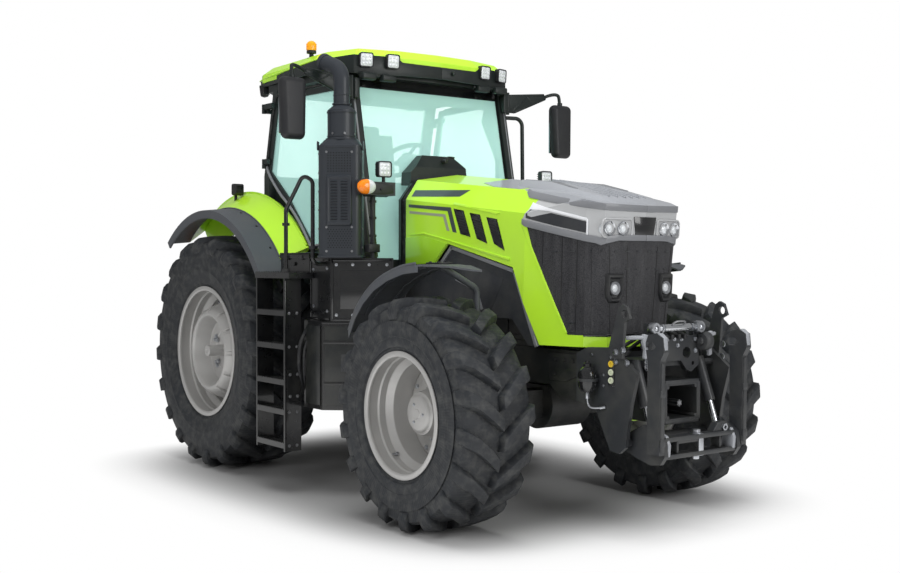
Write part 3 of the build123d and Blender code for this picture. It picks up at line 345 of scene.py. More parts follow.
rim_silver = metal("wheel_lacquer", (200, 199, 197), (184, 183, 181), 0.36, 0.6)
zinc = metal("zinc_plate", (212, 214, 218), (186, 190, 196), 0.26)
bare_steel = metal("worn_steel", (170, 171, 173), (140, 141, 144), 0.36, 0.9, depth=0.3)
chrome = metal("chrome_rod", (228, 230, 233), (214, 217, 221), 0.1, depth=0.03)
mirror_glass = metal("mirror_silver", (214, 222, 228), (206, 214, 221), 0.02, depth=0.0)

# %% [markdown]
# Cab panes are tinted mint green. True refraction through a closed pane is slow and noisy, and a
# pane is too thin to bend what is behind it. So the pane lets most light straight through with
# Alpha, keeps a faint mint body and a clean gloss on top, and a soft noise thins its tint a little
# here and there. It also glows faintly in its own mint colour: painted light that lifts the pane.

# %% Glass, lenses and lamps
def pane(name, colour, deep, see_through, rough=0.03):
    finish, colour, deep = Finish(name), shade(*colour), shade(*deep)
    drift = finish.noise(0.7, 2)
    # The emission is painted light: the pane glows faintly in its own mint colour.
    finish.surface(Base_Color=finish.blend(drift, colour, deep), Roughness=rough,
        Alpha=drift * 0.08 + (1 - see_through - 0.04), Emission_Color=colour, Emission_Strength=0.3)
    finish.material.surface_render_method = "BLENDED"
    return finish.material


def lens(name, colour, deep, pitch=0.008, rough=0.12, glow=0.0):
    finish, colour, deep = Finish(name), shade(*colour), shade(*deep)
    cells = finish.node("TexVoronoi", {"feature": "F1"},
        {"Vector": finish.place(), "Scale": 1 / pitch, "Randomness": 0.15})
    body = finish.blend(finish.grade(cells, (0.1, speck(0)), (0.8, speck(1))), colour, deep)
    finish.surface(Base_Color=body, Roughness=finish.noise(30, 2) * 0.05 + rough, Coat_Weight=0.8,
        Coat_Roughness=0.03, Emission_Strength=glow, Emission_Color=body,
        Normal=finish.bump(cells, 0.5, 0.0012))
    return finish.material


mint_glass = pane("mint_pane", (204, 255, 246), (214, 255, 249), 0.68)
lamp_glass = lens("lamp_lens", (236, 238, 240), (180, 186, 190), glow=0.12)
orange_lens = lens("orange_lens", (255, 150, 24), (226, 110, 10), 0.006, 0.14, glow=0.1)
amber_lens = lens("amber_lens", (250, 176, 40), (232, 146, 20), 0.008, 0.1, glow=0.12)
red_lens = lens("red_lens", (200, 26, 22), (150, 12, 12), 0.006, 0.14)

# %% [markdown]
# The grille is a sheet of fine punched mesh, and the seat's cloth is woven. Both are a small
# repeated pattern. Punching a hundred thousand holes is out of the question, so the mesh is a
# shader. An even grid would turn into stripes from a distance, so fine noise darkens the sheet
# where holes would be, a painted shade of the dark behind them, and long soft streaks are
# painted highlights that stand for the wires that catch the light.

# %% Punched mesh and woven cloth
def punched(name, colour, hole_shade, fineness, rough=0.5):
    finish, colour, hole_shade = Finish(name), shade(*colour), shade(*hole_shade)
    mask = finish.grade(finish.noise(fineness, 1, 0.4), (0.42, speck(1)), (0.56, speck(0)))
    # Lighter streaks are painted highlights of the wires that catch the light.
    wire_highlight = finish.grade(finish.noise(5, 4, 0.6, (5, 5, 0.35)), (0.4, speck(0)), (0.72, speck(1)))
    body = finish.blend(wire_highlight * 0.55, colour, shade(84, 84, 86))
    # Where holes would be, the sheet turns to the hole colour, a painted shade of the dark behind
    # them.
    finish.surface(Base_Color=finish.blend(mask * 0.7, body, hole_shade), Roughness=mask * 0.3 + rough,
        Normal=finish.bump(1 - mask, 0.5, 0.001))
    return finish.material


grille_mesh = punched("grille_mesh", (54, 54, 57), (24, 24, 26), 260)
shroud_sheet = enamel("shroud_sheet", (44, 48, 54), (34, 38, 43), 0.4, 0.12, dust=0.05, peel=0.3)


def woven(name, colour, thread, pitch):
    finish, colour, thread = Finish(name), shade(*colour), shade(*thread)
    waves = [finish.node("TexWave", {"bands_direction": way},
        {"Vector": finish.place(), "Scale": 0.314 / pitch}) for way in "XZ"]
    weave = waves[0] * 0.5 + waves[1] * 0.5
    finish.surface(Base_Color=finish.blend(weave, colour, thread),
        Roughness=finish.noise(40, 2) * 0.1 + 0.78, Normal=finish.bump(weave, 0.5, 0.001))
    return finish.material


seat_cloth = woven("seat_cloth", (64, 72, 74), (96, 106, 108), 0.004)

# %% [markdown]
# Each node of the solid model already has a material slot by name. Handing every slot its finish
# now means that no part is ever left in a plain colour, also where nothing is added on top of it.

# %% Finishes for the nodes that stay
slot_finish = {
    "green_paint": green_paint, "dark_paint": dark_paint, "black_paint": black_paint,
    "dark_plastic": dark_plastic, "grey_cover": cover_grey, "silver_band": band_silver,
    "rim_silver": rim_silver, "tyre": rubber_dark, "cast_grey": cast_grey, "glass": mint_glass,
    "lens": lamp_glass, "seat_fabric": seat_cloth, "bright_rod": chrome, "amber": amber_lens,
    "mesh": grille_mesh,
}
slot_of = {part["node"]: part["material_slot"] for part in frame["record"]["subparts"]}


def repaint(finish, *node_names):
    for node_name in node_names:
        for place in frame["nodes"][node_name].material_slots:
            place.material = finish


for node_name in frame["nodes"]:
    repaint(slot_finish[slot_of[node_name]], node_name)
print("nodes dressed:", len(frame["nodes"]))

# %% [markdown]
# The floor is one big plane. Its material is a matt grey, darker under the tractor as a painted
# shadow, that turns into the white of the surround with distance, so that no horizon line shows
# behind the tractor. The distance follows a rounded oblong, the shape of a tractor's shadow.

# %% The floor
bpy.ops.object.select_all(action="DESELECT")
bpy.ops.mesh.primitive_plane_add(size=160, location=(0, 0, 0))
floor = bpy.context.object
floor.name = "studio_floor"
paving = Finish("studio_paving")
half_long, half_wide = 2.15, 1.62
along = paving.axis("X") * (1 / half_long)
across = paving.axis("Y") * (1 / half_wide)
away = along * along * along * along + across * across * across * across


def between(near_edge, far_edge):
    return paving.node("MapRange", {"interpolation_type": "SMOOTHSTEP"},
        {"Value": away, "From Min": near_edge, "From Max": far_edge, "To Min": 0.0, "To Max": 1.0})


# The grey is darker near the tractor: a painted shadow, on top of the real one.
paving.surface(Base_Color=paving.blend(between(0.0, 1.6), shade(150, 150, 150),
    shade(236, 236, 236)), Roughness=0.75)
far = between(0.25, 2.6)
camera_ray = paving.node("LightPath", output="Is Camera Ray")
glow = paving.node("Emission", sockets={"Color": (1.0, 1.0, 1.0), "Strength": 1.0})
mixed = paving.node("MixShader",
    sockets={0: far * camera_ray, 1: Wire(paving, paving.shader.outputs[0]), 2: glow})
paving.set(paving.tree.nodes["Material Output"].inputs["Surface"], mixed)
floor.data.materials.append(paving.material)

# %% [markdown]
# The next cells are the workshop's hand tools, each a few operators in a row. An operator acts on
# all that is selected, so every tool starts by letting go of everything. `block` saws a bar to size
# and breaks its edges, `rod` turns a round bar between two points, and `plate` cuts a flat outline
# from sheet and gives it its thickness.

# %% Tools for bars, rods and plates
def let_go():
    if bpy.context.mode != "OBJECT":
        bpy.ops.object.mode_set(mode="OBJECT")
    bpy.ops.object.select_all(action="DESELECT")


def take(*pieces):
    let_go()
    for piece in pieces:
        piece.select_set(True)
    bpy.context.view_layer.objects.active = pieces[0]


def scrap(*pieces):
    for piece in pieces:
        bpy.data.objects.remove(piece, do_unlink=True)


def open_up(piece):
    """Edit mode, with everything selected."""
    take(piece)
    bpy.ops.object.mode_set(mode="EDIT")
    bpy.ops.mesh.select_all(action="SELECT")


def add_modifier(piece, kind, **settings):
    take(piece)
    bpy.ops.object.modifier_add(type=kind)
    modifier = piece.modifiers[-1]
    for key, value in settings.items():
        setattr(modifier, key, value)
    bpy.ops.object.modifier_apply(modifier=modifier.name)
    return piece


def broken_edges(piece, width, segments=2, angle=30):
    if width:
        add_modifier(piece, "BEVEL", width=width, segments=segments, limit_method="ANGLE",
            angle_limit=math.radians(angle), harden_normals=False)
    return piece


def settle(piece):
    take(piece)
    bpy.ops.object.transform_apply(location=True, rotation=True, scale=True)
    return piece


def block(low, high, edge=0.004, segments=2):
    low, high = Vector(low), Vector(high)
    let_go()
    bpy.ops.mesh.primitive_cube_add(size=1, location=(low + high) / 2, scale=high - low)
    return broken_edges(settle(bpy.context.object), edge, segments)


def rod(start, end, radius, sides=24, edge=0.002):
    start, end = Vector(start), Vector(end)
    let_go()
    bpy.ops.mesh.primitive_cone_add(vertices=sides, radius1=radius, radius2=radius,
        depth=(end - start).length, location=(start + end) / 2,
        rotation=(end - start).to_track_quat("Z", "Y").to_euler())
    return broken_edges(settle(bpy.context.object), edge, 2, 40)


def outlined(points, filled=True):
    """A primitive circle whose corners are then set to the points of an outline."""
    let_go()
    bpy.ops.mesh.primitive_circle_add(vertices=len(points),
        fill_type="NGON" if filled else "NOTHING")
    piece = bpy.context.object
    piece.location = (0, 0, 0)
    for vertex, point in zip(piece.data.vertices, points):
        vertex.co = point
    return piece


def face_outwards(piece):
    open_up(piece)
    bpy.ops.mesh.remove_doubles(threshold=0.00001)
    bpy.ops.mesh.normals_make_consistent(inside=False)
    bpy.ops.object.mode_set(mode="OBJECT")
    return piece


def plate(points, thickness, edge=0.002, segments=2):
    """A flat outline pushed out along the vector of its thickness."""
    piece = outlined([Vector(p) for p in points])
    open_up(piece)
    bpy.ops.mesh.extrude_region_move(TRANSFORM_OT_translate={"value": thickness})
    return broken_edges(face_outwards(piece), edge, segments)


# %% [markdown]
# Three more tools make the rounder forms. `drawn` extrudes one section after another and places
# each new ring of corners, as a smith draws out a bar. `turned` spins a profile about an axle, as a
# lathe does, and `bent_tube` fills a curve with a round bevel and turns it into a mesh.

# %% Tools for drawn, turned and bent forms
def drawn(sections, edge=0.0, segments=2, angle=30):
    piece = outlined([Vector(p) for p in sections[0]])
    open_up(piece)
    previous = [Vector(p) for p in sections[0]]
    for section in sections[1:]:
        bpy.ops.mesh.extrude_region_move()
        shape = bmesh.from_edit_mesh(piece.data)
        ring = [vertex for vertex in shape.verts if vertex.select]
        places = [Vector(p) for p in section]
        for vertex in ring:
            number = min(range(len(previous)), key=lambda n: (previous[n] - vertex.co).length)
            vertex.co = places[number]
        previous = places
        bmesh.update_edit_mesh(piece.data)
    return broken_edges(face_outwards(piece), edge, segments, angle)


axles = {"X": (Vector((1, 0, 0)), Vector((0, 1, 0))), "Y": (Vector((0, 1, 0)), Vector((1, 0, 0))),
    "Z": (Vector((0, 0, 1)), Vector((1, 0, 0)))}
needle = 0.0005  # a closed profile stops this far from its axle, so that no two corners meet


def turned(profile, centre, axis="Y", steps=72, edge=0.0, closed=True):
    """A profile of (distance along the axle, radius) pairs, spun a whole turn about the axle."""
    along, out = axles[axis] if isinstance(axis, str) else axis
    centre = Vector(centre)
    piece = outlined([centre + along * a + out * r for a, r in profile], filled=False)
    open_up(piece)
    if not closed:
        shape = bmesh.from_edit_mesh(piece.data)
        shape.verts.ensure_lookup_table()
        ends = {shape.verts[0], shape.verts[-1]}
        bpy.ops.mesh.select_all(action="DESELECT")
        for line in shape.edges:
            line.select = set(line.verts) == ends
        bmesh.update_edit_mesh(piece.data)
        bpy.ops.mesh.delete(type="EDGE")
    bpy.ops.mesh.select_all(action="SELECT")
    bpy.ops.mesh.spin(steps=steps, angle=math.tau, center=centre, axis=along)
    return broken_edges(face_outwards(piece), edge)


def sleeve(place, half_long, inner, outer, axis="Z", steps=24):
    """A short pipe round a place on an axle."""
    return turned([(-half_long, inner), (-half_long, outer), (half_long, outer),
        (half_long, inner)], place, axis, steps)


def bent_tube(points, radius, smooth=True, sides=6, resolution=6):
    """A round tube whose line runs near the given points."""
    let_go()
    bpy.ops.curve.primitive_nurbs_path_add()
    line = bpy.context.object
    spline = line.data.splines[0]
    while len(spline.points) < len(points):
        spline.points.add(1)
    keep = line.data.splines.new("NURBS")
    keep.points.add(len(points) - 1)
    for place, point in zip(keep.points, points):
        place.co = (*point, 1)
    line.data.splines.remove(spline)
    keep.order_u = 3 if smooth else 2
    keep.use_endpoint_u = True
    keep.resolution_u = resolution
    line.location = (0, 0, 0)
    line.data.bevel_depth = radius
    line.data.bevel_resolution = sides
    line.data.use_fill_caps = True
    take(line)
    bpy.ops.object.convert(target="MESH")
    return face_outwards(bpy.context.object)


# %% [markdown]
# What repeats is made once and copied. Each copy has its own mesh, so that its place can be baked
# into it. `moved` and `spun` copy a piece to a new place, `ring_of` sets copies round an axle and
# `joined` welds pieces into one object. `dress` names a finished piece, gives it its finish and
# lets it ride.

# %% Tools for copies and for dressing
def copy_of(piece):
    take(piece)
    bpy.ops.object.duplicate(linked=False)
    return bpy.context.object


def moved(piece, shift):
    twin = copy_of(piece)
    twin.data.transform(Matrix.Translation(Vector(shift)))
    return twin


def spun(piece, angle, centre, axis="Y"):
    twin = copy_of(piece)
    turn = Matrix.Translation(Vector(centre)) @ Matrix.Rotation(angle, 4, axis)
    twin.data.transform(turn @ Matrix.Translation(-Vector(centre)))
    return twin


def mirrored(piece, plane_y=0.0):
    twin = copy_of(piece)
    flip = Matrix.Translation((0, 2 * plane_y, 0)) @ Matrix.Scale(-1, 4, (0, 1, 0))
    twin.data.transform(flip)
    open_up(twin)
    bpy.ops.mesh.flip_normals()
    bpy.ops.object.mode_set(mode="OBJECT")
    return twin


def joined(pieces):
    pieces = [piece for piece in pieces if piece]
    if len(pieces) > 1:
        take(*pieces)
        bpy.ops.object.join()
    return pieces[0]


def ring_of(piece, count, centre, axis="Y", start=0.0):
    turns = [start + math.tau * number / count for number in range(count)]
    ring = [spun(piece, angle, centre, axis) for angle in turns]
    scrap(piece)
    return joined(ring)


def bolt(place, direction, size=0.011, head=0.009, washer=True):
    place, direction = Vector(place), Vector(direction).normalized()
    parts = [rod(place, place + direction * head, size, 6, size * 0.12)]
    if washer:
        parts.append(rod(place - direction * 0.001, place + direction * head * 0.3, size * 1.35, 16,
            0))
    return joined(parts)


def bolts(places, direction, size=0.011, head=0.009, washer=True):
    first = bolt(places[0], direction, size, head, washer)
    more = [moved(first, Vector(place) - Vector(places[0])) for place in places[1:]]
    return joined([first] + more)


def on_both_sides(piece):
    return joined([piece, mirrored(piece)])


total_pieces = []


def dress(piece, name, finish, smooth=35, body="chassis", slot=None, stands_for=()):
    """Finish one piece, or a list of pieces to join. The slot argument is not used."""
    piece = settle(joined(piece) if isinstance(piece, list) else piece)
    if smooth:
        bpy.ops.object.shade_smooth_by_angle(angle=math.radians(smooth))
    piece.name = name
    piece.data.name = name
    piece.data.materials.clear()
    piece.data.materials.append(finish)
    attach(piece, body)
    if stands_for:
        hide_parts(*stands_for)
    total_pieces.append(piece)
    return piece


def dress_both(piece, *words, **more):
    """Dress a piece, or a list of pieces to join, together with its mirror image."""
    return dress(on_both_sides(joined(piece) if isinstance(piece, list) else piece), *words, **more)

# %% [markdown]
# ## Tyres
# An agricultural tyre is a smooth carcass with long bars of rubber, the lugs, that lean back from
# the middle of the tread to its shoulders and then run down the side. The carcass is a lathe job. A
# lug is drawn out from its nose through the shoulder, bevelled, and set round the axle, and the
# other half of the tread is the same lug mirrored and moved half a pitch on.

# %% Tyres
def tyre_carcass(centre, radius, width, flange, rim_width):
    half = width / 2
    tread = radius - 0.048
    bead = rim_width / 2 - 0.0123
    waist = (flange - 0.024 + radius) / 2
    side = [(half * 0.5, tread - 0.003), (half * 0.8, tread - 0.012), (half * 0.9, tread - 0.028),
        (half - 0.024, tread - 0.07), (half - 0.02, radius - 0.15), (half - 0.012, waist + 0.03),
        (half - 0.0125, waist - 0.02), (half - 0.018, waist - 0.045), (half - 0.0165, waist - 0.05),
        (half - 0.0165, waist - 0.062), (half - 0.02, waist - 0.067), (bead + 0.02, flange + 0.04),
        (bead + 0.014, flange + 0.024), (bead + 0.004, flange + 0.018), (bead, flange + 0.008),
        (bead, flange - 0.022)]
    profile = side + [(-y, r) for y, r in reversed(side)]
    return turned(profile, centre, "Y", steps=120)


def tyre_lug(centre, radius, width, count):
    """One bar of the tread's +y half. Its sections stand across it, from its nose to its foot."""
    half = width / 2
    pitch = math.tau / count
    tip = radius / math.cos(pitch * 0.19)
    base = radius - 0.058
    stations = [(-0.006, base, 0.004, tip - 0.004, 0.0, 0.165),
        (half * 0.3, base, half * 0.3, tip - 0.001, half * 0.3, 0.185),
        (half * 0.62, base - 0.004, half * 0.62, tip - 0.006, half * 0.6, 0.19),
        (half * 0.82, base - 0.012, half * 0.845, radius - 0.014, half * 0.74, 0.195),
        (half * 0.88, base - 0.03, half * 0.945, radius - 0.04, half * 0.8, 0.19),
        (half - 0.03, base - 0.075, half - 0.0005, radius - 0.092, half * 0.84, 0.18),
        (half - 0.03, base - 0.09, half - 0.012, radius - 0.128, half * 0.84, 0.165)]
    sections = []
    for base_y, base_r, top_y, top_r, lag, share in stations:
        middle = lag * 0.85 / radius
        flank = 0.012 / radius
        ring = []
        for y, r, shift in ((base_y, base_r, -pitch * share - flank),
                (top_y, top_r, -pitch * share + flank / 3),
                (top_y, top_r, pitch * share - flank / 3), (base_y, base_r, pitch * share + flank)):
            angle = middle + shift
            ring.append(centre + Vector((r * math.cos(angle), y, r * math.sin(angle))))
        sections.append(ring)
    return drawn(sections, edge=0.005, segments=2, angle=28)


def lugged_tyre(centre, radius, width, flange, rim_width, count):
    carcass = tyre_carcass(centre, radius, width, flange, rim_width)
    lug = tyre_lug(centre, radius, width, count)
    other = mirrored(lug, centre.y)
    bottom = 0 if count % 4 == 0 else 0.5
    pitch = math.tau / count
    halves = [ring_of(lug, count, centre, start=pitch * bottom),
        ring_of(other, count, centre, start=pitch * (0.5 - bottom))]
    return joined([carcass] + halves)


rear_hub_left = at(0, rear_centre_y, rear_radius)
front_hub_left = at(wheelbase, front_centre_y, front_radius)
rear_flange, rear_rim_width = 0.508, 0.55
front_flange, front_rim_width = 0.381, 0.481
# The rear rubber is a little darker than the front's: the same rubber, with painted shade.
rear_rubber = rubber("rear_tyre_rubber", (40, 43, 47), (27, 29, 32), rear_hub_left, 220)
front_rubber = rubber("front_tyre_rubber", (44, 47, 51), (29, 31, 34), front_hub_left, 180)

rear_tyre = lugged_tyre(rear_hub_left, rear_radius, rear_width, rear_flange, rear_rim_width, 20)
front_tyre = lugged_tyre(front_hub_left, front_radius, front_width, front_flange, front_rim_width,
    18)
for tyre, end, centre_y, finish in ((rear_tyre, "rear", rear_centre_y, rear_rubber),
        (front_tyre, "front", front_centre_y, front_rubber)):
    other = moved(tyre, (0, -2 * centre_y, 0))
    for side, piece in (("left", tyre), ("right", other)):
        dress(piece, f"{end}_tyre_{side}", finish, body=f"wheel_{end}_{side}", slot="tyre",
            stands_for=(f"tyre_{end}_{side}",))
print("rear tyre faces:", len(rear_tyre.data.polygons), "front:", len(front_tyre.data.polygons))

# %% [markdown]
# ## Rims
# A rim is a rolled barrel with stepped seats, and inside it a pressed disc. On the rear wheel the
# disc stands out as a ring of flat petals with slots between them, round a deep recess where the
# axle's stub and its bolts sit. The barrel and disc are turned, and one petal is drawn and set
# round the axle.

# %% Rims
def rim_barrel(centre, flange, width):
    half = width / 2
    seat = flange - 0.024
    well = seat - 0.042
    outside = [(half, flange - 0.006), (half - 0.003, flange), (half - 0.01, flange),
        (half - 0.012, seat + 0.006), (half - 0.016, seat), (half * 0.46, seat), (half * 0.3, well),
        (-half * 0.48, well), (-half * 0.62, seat), (-half + 0.012, seat), (-half + 0.012, flange),
        (-half, flange)]
    inside = [(-half, seat - 0.012), (-half * 0.65, seat - 0.012), (-half * 0.51, well - 0.012),
        (half * 0.26, well - 0.012), (half * 0.3, well - 0.01), (half * 0.4, seat - 0.022),
        (half * 0.44, seat - 0.014), (half * 0.62, seat - 0.014), (half * 0.66, seat - 0.006),
        (half * 0.88, seat - 0.006), (half * 0.92, seat - 0.012), (half - 0.006, seat - 0.012),
        (half, seat - 0.004)]
    return turned(outside + inside, centre, "Y", steps=96, edge=0.0015)


def rear_disc(centre):
    lip = rear_rim_width / 2 - 0.03
    disc = lip - 0.15
    ring = turned([(disc, 0.02), (disc, 0.15), (disc + 0.006, 0.156), (disc + 0.006, 0.236),
        (disc + 0.012, 0.248), (lip - 0.02, 0.268), (lip - 0.002, 0.278), (lip, 0.284),
        (lip, 0.296), (lip - 0.006, 0.304), (0.05, 0.398), (0.038, 0.418), (0.004, 0.4335),
        (0.0, 0.4335), (0.0, 0.4), (disc - 0.024, 0.29), (disc - 0.024, 0.15), (-0.013, 0.15),
        (-0.013, 0.02)], centre, "Y", steps=72, edge=0.002)
    petal = []
    for r, y, half_wide in ((0.3, lip - 0.001, 0.066), (0.33, lip - 0.03, 0.072),
            (0.392, 0.078, 0.076)):
        petal.append([centre + Vector((r, y, half_wide)), centre + Vector((r, y, -half_wide)),
            centre + Vector((r - 0.03, y - 0.02, -half_wide)),
            centre + Vector((r - 0.03, y - 0.02, half_wide))])
    petals = ring_of(drawn(petal, edge=0.006, segments=3), 12, centre, start=math.tau / 24)
    stub = turned([(disc, 0.0), (disc, 0.06), (disc + 0.01, 0.056), (disc + 0.016, 0.043),
        (lip + 0.004, 0.043), (lip + 0.01, 0.038), (lip + 0.01, 0.016), (lip + 0.004, 0.012),
        (lip + 0.004, 0.0)], centre, "Y", steps=36)
    return joined([ring, petals, stub])


def wheel_bolts(centre, radius, y, count, size, pairs=False):
    one = bolt(centre + Vector((radius, y, 0)), (0, 1, 0), size, size)
    if pairs:
        step = 2.4 * size
        one = joined([one, moved(one, (0, 0, step)), moved(one, (-step, 0, step * 0.4))])
    return ring_of(one, count, centre)


rear_rim = joined([rim_barrel(rear_hub_left, rear_flange, rear_rim_width),
    rear_disc(rear_hub_left)])
lip = rear_rim_width / 2 - 0.03
rear_bolts = joined([wheel_bolts(rear_hub_left, 0.175, lip - 0.142, 5, 0.014, pairs=True),
    wheel_bolts(rear_hub_left, 0.42, 0.042, 12, 0.011),
    turned([(0, 0), (0, 0.012), (0.02, 0.01), (0.022, 0.006), (0.045, 0.005), (0.045, 0)],
    rear_hub_left + Vector((0.0, 0.155, 0.448)), "Y", steps=16)])


def front_disc(centre):
    face = -0.06
    disc = turned([(face - 0.02, 0.135), (face - 0.02, 0.306), (face - 0.012, 0.3065),
        (face - 0.002, 0.296), (face, 0.285), (face, 0.25), (face + 0.004, 0.244),
        (face + 0.004, 0.2), (face + 0.018, 0.19), (face + 0.018, 0.135)], centre, "Y", steps=72,
        edge=0.002)
    hub = turned([(-0.113, 0.0), (-0.113, 0.16), (-0.108, 0.165), (-0.02, 0.165), (-0.006, 0.156),
        (0.0, 0.146), (0.07, 0.132), (0.084, 0.128), (0.088, 0.118), (0.096, 0.112), (0.106, 0.104),
        (0.11, 0.094), (0.11, 0.03), (0.113, 0.026), (0.113, 0.0)], centre, "Y", steps=60)
    return joined([disc, hub])


front_rim = joined([rim_barrel(front_hub_left, front_flange, front_rim_width),
    front_disc(front_hub_left)])
front_bolts = joined([wheel_bolts(front_hub_left, 0.268, -0.058, 12, 0.011),
    wheel_bolts(front_hub_left, 0.178, -0.04, 10, 0.01), wheel_bolts(front_hub_left, 0.06, 0.108, 3,
    0.008), turned([(0, 0), (0, 0.011), (0.016, 0.01), (0.018, 0.006), (0.04, 0.005), (0.04, 0)],
    front_hub_left + Vector((-0.2, 0.11, -0.262)), "Y", steps=16)])
for end, rim, fixings in (("rear", rear_rim, rear_bolts), ("front", front_rim, front_bolts)):
    for side, piece, small in (("left", rim, fixings), ("right", mirrored(rim), mirrored(fixings))):
        dress(piece, f"{end}_rim_{side}", rim_silver, body=f"wheel_{end}_{side}",
            stands_for=(f"rim_{end}_{side}",))
        dress(small, f"{end}_wheel_bolts_{side}", zinc, body=f"wheel_{end}_{side}")
# %% [markdown]
# The bonnet's panels, stripes and lamps all lie on one skin. `skin` gives a point of that skin: `u`
# counts the corners of the plan from the firewall to the middle of the nose, and z is the height.
# The pieces could be pressed onto the solid with a Shrinkwrap modifier, but the sheet has sharp
# folds and a modifier would smear them. `strip` draws a band of sheet from station to station along
# the skin.

# %% The bonnet's skin
low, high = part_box("bonnet_shell")
bonnet_rear = low.x - rear_axle_x
bonnet_half = high.y
bonnet_floor = low.z
nose = wheelbase + 0.83
plan_low = [(bonnet_rear - 0.1, bonnet_half), (nose - 0.64, bonnet_half),
    (nose - 0.22, bonnet_half - 0.12), (nose - 0.11, bonnet_half - 0.21), (nose - 0.085, 0)]
plan_top = [(bonnet_rear - 0.1, bonnet_half), (nose - 0.59, bonnet_half),
    (nose - 0.14, bonnet_half - 0.08), (nose - 0.04, bonnet_half - 0.12), (nose, 0)]


def crease(x):
    return 2.05 - 0.107 * (x - bonnet_rear + 0.1)


def flank_y(x, z):
    return bonnet_half - max(0, z - crease(x)) / 1.4


def crown_z(x, y):
    ridge = crease(x) + 0.19 - 0.143 * abs(y)
    return min(ridge, 2.127 - 0.2407 * (x - nose + 0.81))


def slant(z):
    """How far up the slanting nose a height lies: 0 on the low line and 1 on the top line."""
    return (z - bonnet_floor + 0.06) / 1.26


def skin(u, z, lift=0.0):
    share = slant(z)
    corners = [Vector(a).lerp(Vector(b), share) for a, b in zip(plan_low, plan_top)]
    number = min(int(u), 3)
    point = corners[number].lerp(corners[number + 1], u - number)
    edges = [corners[n + 1] - corners[n]
        for n in (number, number - 1 if u == number and number else number)]
    out = sum((Vector((-edge.y, edge.x)).normalized() for edge in edges), Vector((0,
        0))).normalized()
    y = min(point.y, flank_y(point.x, z))
    return at(point.x + out.x * lift, y + out.y * lift, z)


def flank_u(x):
    """The station of a place x on the flat flank."""
    return (x - bonnet_rear + 0.1) / (nose - 0.61 - bonnet_rear + 0.1)


def strip(stations, lift, thickness=0.008, edge=0.0015):
    sections = [[skin(u, bottom, lift), skin(u, top, lift), skin(u, top, lift - thickness),
        skin(u, bottom, lift - thickness)] for u, bottom, top in stations]
    return drawn(sections, edge)


def decal(points, lift=0.0014, thickness=0.0018, edge=0.0):
    """A flat shape on the flank, given by (x, z)."""
    places = [at(x, flank_y(x, z) + lift, z) for x, z in points]
    return plate(places, (0, -thickness, 0), edge)


stripe_dark = enamel("stripe_charcoal", (66, 76, 78), (54, 62, 66), 0.3, 0.5, dust=0.08)
stripe_pale = enamel("stripe_grey", (158, 164, 140), (142, 149, 128), 0.34, 0.4, dust=0.08)
deep_lime = enamel("lime_lower_panel", (160, 214, 40), (146, 200, 34), 0.32, 0.6, dust=0.16)
trim_silver = enamel("trim_white_silver", (232, 233, 236), (216, 218, 222), 0.26, 0.6, dust=0.03)
trim_grey = enamel("trim_grey", (128, 130, 134), (112, 114, 118), 0.36, 0.3, dust=0.1)
gloss_black = enamel("gloss_black", (20, 21, 23), (14, 15, 17), 0.16, 0.8, dust=0.03)
lamp_well = enamel("lamp_housing_grey", (176, 177, 178), (162, 163, 165), 0.36, 0.3, dust=0.05)

# %% [markdown]
# The flank carries the colour stripes: a charcoal blade on the shoulder, a charcoal hook and a grey
# hook inside it. Film stripes are flat and under half a millimetre thick. They are cut here as thin
# plates, rather than painted by a mask, so that their corners stay crisp at any distance.

# %% Stripes, lower panel and creases of the flank
blade = decal([(1.8, 2.058), (2.318, 2.036), (2.392, 2.078), (1.8, 2.104)])
hook = decal([(1.79, 2.004), (2.276, 1.966), (2.34, 1.796), (2.296, 1.803), (2.24, 1.942),
    (1.79, 1.984)])
dress_both([blade, hook], "flank_stripes", stripe_dark, 0, body="bonnet")
inner = decal([(1.8, 1.958), (2.214, 1.922), (2.262, 1.808), (2.23, 1.814), (2.19, 1.906),
    (1.8, 1.94)])
dress_both(inner, "flank_stripes_pale", stripe_pale, 0, body="bonnet")

lower_panel = decal([(1.757, 1.583), (2.094, 1.598), (2.232, 1.726), (1.96, 1.782), (1.757, 1.772)],
    0.006, 0.009, 0.004)
dress_both(lower_panel, "flank_lower_panel", deep_lime, body="bonnet")
sill = decal([(1.8, 1.79), (1.972, 1.806), (2.89, 1.628), (2.88, 1.612), (2.236, 1.746),
    (1.968, 1.792)], 0.007, 0.01, 0.003)
brow = decal([(2.3, 2.0), (2.3, 1.984), (2.76, 1.905), (2.792, 1.914)], 0.005, 0.008, 0.0025)
rail_sections = []
for z in (1.85, 1.7, 1.5, 1.35, 1.18):
    share = slant(z)
    corner_x = [low[0] + (high[0] - low[0]) * share for low, high in zip(plan_low[1:3],
        plan_top[1:3])]
    edge_u = 1 + (nose - 0.652 + (1.86 - z) * 0.464 - corner_x[0]) / (corner_x[1] - corner_x[0])
    edge_u = max(edge_u, 0.97)
    rail_sections.append([skin(edge_u - 0.004, z, 0.001), skin(edge_u + 0.004, z, 0.007),
        skin(edge_u + 0.034, z, 0.007), skin(edge_u + 0.042, z, 0.001)])
rail = drawn(rail_sections)
dress_both([sill, brow, rail], "flank_creases", green_paint, body="bonnet")

# %% [markdown]
# Each side vent is a slanted hole behind a black frame with slats. The vents step down towards the
# nose and get a little longer. One frame could be cut and scaled, but the steps are not even, so
# each frame is drawn from its own four corners, and its slats are shared out between them.

# %% Side vents
def vent_corners(number, grow=0.0):
    x = bonnet_rear + 0.56 + number * 0.173
    top = 1.95 - number * 0.033
    bottom = top - 0.156
    drop = 0.021 + number * 0.012
    return [(x - grow, top + grow), (x + 0.092 + grow, top - 0.016 + grow),
        (x + 0.168 + grow, bottom - drop - grow), (x + 0.076 - grow, bottom - grow)]


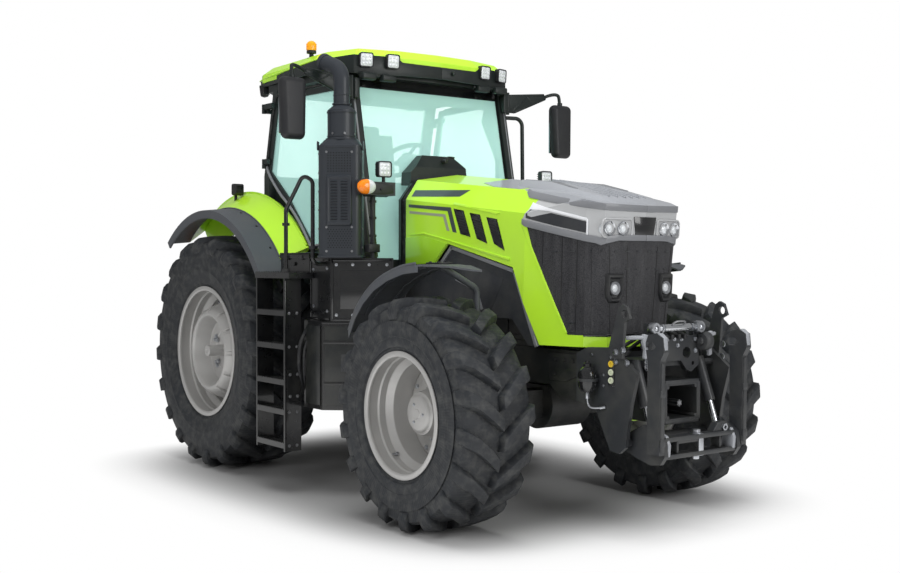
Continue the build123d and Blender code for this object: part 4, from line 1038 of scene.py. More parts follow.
frames, slats = [], []
for number in range(3):
    outer, inner = vent_corners(number, 0.007), vent_corners(number, -0.004)
    for side in range(4):
        after = (side + 1) % 4
        frames.append(decal([outer[side], outer[after], inner[after], inner[side]], 0.004, 0.006,
            0.0015))
    left, right = (inner[0], inner[3]), (inner[1], inner[2])
    for share in (0.12, 0.24, 0.36, 0.48, 0.6, 0.72, 0.84, 0.95):
        a, b = (Vector(line[0]).lerp(Vector(line[1]), share) for line in (left, right))
        slats.append(plate([at(a.x, bonnet_half - 0.001, a.y), at(b.x, bonnet_half - 0.001, b.y),
            at(b.x, bonnet_half + 0.003, b.y - 0.008), at(a.x, bonnet_half + 0.003, a.y - 0.008)],
            (0, 0.001, -0.0035), 0.0))
dress_both(frames, "vent_frames", gloss_black, body="bonnet")
dress_both(slats, "vent_slats", black_plastic, 0, body="bonnet")

# %% [markdown]
# On the cover lies a raised air scoop with ribs along it and a grey inset on either side. It would
# be pressed together with the cover. It is drawn here in five cross-sections, each a shallow trough
# turned over, and the ribs are bars with broken edges that follow the falling line of the nose.

# %% The cover's scoop and its edge
def scoop_section(x, half_width, rise):
    foot = [at(x, side * half_width, crown_z(x, half_width) - 0.006) for side in (-1, 1)]
    crown = [at(x, side * (half_width - 0.045), crown_z(x, 0.1) + rise) for side in (-1, 1)]
    return [foot[0], crown[0], crown[1], foot[1]]


scoop = drawn([scoop_section(x, half_width, rise)
    for x, half_width, rise in ((nose - 1.02, 0.16, 0.002), (nose - 0.9, 0.27, 0.024),
    (nose - 0.62, 0.285, 0.026), (nose - 0.2, 0.27, 0.022), (nose - 0.1, 0.2, 0.002))], 0.006, 3)
dress(scoop, "cover_scoop", cover_grey, body="bonnet")


def rib(y, start, end):
    places = [(x, crown_z(x, y) + 0.024) for x in (start, nose - 0.62, end)]
    sections = []
    for x, z in places:
        half_width = 0.007
        sections.append([at(x, y - half_width, z - 0.01), at(x, y - half_width, z + 0.005),
            at(x, y + half_width, z + 0.005), at(x, y + half_width, z - 0.01)])
    return drawn(sections, 0.003, 2)


ribs = [rib(side * y, nose - 0.84 + y * 0.5, nose - 0.17 - y * 0.1) for y in (0.03, 0.09, 0.15)
    for side in (-1, 1)]
dress(ribs, "cover_ribs", cover_grey, body="bonnet")


def on_scoop(x, y):
    return at(x, y, crown_z(x, 0.1) + 0.0275)


inset = drawn([[on_scoop(x, y0), on_scoop(x, y1), on_scoop(x, y1) - Vector((0, 0, 0.008)),
    on_scoop(x, y0) - Vector((0, 0, 0.008))] for x, y0, y1 in ((nose - 0.88, 0.13, 0.214),
    (nose - 0.62, 0.16, 0.232), (nose - 0.4, 0.205, 0.228))], 0.002)
dress_both(inset, "cover_insets", trim_grey, body="bonnet")


def cover_line(x):
    """The lower edge of the cover along the flank and the nose."""
    return 1.99 - 0.1538 * (x - nose + 0.55)


edge_stations = [(flank_u(nose - 0.7), 2.038, 2.06), (flank_u(nose - 0.655), 2.002, 2.044),
    (1.0, cover_line(nose - 0.6) - 0.004, cover_line(nose - 0.6) + 0.038)]
for u, x in ((1.5, nose - 0.37), (2.0, nose - 0.15), (2.5, nose - 0.1), (3.0, nose - 0.05),
        (4.0, nose - 0.01)):
    edge_stations.append((u, cover_line(x) - 0.006, cover_line(x) + 0.034))
dress_both(strip(edge_stations, 0.007, 0.012, 0.004), "cover_edge", trim_grey, body="bonnet")

tail_top = drawn([[at(x, y, crown_z(x, y) + 0.003), at(x, 0, crown_z(x, 0) + 0.003),
    at(x, 0, crown_z(x, 0) - 0.004), at(x, y, crown_z(x, y) - 0.004)]
    for x, y in ((2.36, 0.24), (2.6, 0.349), (2.86, 0.349))])
dress_both(tail_top, "cover_tail", cover_grey, 20, body="bonnet")

# %% [markdown]
# Round the nose runs the lamp band: a pale housing, a thin bright strip that bends down like a
# hockey stick, a dark insert behind it and a lip under it all. The band could be one casting with
# painted zones. Separate strips give each its own depth, so that the joints between them catch the
# light.

# %% The lamp band
def chin_line(x):
    return 1.86 - 0.2162 * (x - nose + 0.64)


def stick_line(x):
    return 1.945 - 0.235 * (x - nose + 0.52)


nose_stations = ((1.0, nose - 0.6), (1.5, nose - 0.37), (2.0, nose - 0.155), (2.5, nose - 0.105))
lip = [(flank_u(nose - 0.636), 1.838, 1.872)]
lip += [(u, chin_line(x) - 0.03, chin_line(x) + 0.012) for u, x in nose_stations]
lip += [(2.75, 1.702, 1.748), (3.0, 1.712, 1.756), (3.3, 1.73, 1.766), (4.0, 1.73, 1.766)]
dress_both(strip(lip, 0.012, 0.02, 0.005), "chin_lip", trim_grey, body="bonnet")

stick = [(flank_u(nose - 0.56), 1.905, 1.972), (flank_u(nose - 0.53), 1.926, 1.966)]
stick += [(1.4, stick_line(nose - 0.42) - 0.012, stick_line(nose - 0.42) + 0.006),
    (2.04, stick_line(nose - 0.15) - 0.012, stick_line(nose - 0.15) + 0.006)]
stick = strip(stick, 0.008, 0.01, 0.003)
leg = strip([(2.02, 1.752, stick_line(nose - 0.15) + 0.004),
    (2.12, 1.748, stick_line(nose - 0.15) - 0.006)], 0.008, 0.01, 0.003)
dress_both([stick, leg], "hockey_strip", trim_silver, body="bonnet")

insert = [(flank_u(nose - 0.6), 1.874, 1.9)]
insert += [(u, chin_line(x) + 0.02, stick_line(x) - 0.018) for u, x in ((1.1, nose - 0.56),
    (1.5, nose - 0.37), (2.0, nose - 0.16))]
dress_both(strip(insert, 0.004, 0.008, 0.002), "band_insert", dark_plastic, body="bonnet")

# %% [markdown]
# Each headlamp is a pair of projectors in a shallow tray. A projector has a chrome ring, a bowl and
# a domed glass with a bright core. The ring and the bowl are turned from one profile and the dome
# from another, about the line of travel. One function makes both projectors of a side, and the pair
# is mirrored.

# %% Headlamps
lamp_height = 1.802


def face_x(y, z):
    """How far forward the nose reaches at a place across it."""
    share = slant(z)
    corner = Vector(plan_low[3]).lerp(Vector(plan_top[3]), share)
    middle = Vector(plan_low[4]).lerp(Vector(plan_top[4]), share)
    return middle.x + (corner.x - middle.x) * abs(y) / corner.y


def on_face(y, z, lift=0.0):
    return at(face_x(y, z) + lift, y, z)


def rounded(low_y, high_y, low_z, high_z, radius, steps=5):
    """The corners of a rounded rectangle across the tractor, as (y, z) pairs."""
    pairs = []
    for centre_y, centre_z, start in ((high_y - radius, high_z - radius, 0),
            (low_y + radius, high_z - radius, 90), (low_y + radius, low_z + radius, 180),
            (high_y - radius, low_z + radius, 270)):
        for step in range(steps + 1):
            angle = math.radians(start + 90 * step / steps)
            pairs.append((centre_y + radius * math.cos(angle), centre_z + radius * math.sin(angle)))
    return pairs


tray_outline = rounded(0.105, 0.326, lamp_height - 0.052, lamp_height + 0.056, 0.024)
tray = plate([on_face(y, z, 0.003) for y, z in tray_outline], (-0.006, 0, 0), 0.0015)
dress_both(tray, "lamp_trays", lamp_well, body="bonnet")
rim_path = [on_face(y, z, 0.005) for y, z in tray_outline + tray_outline[:3]]
dress_both(bent_tube(rim_path, 0.0055, sides=4, resolution=3), "lamp_tray_rims", band_silver,
    body="bonnet")


def projector(y, z, radius, reach):
    centre = on_face(y, z, 0)
    ring = turned([(0.0, radius), (reach, radius), (reach + 0.003, radius - 0.003),
        (reach, radius - 0.007), (-0.004, radius * 0.62), (-0.004, 0.001), (-0.008, 0.001),
        (-0.008, radius - 0.002)], centre, "X", steps=40)
    dome = turned([(-0.003, needle), (-0.003, radius * 0.6), (0.004, radius * 0.54),
        (0.009, radius * 0.36), (0.012, radius * 0.16), (0.0125, needle)], centre, "X", steps=32)
    return ring, dome


rings, domes = [], []
for y in (0.172, 0.272):
    ring, dome = projector(y, lamp_height, 0.043, 0.011)
    rings.append(ring)
    domes.append(dome)
dress_both(rings, "projector_rings", chrome, 50, body="bonnet")
dress_both(domes, "projector_domes", lamp_glass, 60, body="bonnet")
shield_plate = drawn([[on_face(y * 0.072, lamp_height - 0.058, 0.006),
    on_face(y * 0.094, lamp_height + 0.07, 0.006), on_face(y * 0.094, lamp_height + 0.07, -0.004),
    on_face(y * 0.072, lamp_height - 0.058, -0.004)] for y in (-1, 0, 1)], 0.002)
dress(shield_plate, "nose_plate", gloss_black, body="bonnet")

# %% [markdown]
# The grille is fine mesh stretched over a frame, with faint upright seams where its panels meet and
# short tabs that clip it in place. Two six-sided pods carry the fog lamps. Each pod is a drawn
# funnel: a wide foot on the mesh, a narrower front and a sunken round lamp.

# %% The grille and the fog lamps
grille_top, grille_bottom = 1.7, bonnet_floor + 0.074
seams = []
for u in (1.3, 1.62, 1.86, 2.3, 3.08, 3.55):
    x = nose - 0.63 + 0.43 * (u - 1)
    top = chin_line(x) - 0.034 if u < 2 else grille_top
    bottom = max(grille_bottom, 1.89 - (x - nose + 0.64) * 2.156)
    seams.append(strip([(u, bottom, top), (u + 0.012, bottom, top)], 0.0025, 0.006, 0.0))
tabs = []
for u in (1.45, 1.75, 2.2, 2.7, 3.2, 3.5, 3.8):
    for z in (grille_bottom + 0.012, grille_top - 0.035, 1.56 if u > 3 else 1.24):
        if u > 1.6 or z > 1.6:
            tabs.append(strip([(u, z, z + 0.006), (u + 0.1, z, z + 0.006)], 0.006, 0.008, 0.0015))
dress_both(seams, "grille_seams", black_plastic, 0, body="bonnet", slot="mesh")
dress_both(tabs, "grille_tabs", dark_plastic, body="bonnet", slot="mesh")
border = strip([(2.0 - 0.002, grille_bottom - 0.01, grille_bottom + 0.004),
    (2.2, grille_bottom - 0.01, grille_bottom + 0.004),
    (3.0, grille_bottom - 0.01, grille_bottom + 0.004),
    (4.0, grille_bottom - 0.01, grille_bottom + 0.004)], 0.004, 0.01, 0.001)
dress_both(border, "grille_border", gloss_black, body="bonnet")

fog_y, fog_z = 0.216, bonnet_floor + 0.35
hexagon = [(-0.058, 0.082), (0.058, 0.082), (0.058, -0.038), (0.034, -0.082), (-0.034, -0.082),
    (-0.058, -0.038)]


def pod_section(scale, lift):
    return [on_face(fog_y + y * scale, fog_z + z * scale, lift) for y, z in hexagon]


pod = drawn([pod_section(1.08, -0.004), pod_section(1.0, 0.014), pod_section(0.92, 0.022),
    pod_section(0.8, 0.022), pod_section(0.66, 0.004)], 0.0015)
dress_both(pod, "fog_lamp_pods", black_plastic, body="bonnet")
fog_face = on_face(fog_y, fog_z, 0.0)
fog_ring = turned([(0.002, 0.04), (0.016, 0.04), (0.018, 0.037), (0.008, 0.026), (0.004, needle),
    (0.001, needle)], fog_face, "X", steps=32)
fog_dome = turned([(0.005, needle), (0.008, 0.025), (0.014, 0.02), (0.0175, 0.009),
    (0.018, needle)], fog_face, "X", steps=28)
dress_both(fog_ring, "fog_lamp_rings", trim_grey, 50, body="bonnet")
dress_both(fog_dome, "fog_lamp_domes", lamp_glass, 60, body="bonnet")

# %% [markdown]
# Behind the bonnet's rear edge sits a black rubber gaiter on the firewall, and under the bonnet the
# charcoal side shields have a pale trim along their upper edge. The gaiter stays with the cab when
# the bonnet opens. Both are strips that repeat the line of the sheet above them.

# %% Gaiter and shield trims
gaiter_outline = [(bonnet_half - 0.004, 1.56), (bonnet_half - 0.004, 2.036), (0.345, 2.178),
    (0, 2.228)]
whole = gaiter_outline + [(-y, z) for y, z in reversed(gaiter_outline[:-1])]
firewall = 1.701


def gaiter_ring(reach, scale, drop):
    """One ring of the gaiter; its crown lies flat on the firewall, clear of the bonnet's swing."""
    return [at(firewall + reach * (1 if z < 2.1 else 0.14), y * scale, z - drop) for y, z in whole]


gaiter = drawn([gaiter_ring(0, 1.0, 0.0), gaiter_ring(0.021, 0.985, 0.006),
    gaiter_ring(0.043, 0.996, 0.002)], 0.003)
dress(gaiter, "bonnet_gaiter", rubber_dark)

shield_edge = [(2.106, 1.59), (2.244, 1.716), (2.905, 1.56), (3.118, 1.094)]
trims = []
for start, end in zip(shield_edge, shield_edge[1:]):
    start, end = Vector(start), Vector(end)
    down = Vector((end.y - start.y, start.x - end.x)).normalized() * 0.026
    corners = [start, end, end + down, start + down]
    trims.append(plate([at(p.x, 0.428, p.y) for p in corners], (0, -0.018, 0), 0.003))
dress_both(trims, "shield_trims", trim_grey)
facet = plate(side_view(0.414, ((2.2, 1.56), (2.42, 1.47), (2.58, 1.27), (2.64, 1.27), (2.78, 1.5),
    (2.26, 1.64))), (0, -0.004, 0), 0.0015)
brace = joined([plate(side_view(0.418, outline), (0, -0.01, 0), 0.002)
    for outline in ([(2.28, 1.5), (2.52, 1.425), (2.525, 1.405), (2.28, 1.482)],
    [(2.52, 1.425), (2.575, 1.3), (2.552, 1.295), (2.505, 1.405)])])
dress_both(facet, "shield_facets", dark_plastic)
dress_both(brace, "shield_braces", trim_grey)

# %% [markdown]
# Up at the roof, a black fascia runs round under the lime shell and carries four square lamps. It
# could be one extrusion, but the roof outline turns many corners, so it is drawn from corner to
# corner with the shell's own plan, and it stands a little proud of the shell so that a shadow line
# shows.

# %% The roof's fascia
low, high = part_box("roof_shell")
roof_bottom, roof_top = low.z, high.z
roof_half = high.y
roof_front = high.x - rear_axle_x
cab_black = moulded("cab_black_moulding", (26, 34, 33), (18, 24, 24), 0.34)
repaint(cab_black, "cab_frame", "roof_band", "door_frame_left", "door_frame_right", "firewall",
    "grab_rail")


def roof_section(x, y, out_x, out_y, bottom, top, lift=0.01, thickness=0.02):
    outside = Vector((x + out_x * lift, y + out_y * lift, 0))
    inside = outside - Vector((out_x, out_y, 0)) * thickness
    return [at(outside.x, outside.y, bottom), at(outside.x, outside.y, top),
        at(inside.x, inside.y, top), at(inside.x, inside.y, bottom)]


fascia = drawn([roof_section(0.04, 0.62, -0.8, 0.6, roof_bottom - 0.02, roof_bottom + 0.02),
    roof_section(0.17, roof_half - 0.07, -0.5, 0.85, roof_bottom - 0.026, roof_bottom + 0.022),
    roof_section(0.64, roof_half - 0.018, -0.1, 1.0, roof_bottom - 0.03, roof_bottom + 0.034),
    roof_section(1.07, roof_half, 0.1, 1.0, roof_bottom - 0.034, roof_bottom + 0.05),
    roof_section(roof_front - 0.38, roof_half, 0.4, 0.9, roof_bottom - 0.04, roof_bottom + 0.054),
    roof_section(roof_front - 0.11, 0.689, 0.85, 0.5, roof_bottom - 0.066, roof_bottom + 0.066),
    roof_section(roof_front - 0.03, 0.38, 1.0, 0.15, roof_bottom - 0.07, roof_bottom + 0.066),
    roof_section(roof_front - 0.022, 0.33, 1.0, 0.1, roof_bottom - 0.066, roof_bottom + 0.03),
    roof_section(roof_front, 0.0, 1.0, 0.0, roof_bottom - 0.06, roof_bottom + 0.026)], 0.004)
dress_both(fascia, "roof_fascia", cab_black)
tabs = [block(at(roof_front - 0.09, y - 0.06, roof_bottom - 0.112),
    at(roof_front - 0.03, y + 0.06, roof_bottom - 0.06), 0.014, 4) for y in (0.6, 0.43)]
tabs.append(block(at(roof_front - 0.1, 0.35, roof_bottom - 0.084),
    at(roof_front - 0.06, 0.66, roof_bottom - 0.06), 0.006))
knob = turned([(0, 0.001), (0, 0.016), (0.014, 0.016), (0.022, 0.012), (0.026, 0.001)],
    at(roof_front + 0.008, 0.1, roof_bottom - 0.012), "X", steps=20)
dress([on_both_sides(joined(tabs)), knob], "roof_fascia_tabs", cab_black)
ridge = drawn([[at(x, y0, roof_top - 0.016), at(x, y0 + 0.012, roof_top - 0.002),
    at(x, y1 - 0.012, roof_top - 0.002), at(x, y1, roof_top - 0.016)]
    for x, y0, y1 in ((0.14, 0.16, 0.5), (roof_front - 0.18, 0.14, 0.52))], 0.003)
dress_both(ridge, "roof_pressings", green_paint)
gutter = bent_tube([at(0.15, 0.735, roof_bottom + 0.026), at(0.3, 0.776, roof_bottom + 0.03),
    at(1.06, roof_half + 0.006, roof_bottom + 0.058),
    at(1.18, roof_half + 0.006, roof_bottom + 0.06)], 0.006, smooth=False, resolution=2)
dress_both(gutter, "roof_gutter", green_paint)

# %% [markdown]
# All the work lamps are one design in a few sizes: a rounded black case with fins at its back, a
# bezel, and a clear lens over a grid of small bulbs. The lamp is built once, looking forward at the
# origin, and copies are turned and moved to the roof, the brackets and the rear fenders.

# %% Square work lamps
def square_outline(half, radius, x):
    return [Vector((x, y, z)) for y, z in rounded(-half, half, -half, half, radius, 4)]


def work_lamp(half=0.052):
    case = drawn([square_outline(half * 0.62, 0.01, -0.052),
        square_outline(half * 0.96, 0.016, -0.034), square_outline(half, 0.018, -0.004),
        square_outline(half, 0.018, 0.004), square_outline(half * 0.88, 0.014, 0.006),
        square_outline(half * 0.84, 0.012, -0.002)], 0.0)
    fins = [block((-0.06, -half * 0.7, z - 0.002), (-0.03, half * 0.7, z + 0.002), 0.001)
        for z in (-0.03, -0.015, 0.0, 0.015, 0.03)]
    glass = drawn([square_outline(half * 0.85, 0.012, -0.004),
        square_outline(half * 0.85, 0.012, 0.001), square_outline(half * 0.78, 0.01, 0.004)], 0.0)
    bulb = turned([(0.003, needle), (0.003, half * 0.2), (0.006, half * 0.16), (0.0075, needle)],
        (0, 0, 0), "X", steps=14)
    grid = [moved(bulb, (0, y * half * 0.48, z * half * 0.48)) for y in (-1, 0, 1)
        for z in (-1, 0, 1)]
    scrap(bulb)
    return [joined([case] + fins), joined([glass] + grid)]


def lamp_at(place, heading, pitch=0.0, scale=1.0):
    turn = (Matrix.Translation(Vector(place)) @ Matrix.Rotation(math.radians(heading), 4, "Z")
        @ Matrix.Rotation(math.radians(pitch), 4, "Y") @ Matrix.Scale(scale, 4))
    twins = [copy_of(piece) for piece in master_lamp]
    for twin in twins:
        twin.data.transform(turn)
    return twins


master_lamp = work_lamp()
bracket_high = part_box("lamp_brackets")[1]
post_x = bracket_high.x - rear_axle_x - 0.075
shelf = bracket_high.z
lamp_places = [(at(roof_front - 0.05, 0.617, roof_bottom + 0.028), 14, 4, 1.0),
    (at(roof_front - 0.006, 0.419, roof_bottom + 0.028), 6, 4, 1.0),
    (at(0.15, 0.716, roof_bottom - 0.05), 140, 8, 0.86), (at(post_x + 0.052, 0.725, shelf + 0.088),
    0, 0, 1.06), (at(-0.03, 0.85, 2.178), 178, 0, 0.9)]
cases, glasses = [], []
for place, heading, pitch, scale in lamp_places:
    case, glass = lamp_at(place, heading, pitch, scale)
    cases.append(case)
    glasses.append(glass)
scrap(*master_lamp)
cases.append(rod(at(post_x + 0.035, 0.725, shelf - 0.004), at(post_x + 0.035, 0.725, shelf + 0.04),
    0.012))
cases.append(rod(at(-0.05, 0.85, 2.03), at(-0.05, 0.85, 2.14), 0.012))
cases.append(block(at(0.165, 0.69, roof_bottom - 0.08), at(0.215, 0.74, roof_bottom + 0.006),
    0.008))
dress_both(cases, "work_lamp_cases", black_plastic, 40, stands_for=("work_lamps",))
dress_both(glasses, "work_lamp_lenses", lamp_glass, 40)

# %% [markdown]
# The beacon is a small turned foot, a rubber collar and a ribbed amber dome. It would be turned and
# moulded in real life, and it is turned here too. Ribs are thin bars set in a ring round the dome.

# %% The beacon
beacon_foot = at(0.87, -0.69, roof_top - 0.012)
foot = turned([(0, needle), (0, 0.034), (0.008, 0.034), (0.012, 0.018), (0.04, 0.016),
    (0.044, 0.036), (0.064, 0.036), (0.066, 0.033), (0.066, needle)], beacon_foot, "Z", steps=36)
dress(foot, "beacon_foot", black_plastic, 40, stands_for=("beacon",))
dome = turned([(0.064, needle), (0.064, 0.034), (0.07, 0.036), (0.112, 0.034), (0.124, 0.03),
    (0.134, 0.018), (0.139, needle)], beacon_foot, "Z", steps=36)
dome_rib = block(beacon_foot + Vector((0.033, -0.0015, 0.07)),
    beacon_foot + Vector((0.038, 0.0015, 0.116)), 0.0008)
dome_ribs = ring_of(dome_rib, 18, beacon_foot, "Z")
dress([dome, dome_ribs], "beacon_dome", amber_lens, 45)

# %% [markdown]
# The mirrors are deep rounded shells with a silvered glass facing back, on a ribbed plate arm and a
# bent tube. A shell could be drawn in rings, but a block with very wide, many-stepped edges gives
# the same soft form, and its lower corners are pulled in by moving its lowest points.

# %% Mirrors
def mirror_shell(low, high):
    shell = block(low, high, 0.042, 7)
    middle_y = (low.y + high.y) / 2
    for vertex in shell.data.vertices:
        share = max(0.0, (high.z - 0.18 - vertex.co.z) / (high.z - 0.18 - low.z))
        vertex.co.y = middle_y + (vertex.co.y - middle_y) * (1 - 0.16 * share)
        vertex.co.x += 0.012 * share
    return shell


low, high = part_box("mirrors")
shell_low = Vector((high.x - 0.09, high.y - 0.2, low.z))
shell = mirror_shell(shell_low, Vector((high.x, high.y, low.z + 0.42)))
glass = block(shell_low + Vector((-0.003, 0.022, 0.04)), shell_low + Vector((0.01, 0.178, 0.385)),
    0.004)
arm_x = shell_low.x - rear_axle_x - 0.017
pillar_z = low.z + 0.49
arm = plate(front_view(arm_x + 0.004, ((0.66, pillar_z - 0.153), (0.66, pillar_z - 0.035),
    (1.085, pillar_z + 0.006), (1.1, pillar_z - 0.02), (0.77, pillar_z - 0.15))), (0.022, 0, 0),
    0.004)
arm_ribs = [rod(at(arm_x + 0.015, y0, z0), at(arm_x + 0.015, y1, z1), 0.013, 12)
    for y0, z0, y1, z1 in ((0.68, pillar_z - 0.036, 1.082, pillar_z + 0.004),
    (0.68, pillar_z - 0.148, 0.78, pillar_z - 0.148),
    (0.78, pillar_z - 0.148, 1.095, pillar_z - 0.02), (0.76, pillar_z - 0.14, 0.9, pillar_z - 0.02),
    (0.9, pillar_z - 0.02, 0.98, pillar_z - 0.07))]
root = block(at(arm_x - 0.016, 0.655, pillar_z - 0.165), at(arm_x + 0.038, 0.7, pillar_z - 0.02),
    0.008, 3)
hinge_pin = rod(at(arm_x + 0.015, 0.712, pillar_z - 0.175),
    at(arm_x + 0.015, 0.712, pillar_z - 0.005), 0.014)
tube = bent_tube([at(arm_x + 0.015, 1.085, pillar_z - 0.012),
    at(arm_x + 0.02, 1.14, pillar_z + 0.012), at(arm_x + 0.04, 1.205, pillar_z + 0.02),
    at(arm_x + 0.056, 1.215, pillar_z - 0.01), at(arm_x + 0.06, 1.215, pillar_z - 0.11)], 0.013,
    resolution=8)
collar = rod(at(arm_x + 0.06, 1.215, pillar_z - 0.086), at(arm_x + 0.06, 1.215, pillar_z - 0.05),
    0.02)
dress_both([arm, root, hinge_pin, tube, collar] + arm_ribs, "mirror_arms", cab_black, 40,
    stands_for=("mirrors",))
dress_both(shell, "mirror_shells", black_plastic, 60)
dress_both(glass, "mirror_glasses", mirror_glass)

# %% [markdown]
# Round the windscreen runs a printed black border, and the doors have a pale seal that follows the
# fender. Border and seal are what make a pane look glued in. The border is a thin frame of strips
# on the leaning plane of the screen, and the seal is one bent tube along the door's lower edge.

# %% Screen border, wiper and door seals
screen_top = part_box("cab_frame")[1].z
screen_half = 0.64


def screen(y, z, lift=0.0):
    """A point on the outside of the leaning windscreen."""
    lean = -0.27 / (screen_top - 1.6)
    return at(1.666 + lean * (z - 1.62) + lift, y, z)


def screen_strip(corners, lift=0.002, thickness=0.003):
    return plate([screen(y, z, lift) for y, z in corners], (-thickness, 0, 0), 0.0)


border = [screen_strip([(-screen_half, screen_top), (screen_half, screen_top),
    (screen_half, screen_top - 0.075), (-screen_half, screen_top - 0.075)])]
for side in (-1, 1):
    border.append(screen_strip([(side * screen_half, 1.64), (side * screen_half, screen_top - 0.07),
        (side * (screen_half - 0.018), screen_top - 0.07), (side * (screen_half - 0.018), 1.64)]))
dress(border, "screen_border", gloss_black, 0)
a_pillar = plate([screen(0.69, 1.64, 0.02), screen(0.69, 2.9, 0.02), screen(0.676, 2.9, 0.024),
    screen(0.676, 1.64, 0.024)], (-0.012, 0, 0), 0.002)
dress_both(a_pillar, "pillar_trims", trim_grey)
wiper = joined([rod(at(1.65, -0.06, 2.33), at(1.706, -0.06, 2.33), 0.015),
    bent_tube([at(1.704, -0.06, 2.33), at(1.706, -0.056, 2.348), at(1.698, -0.04, 2.362),
    at(1.69, 0.02, 2.358)], 0.007)])
dress(wiper, "wiper", black_plastic, 40)


def door_plane(x, z, lift=0.0):
    """A point on the outside of the left door, whose front end stands further in."""
    slope = -0.06 / 1.06
    return at(x, 0.765 + 0.03 + slope * (x - 0.36) + lift, z)


def over_fender(x, gap):
    return rear_radius + math.sqrt((rear_radius + 0.345 + gap) ** 2 - x ** 2)


seal = bent_tube([door_plane(x, z, 0.006)
    for x, z in [(0.385, 2.34), (0.378, over_fender(0.365, 0.196))]
    + [(x, over_fender(x, 0.09 - (x - 0.56) * 0.15)) for x in (0.56, 0.68, 0.8, 0.92, 1.0)]
    + [(1.06, 1.735), (1.34, 1.7), (1.395, 1.715)]], 0.011, resolution=6)
upright = bent_tube([door_plane(x, z, 0.004) for x, z in ((0.385, 2.34), (0.41, 2.52), (0.5, 2.862),
    (0.56, 2.884), (1.3, 2.884), (1.335, 2.862), (1.402, 2.45), (1.402, 1.74))], 0.008,
    resolution=4)
handle = joined([block(door_plane(1.352, 2.02, 0.0),
    door_plane(1.352, 2.02, 0.0) + Vector((0.036, 0.026, 0.15)), 0.008, 3),
    rod(door_plane(1.37, 2.045, 0.02), door_plane(1.37, 2.045, 0.036), 0.012)])
for side, flip in (("left", False), ("right", True)):
    for piece, name, finish in ((seal, "door_seal", trim_grey), (upright, "door_edge", rubber_dark),
            (handle, "door_handle", black_plastic)):
        twin = mirrored(piece) if flip else copy_of(piece)
        dress(twin, f"{name}_{side}", finish, 50, body=f"door_{side}", slot="dark_plastic")
scrap(seal, upright, handle)

# %% [markdown]
# Inside stand the driver's things: a padded seat, a steering wheel on its column, grey switch pods
# and an arm rest. The pads are sewn cloth over foam. Each pad starts as a slightly smaller body
# that is remeshed evenly and blown up a little by a cloth simulation, which rounds it as stuffing
# does.

# %% The padded seat
def pad(corners_low, corners_high, edge=0.03):
    piece = block(at(*corners_low), at(*corners_high), edge, 4)
    add_modifier(piece, "REMESH", mode="VOXEL", voxel_size=0.013, use_smooth_shade=True)
    take(piece)
    bpy.ops.object.modifier_add(type="CLOTH")
    cloth = piece.modifiers[-1]
    cloth.settings.use_pressure = True
    cloth.settings.uniform_pressure_force = 4
    cloth.settings.effector_weights.gravity = 0
    cloth.settings.quality = 5
    cloth.point_cache.frame_end = 14
    for tick in range(1, 13):
        bpy.context.scene.frame_set(tick)
    bpy.ops.object.modifier_apply(modifier=cloth.name)
    bpy.context.scene.frame_set(1)
    return piece


cushion = pad((0.6, -0.215, 1.93), (1.0, 0.215, 2.0))
bolsters = [pad((0.64, side * 0.215 - 0.025, 1.94), (0.98, side * 0.215 + 0.025, 2.022), 0.024)
    for side in (-1, 1)]
back = pad((0.56, -0.205, 2.03), (0.64, 0.205, 2.56))
head = pad((0.5, -0.13, 2.58), (0.56, 0.13, 2.69), 0.024)
lean = (Matrix.Translation(at(0.6, 0, 2.02)) @ Matrix.Rotation(math.radians(-8), 4, "Y")
    @ Matrix.Translation(-at(0.6, 0, 2.02)))
back.data.transform(lean)
seat = joined([cushion, back, head] + bolsters)
dress(seat, "seat_pads", seat_cloth, 60)

cab_grey = moulded("cab_pod_grey", (150, 166, 160), (134, 150, 145), 0.5, 500)
repaint(cab_grey, "cab_trim", "steering_wheel")

# %% [markdown]
# The pods are soft wedge forms on the steering column, and the ceiling and the sides of the cab
# have a grey lining with a cut-out grip. They are seen only through tinted glass, so their shapes
# are plain, but without them the cab would look like an empty box.

# %% Pods, lining and grips
column = turned([(0, needle), (0, 0.052), (0.12, 0.06), (0.3, 0.052), (0.34, 0.03), (0.34, needle)],
    at(1.255, 0, 2.12), (Vector((-0.45, 0, 0.89)), Vector((0.89, 0, 0.45))), steps=24)
pods = joined([column, block(at(1.235, -0.17, 2.235), at(1.4, 0.17, 2.4), 0.04, 5),
    block(at(1.3, -0.08, 2.12), at(1.44, 0.08, 2.27), 0.03, 4),
    rod(at(1.18, -0.11, 2.33), at(1.12, -0.28, 2.37), 0.008, 12),
    rod(at(1.18, 0.11, 2.33), at(1.12, 0.28, 2.37), 0.008, 12)])
dress(pods, "steering_pods", cab_grey, 45)
wheel_axis = Vector((-0.55, 0, 0.83)).normalized()
wheel_out = Vector((0.83, 0, 0.55)).normalized()
wheel_hub = at(1.09, 0, 2.38)
grip = turned([(math.sin(math.radians(a)) * 0.017, 0.19 + math.cos(math.radians(a)) * 0.017)
    for a in range(0, 360, 30)], wheel_hub, (wheel_axis, wheel_out), steps=56)
boss = turned([(0.022, needle), (0.02, 0.04), (0.01, 0.058), (-0.03, 0.05), (-0.05, 0.02)],
    wheel_hub, (wheel_axis, wheel_out), steps=28, closed=False)
dress([grip, boss], "wheel_grip", black_plastic, 60)
lever = [rod(at(1.02, -0.38, 2.0), at(1.05, -0.38, 2.13), 0.01, 12),
    rod(at(1.05, -0.38, 2.12), at(1.058, -0.38, 2.19), 0.024, 16, 0.01)]
rest = block(at(0.7, -0.425, 2.012), at(1.0, -0.285, 2.055), 0.016, 4)
screen_box = block(at(1.085, -0.46, 2.06), at(1.115, -0.25, 2.22), 0.008, 3)
dress(lever + [rest, screen_box], "arm_rest", dark_plastic, 45)
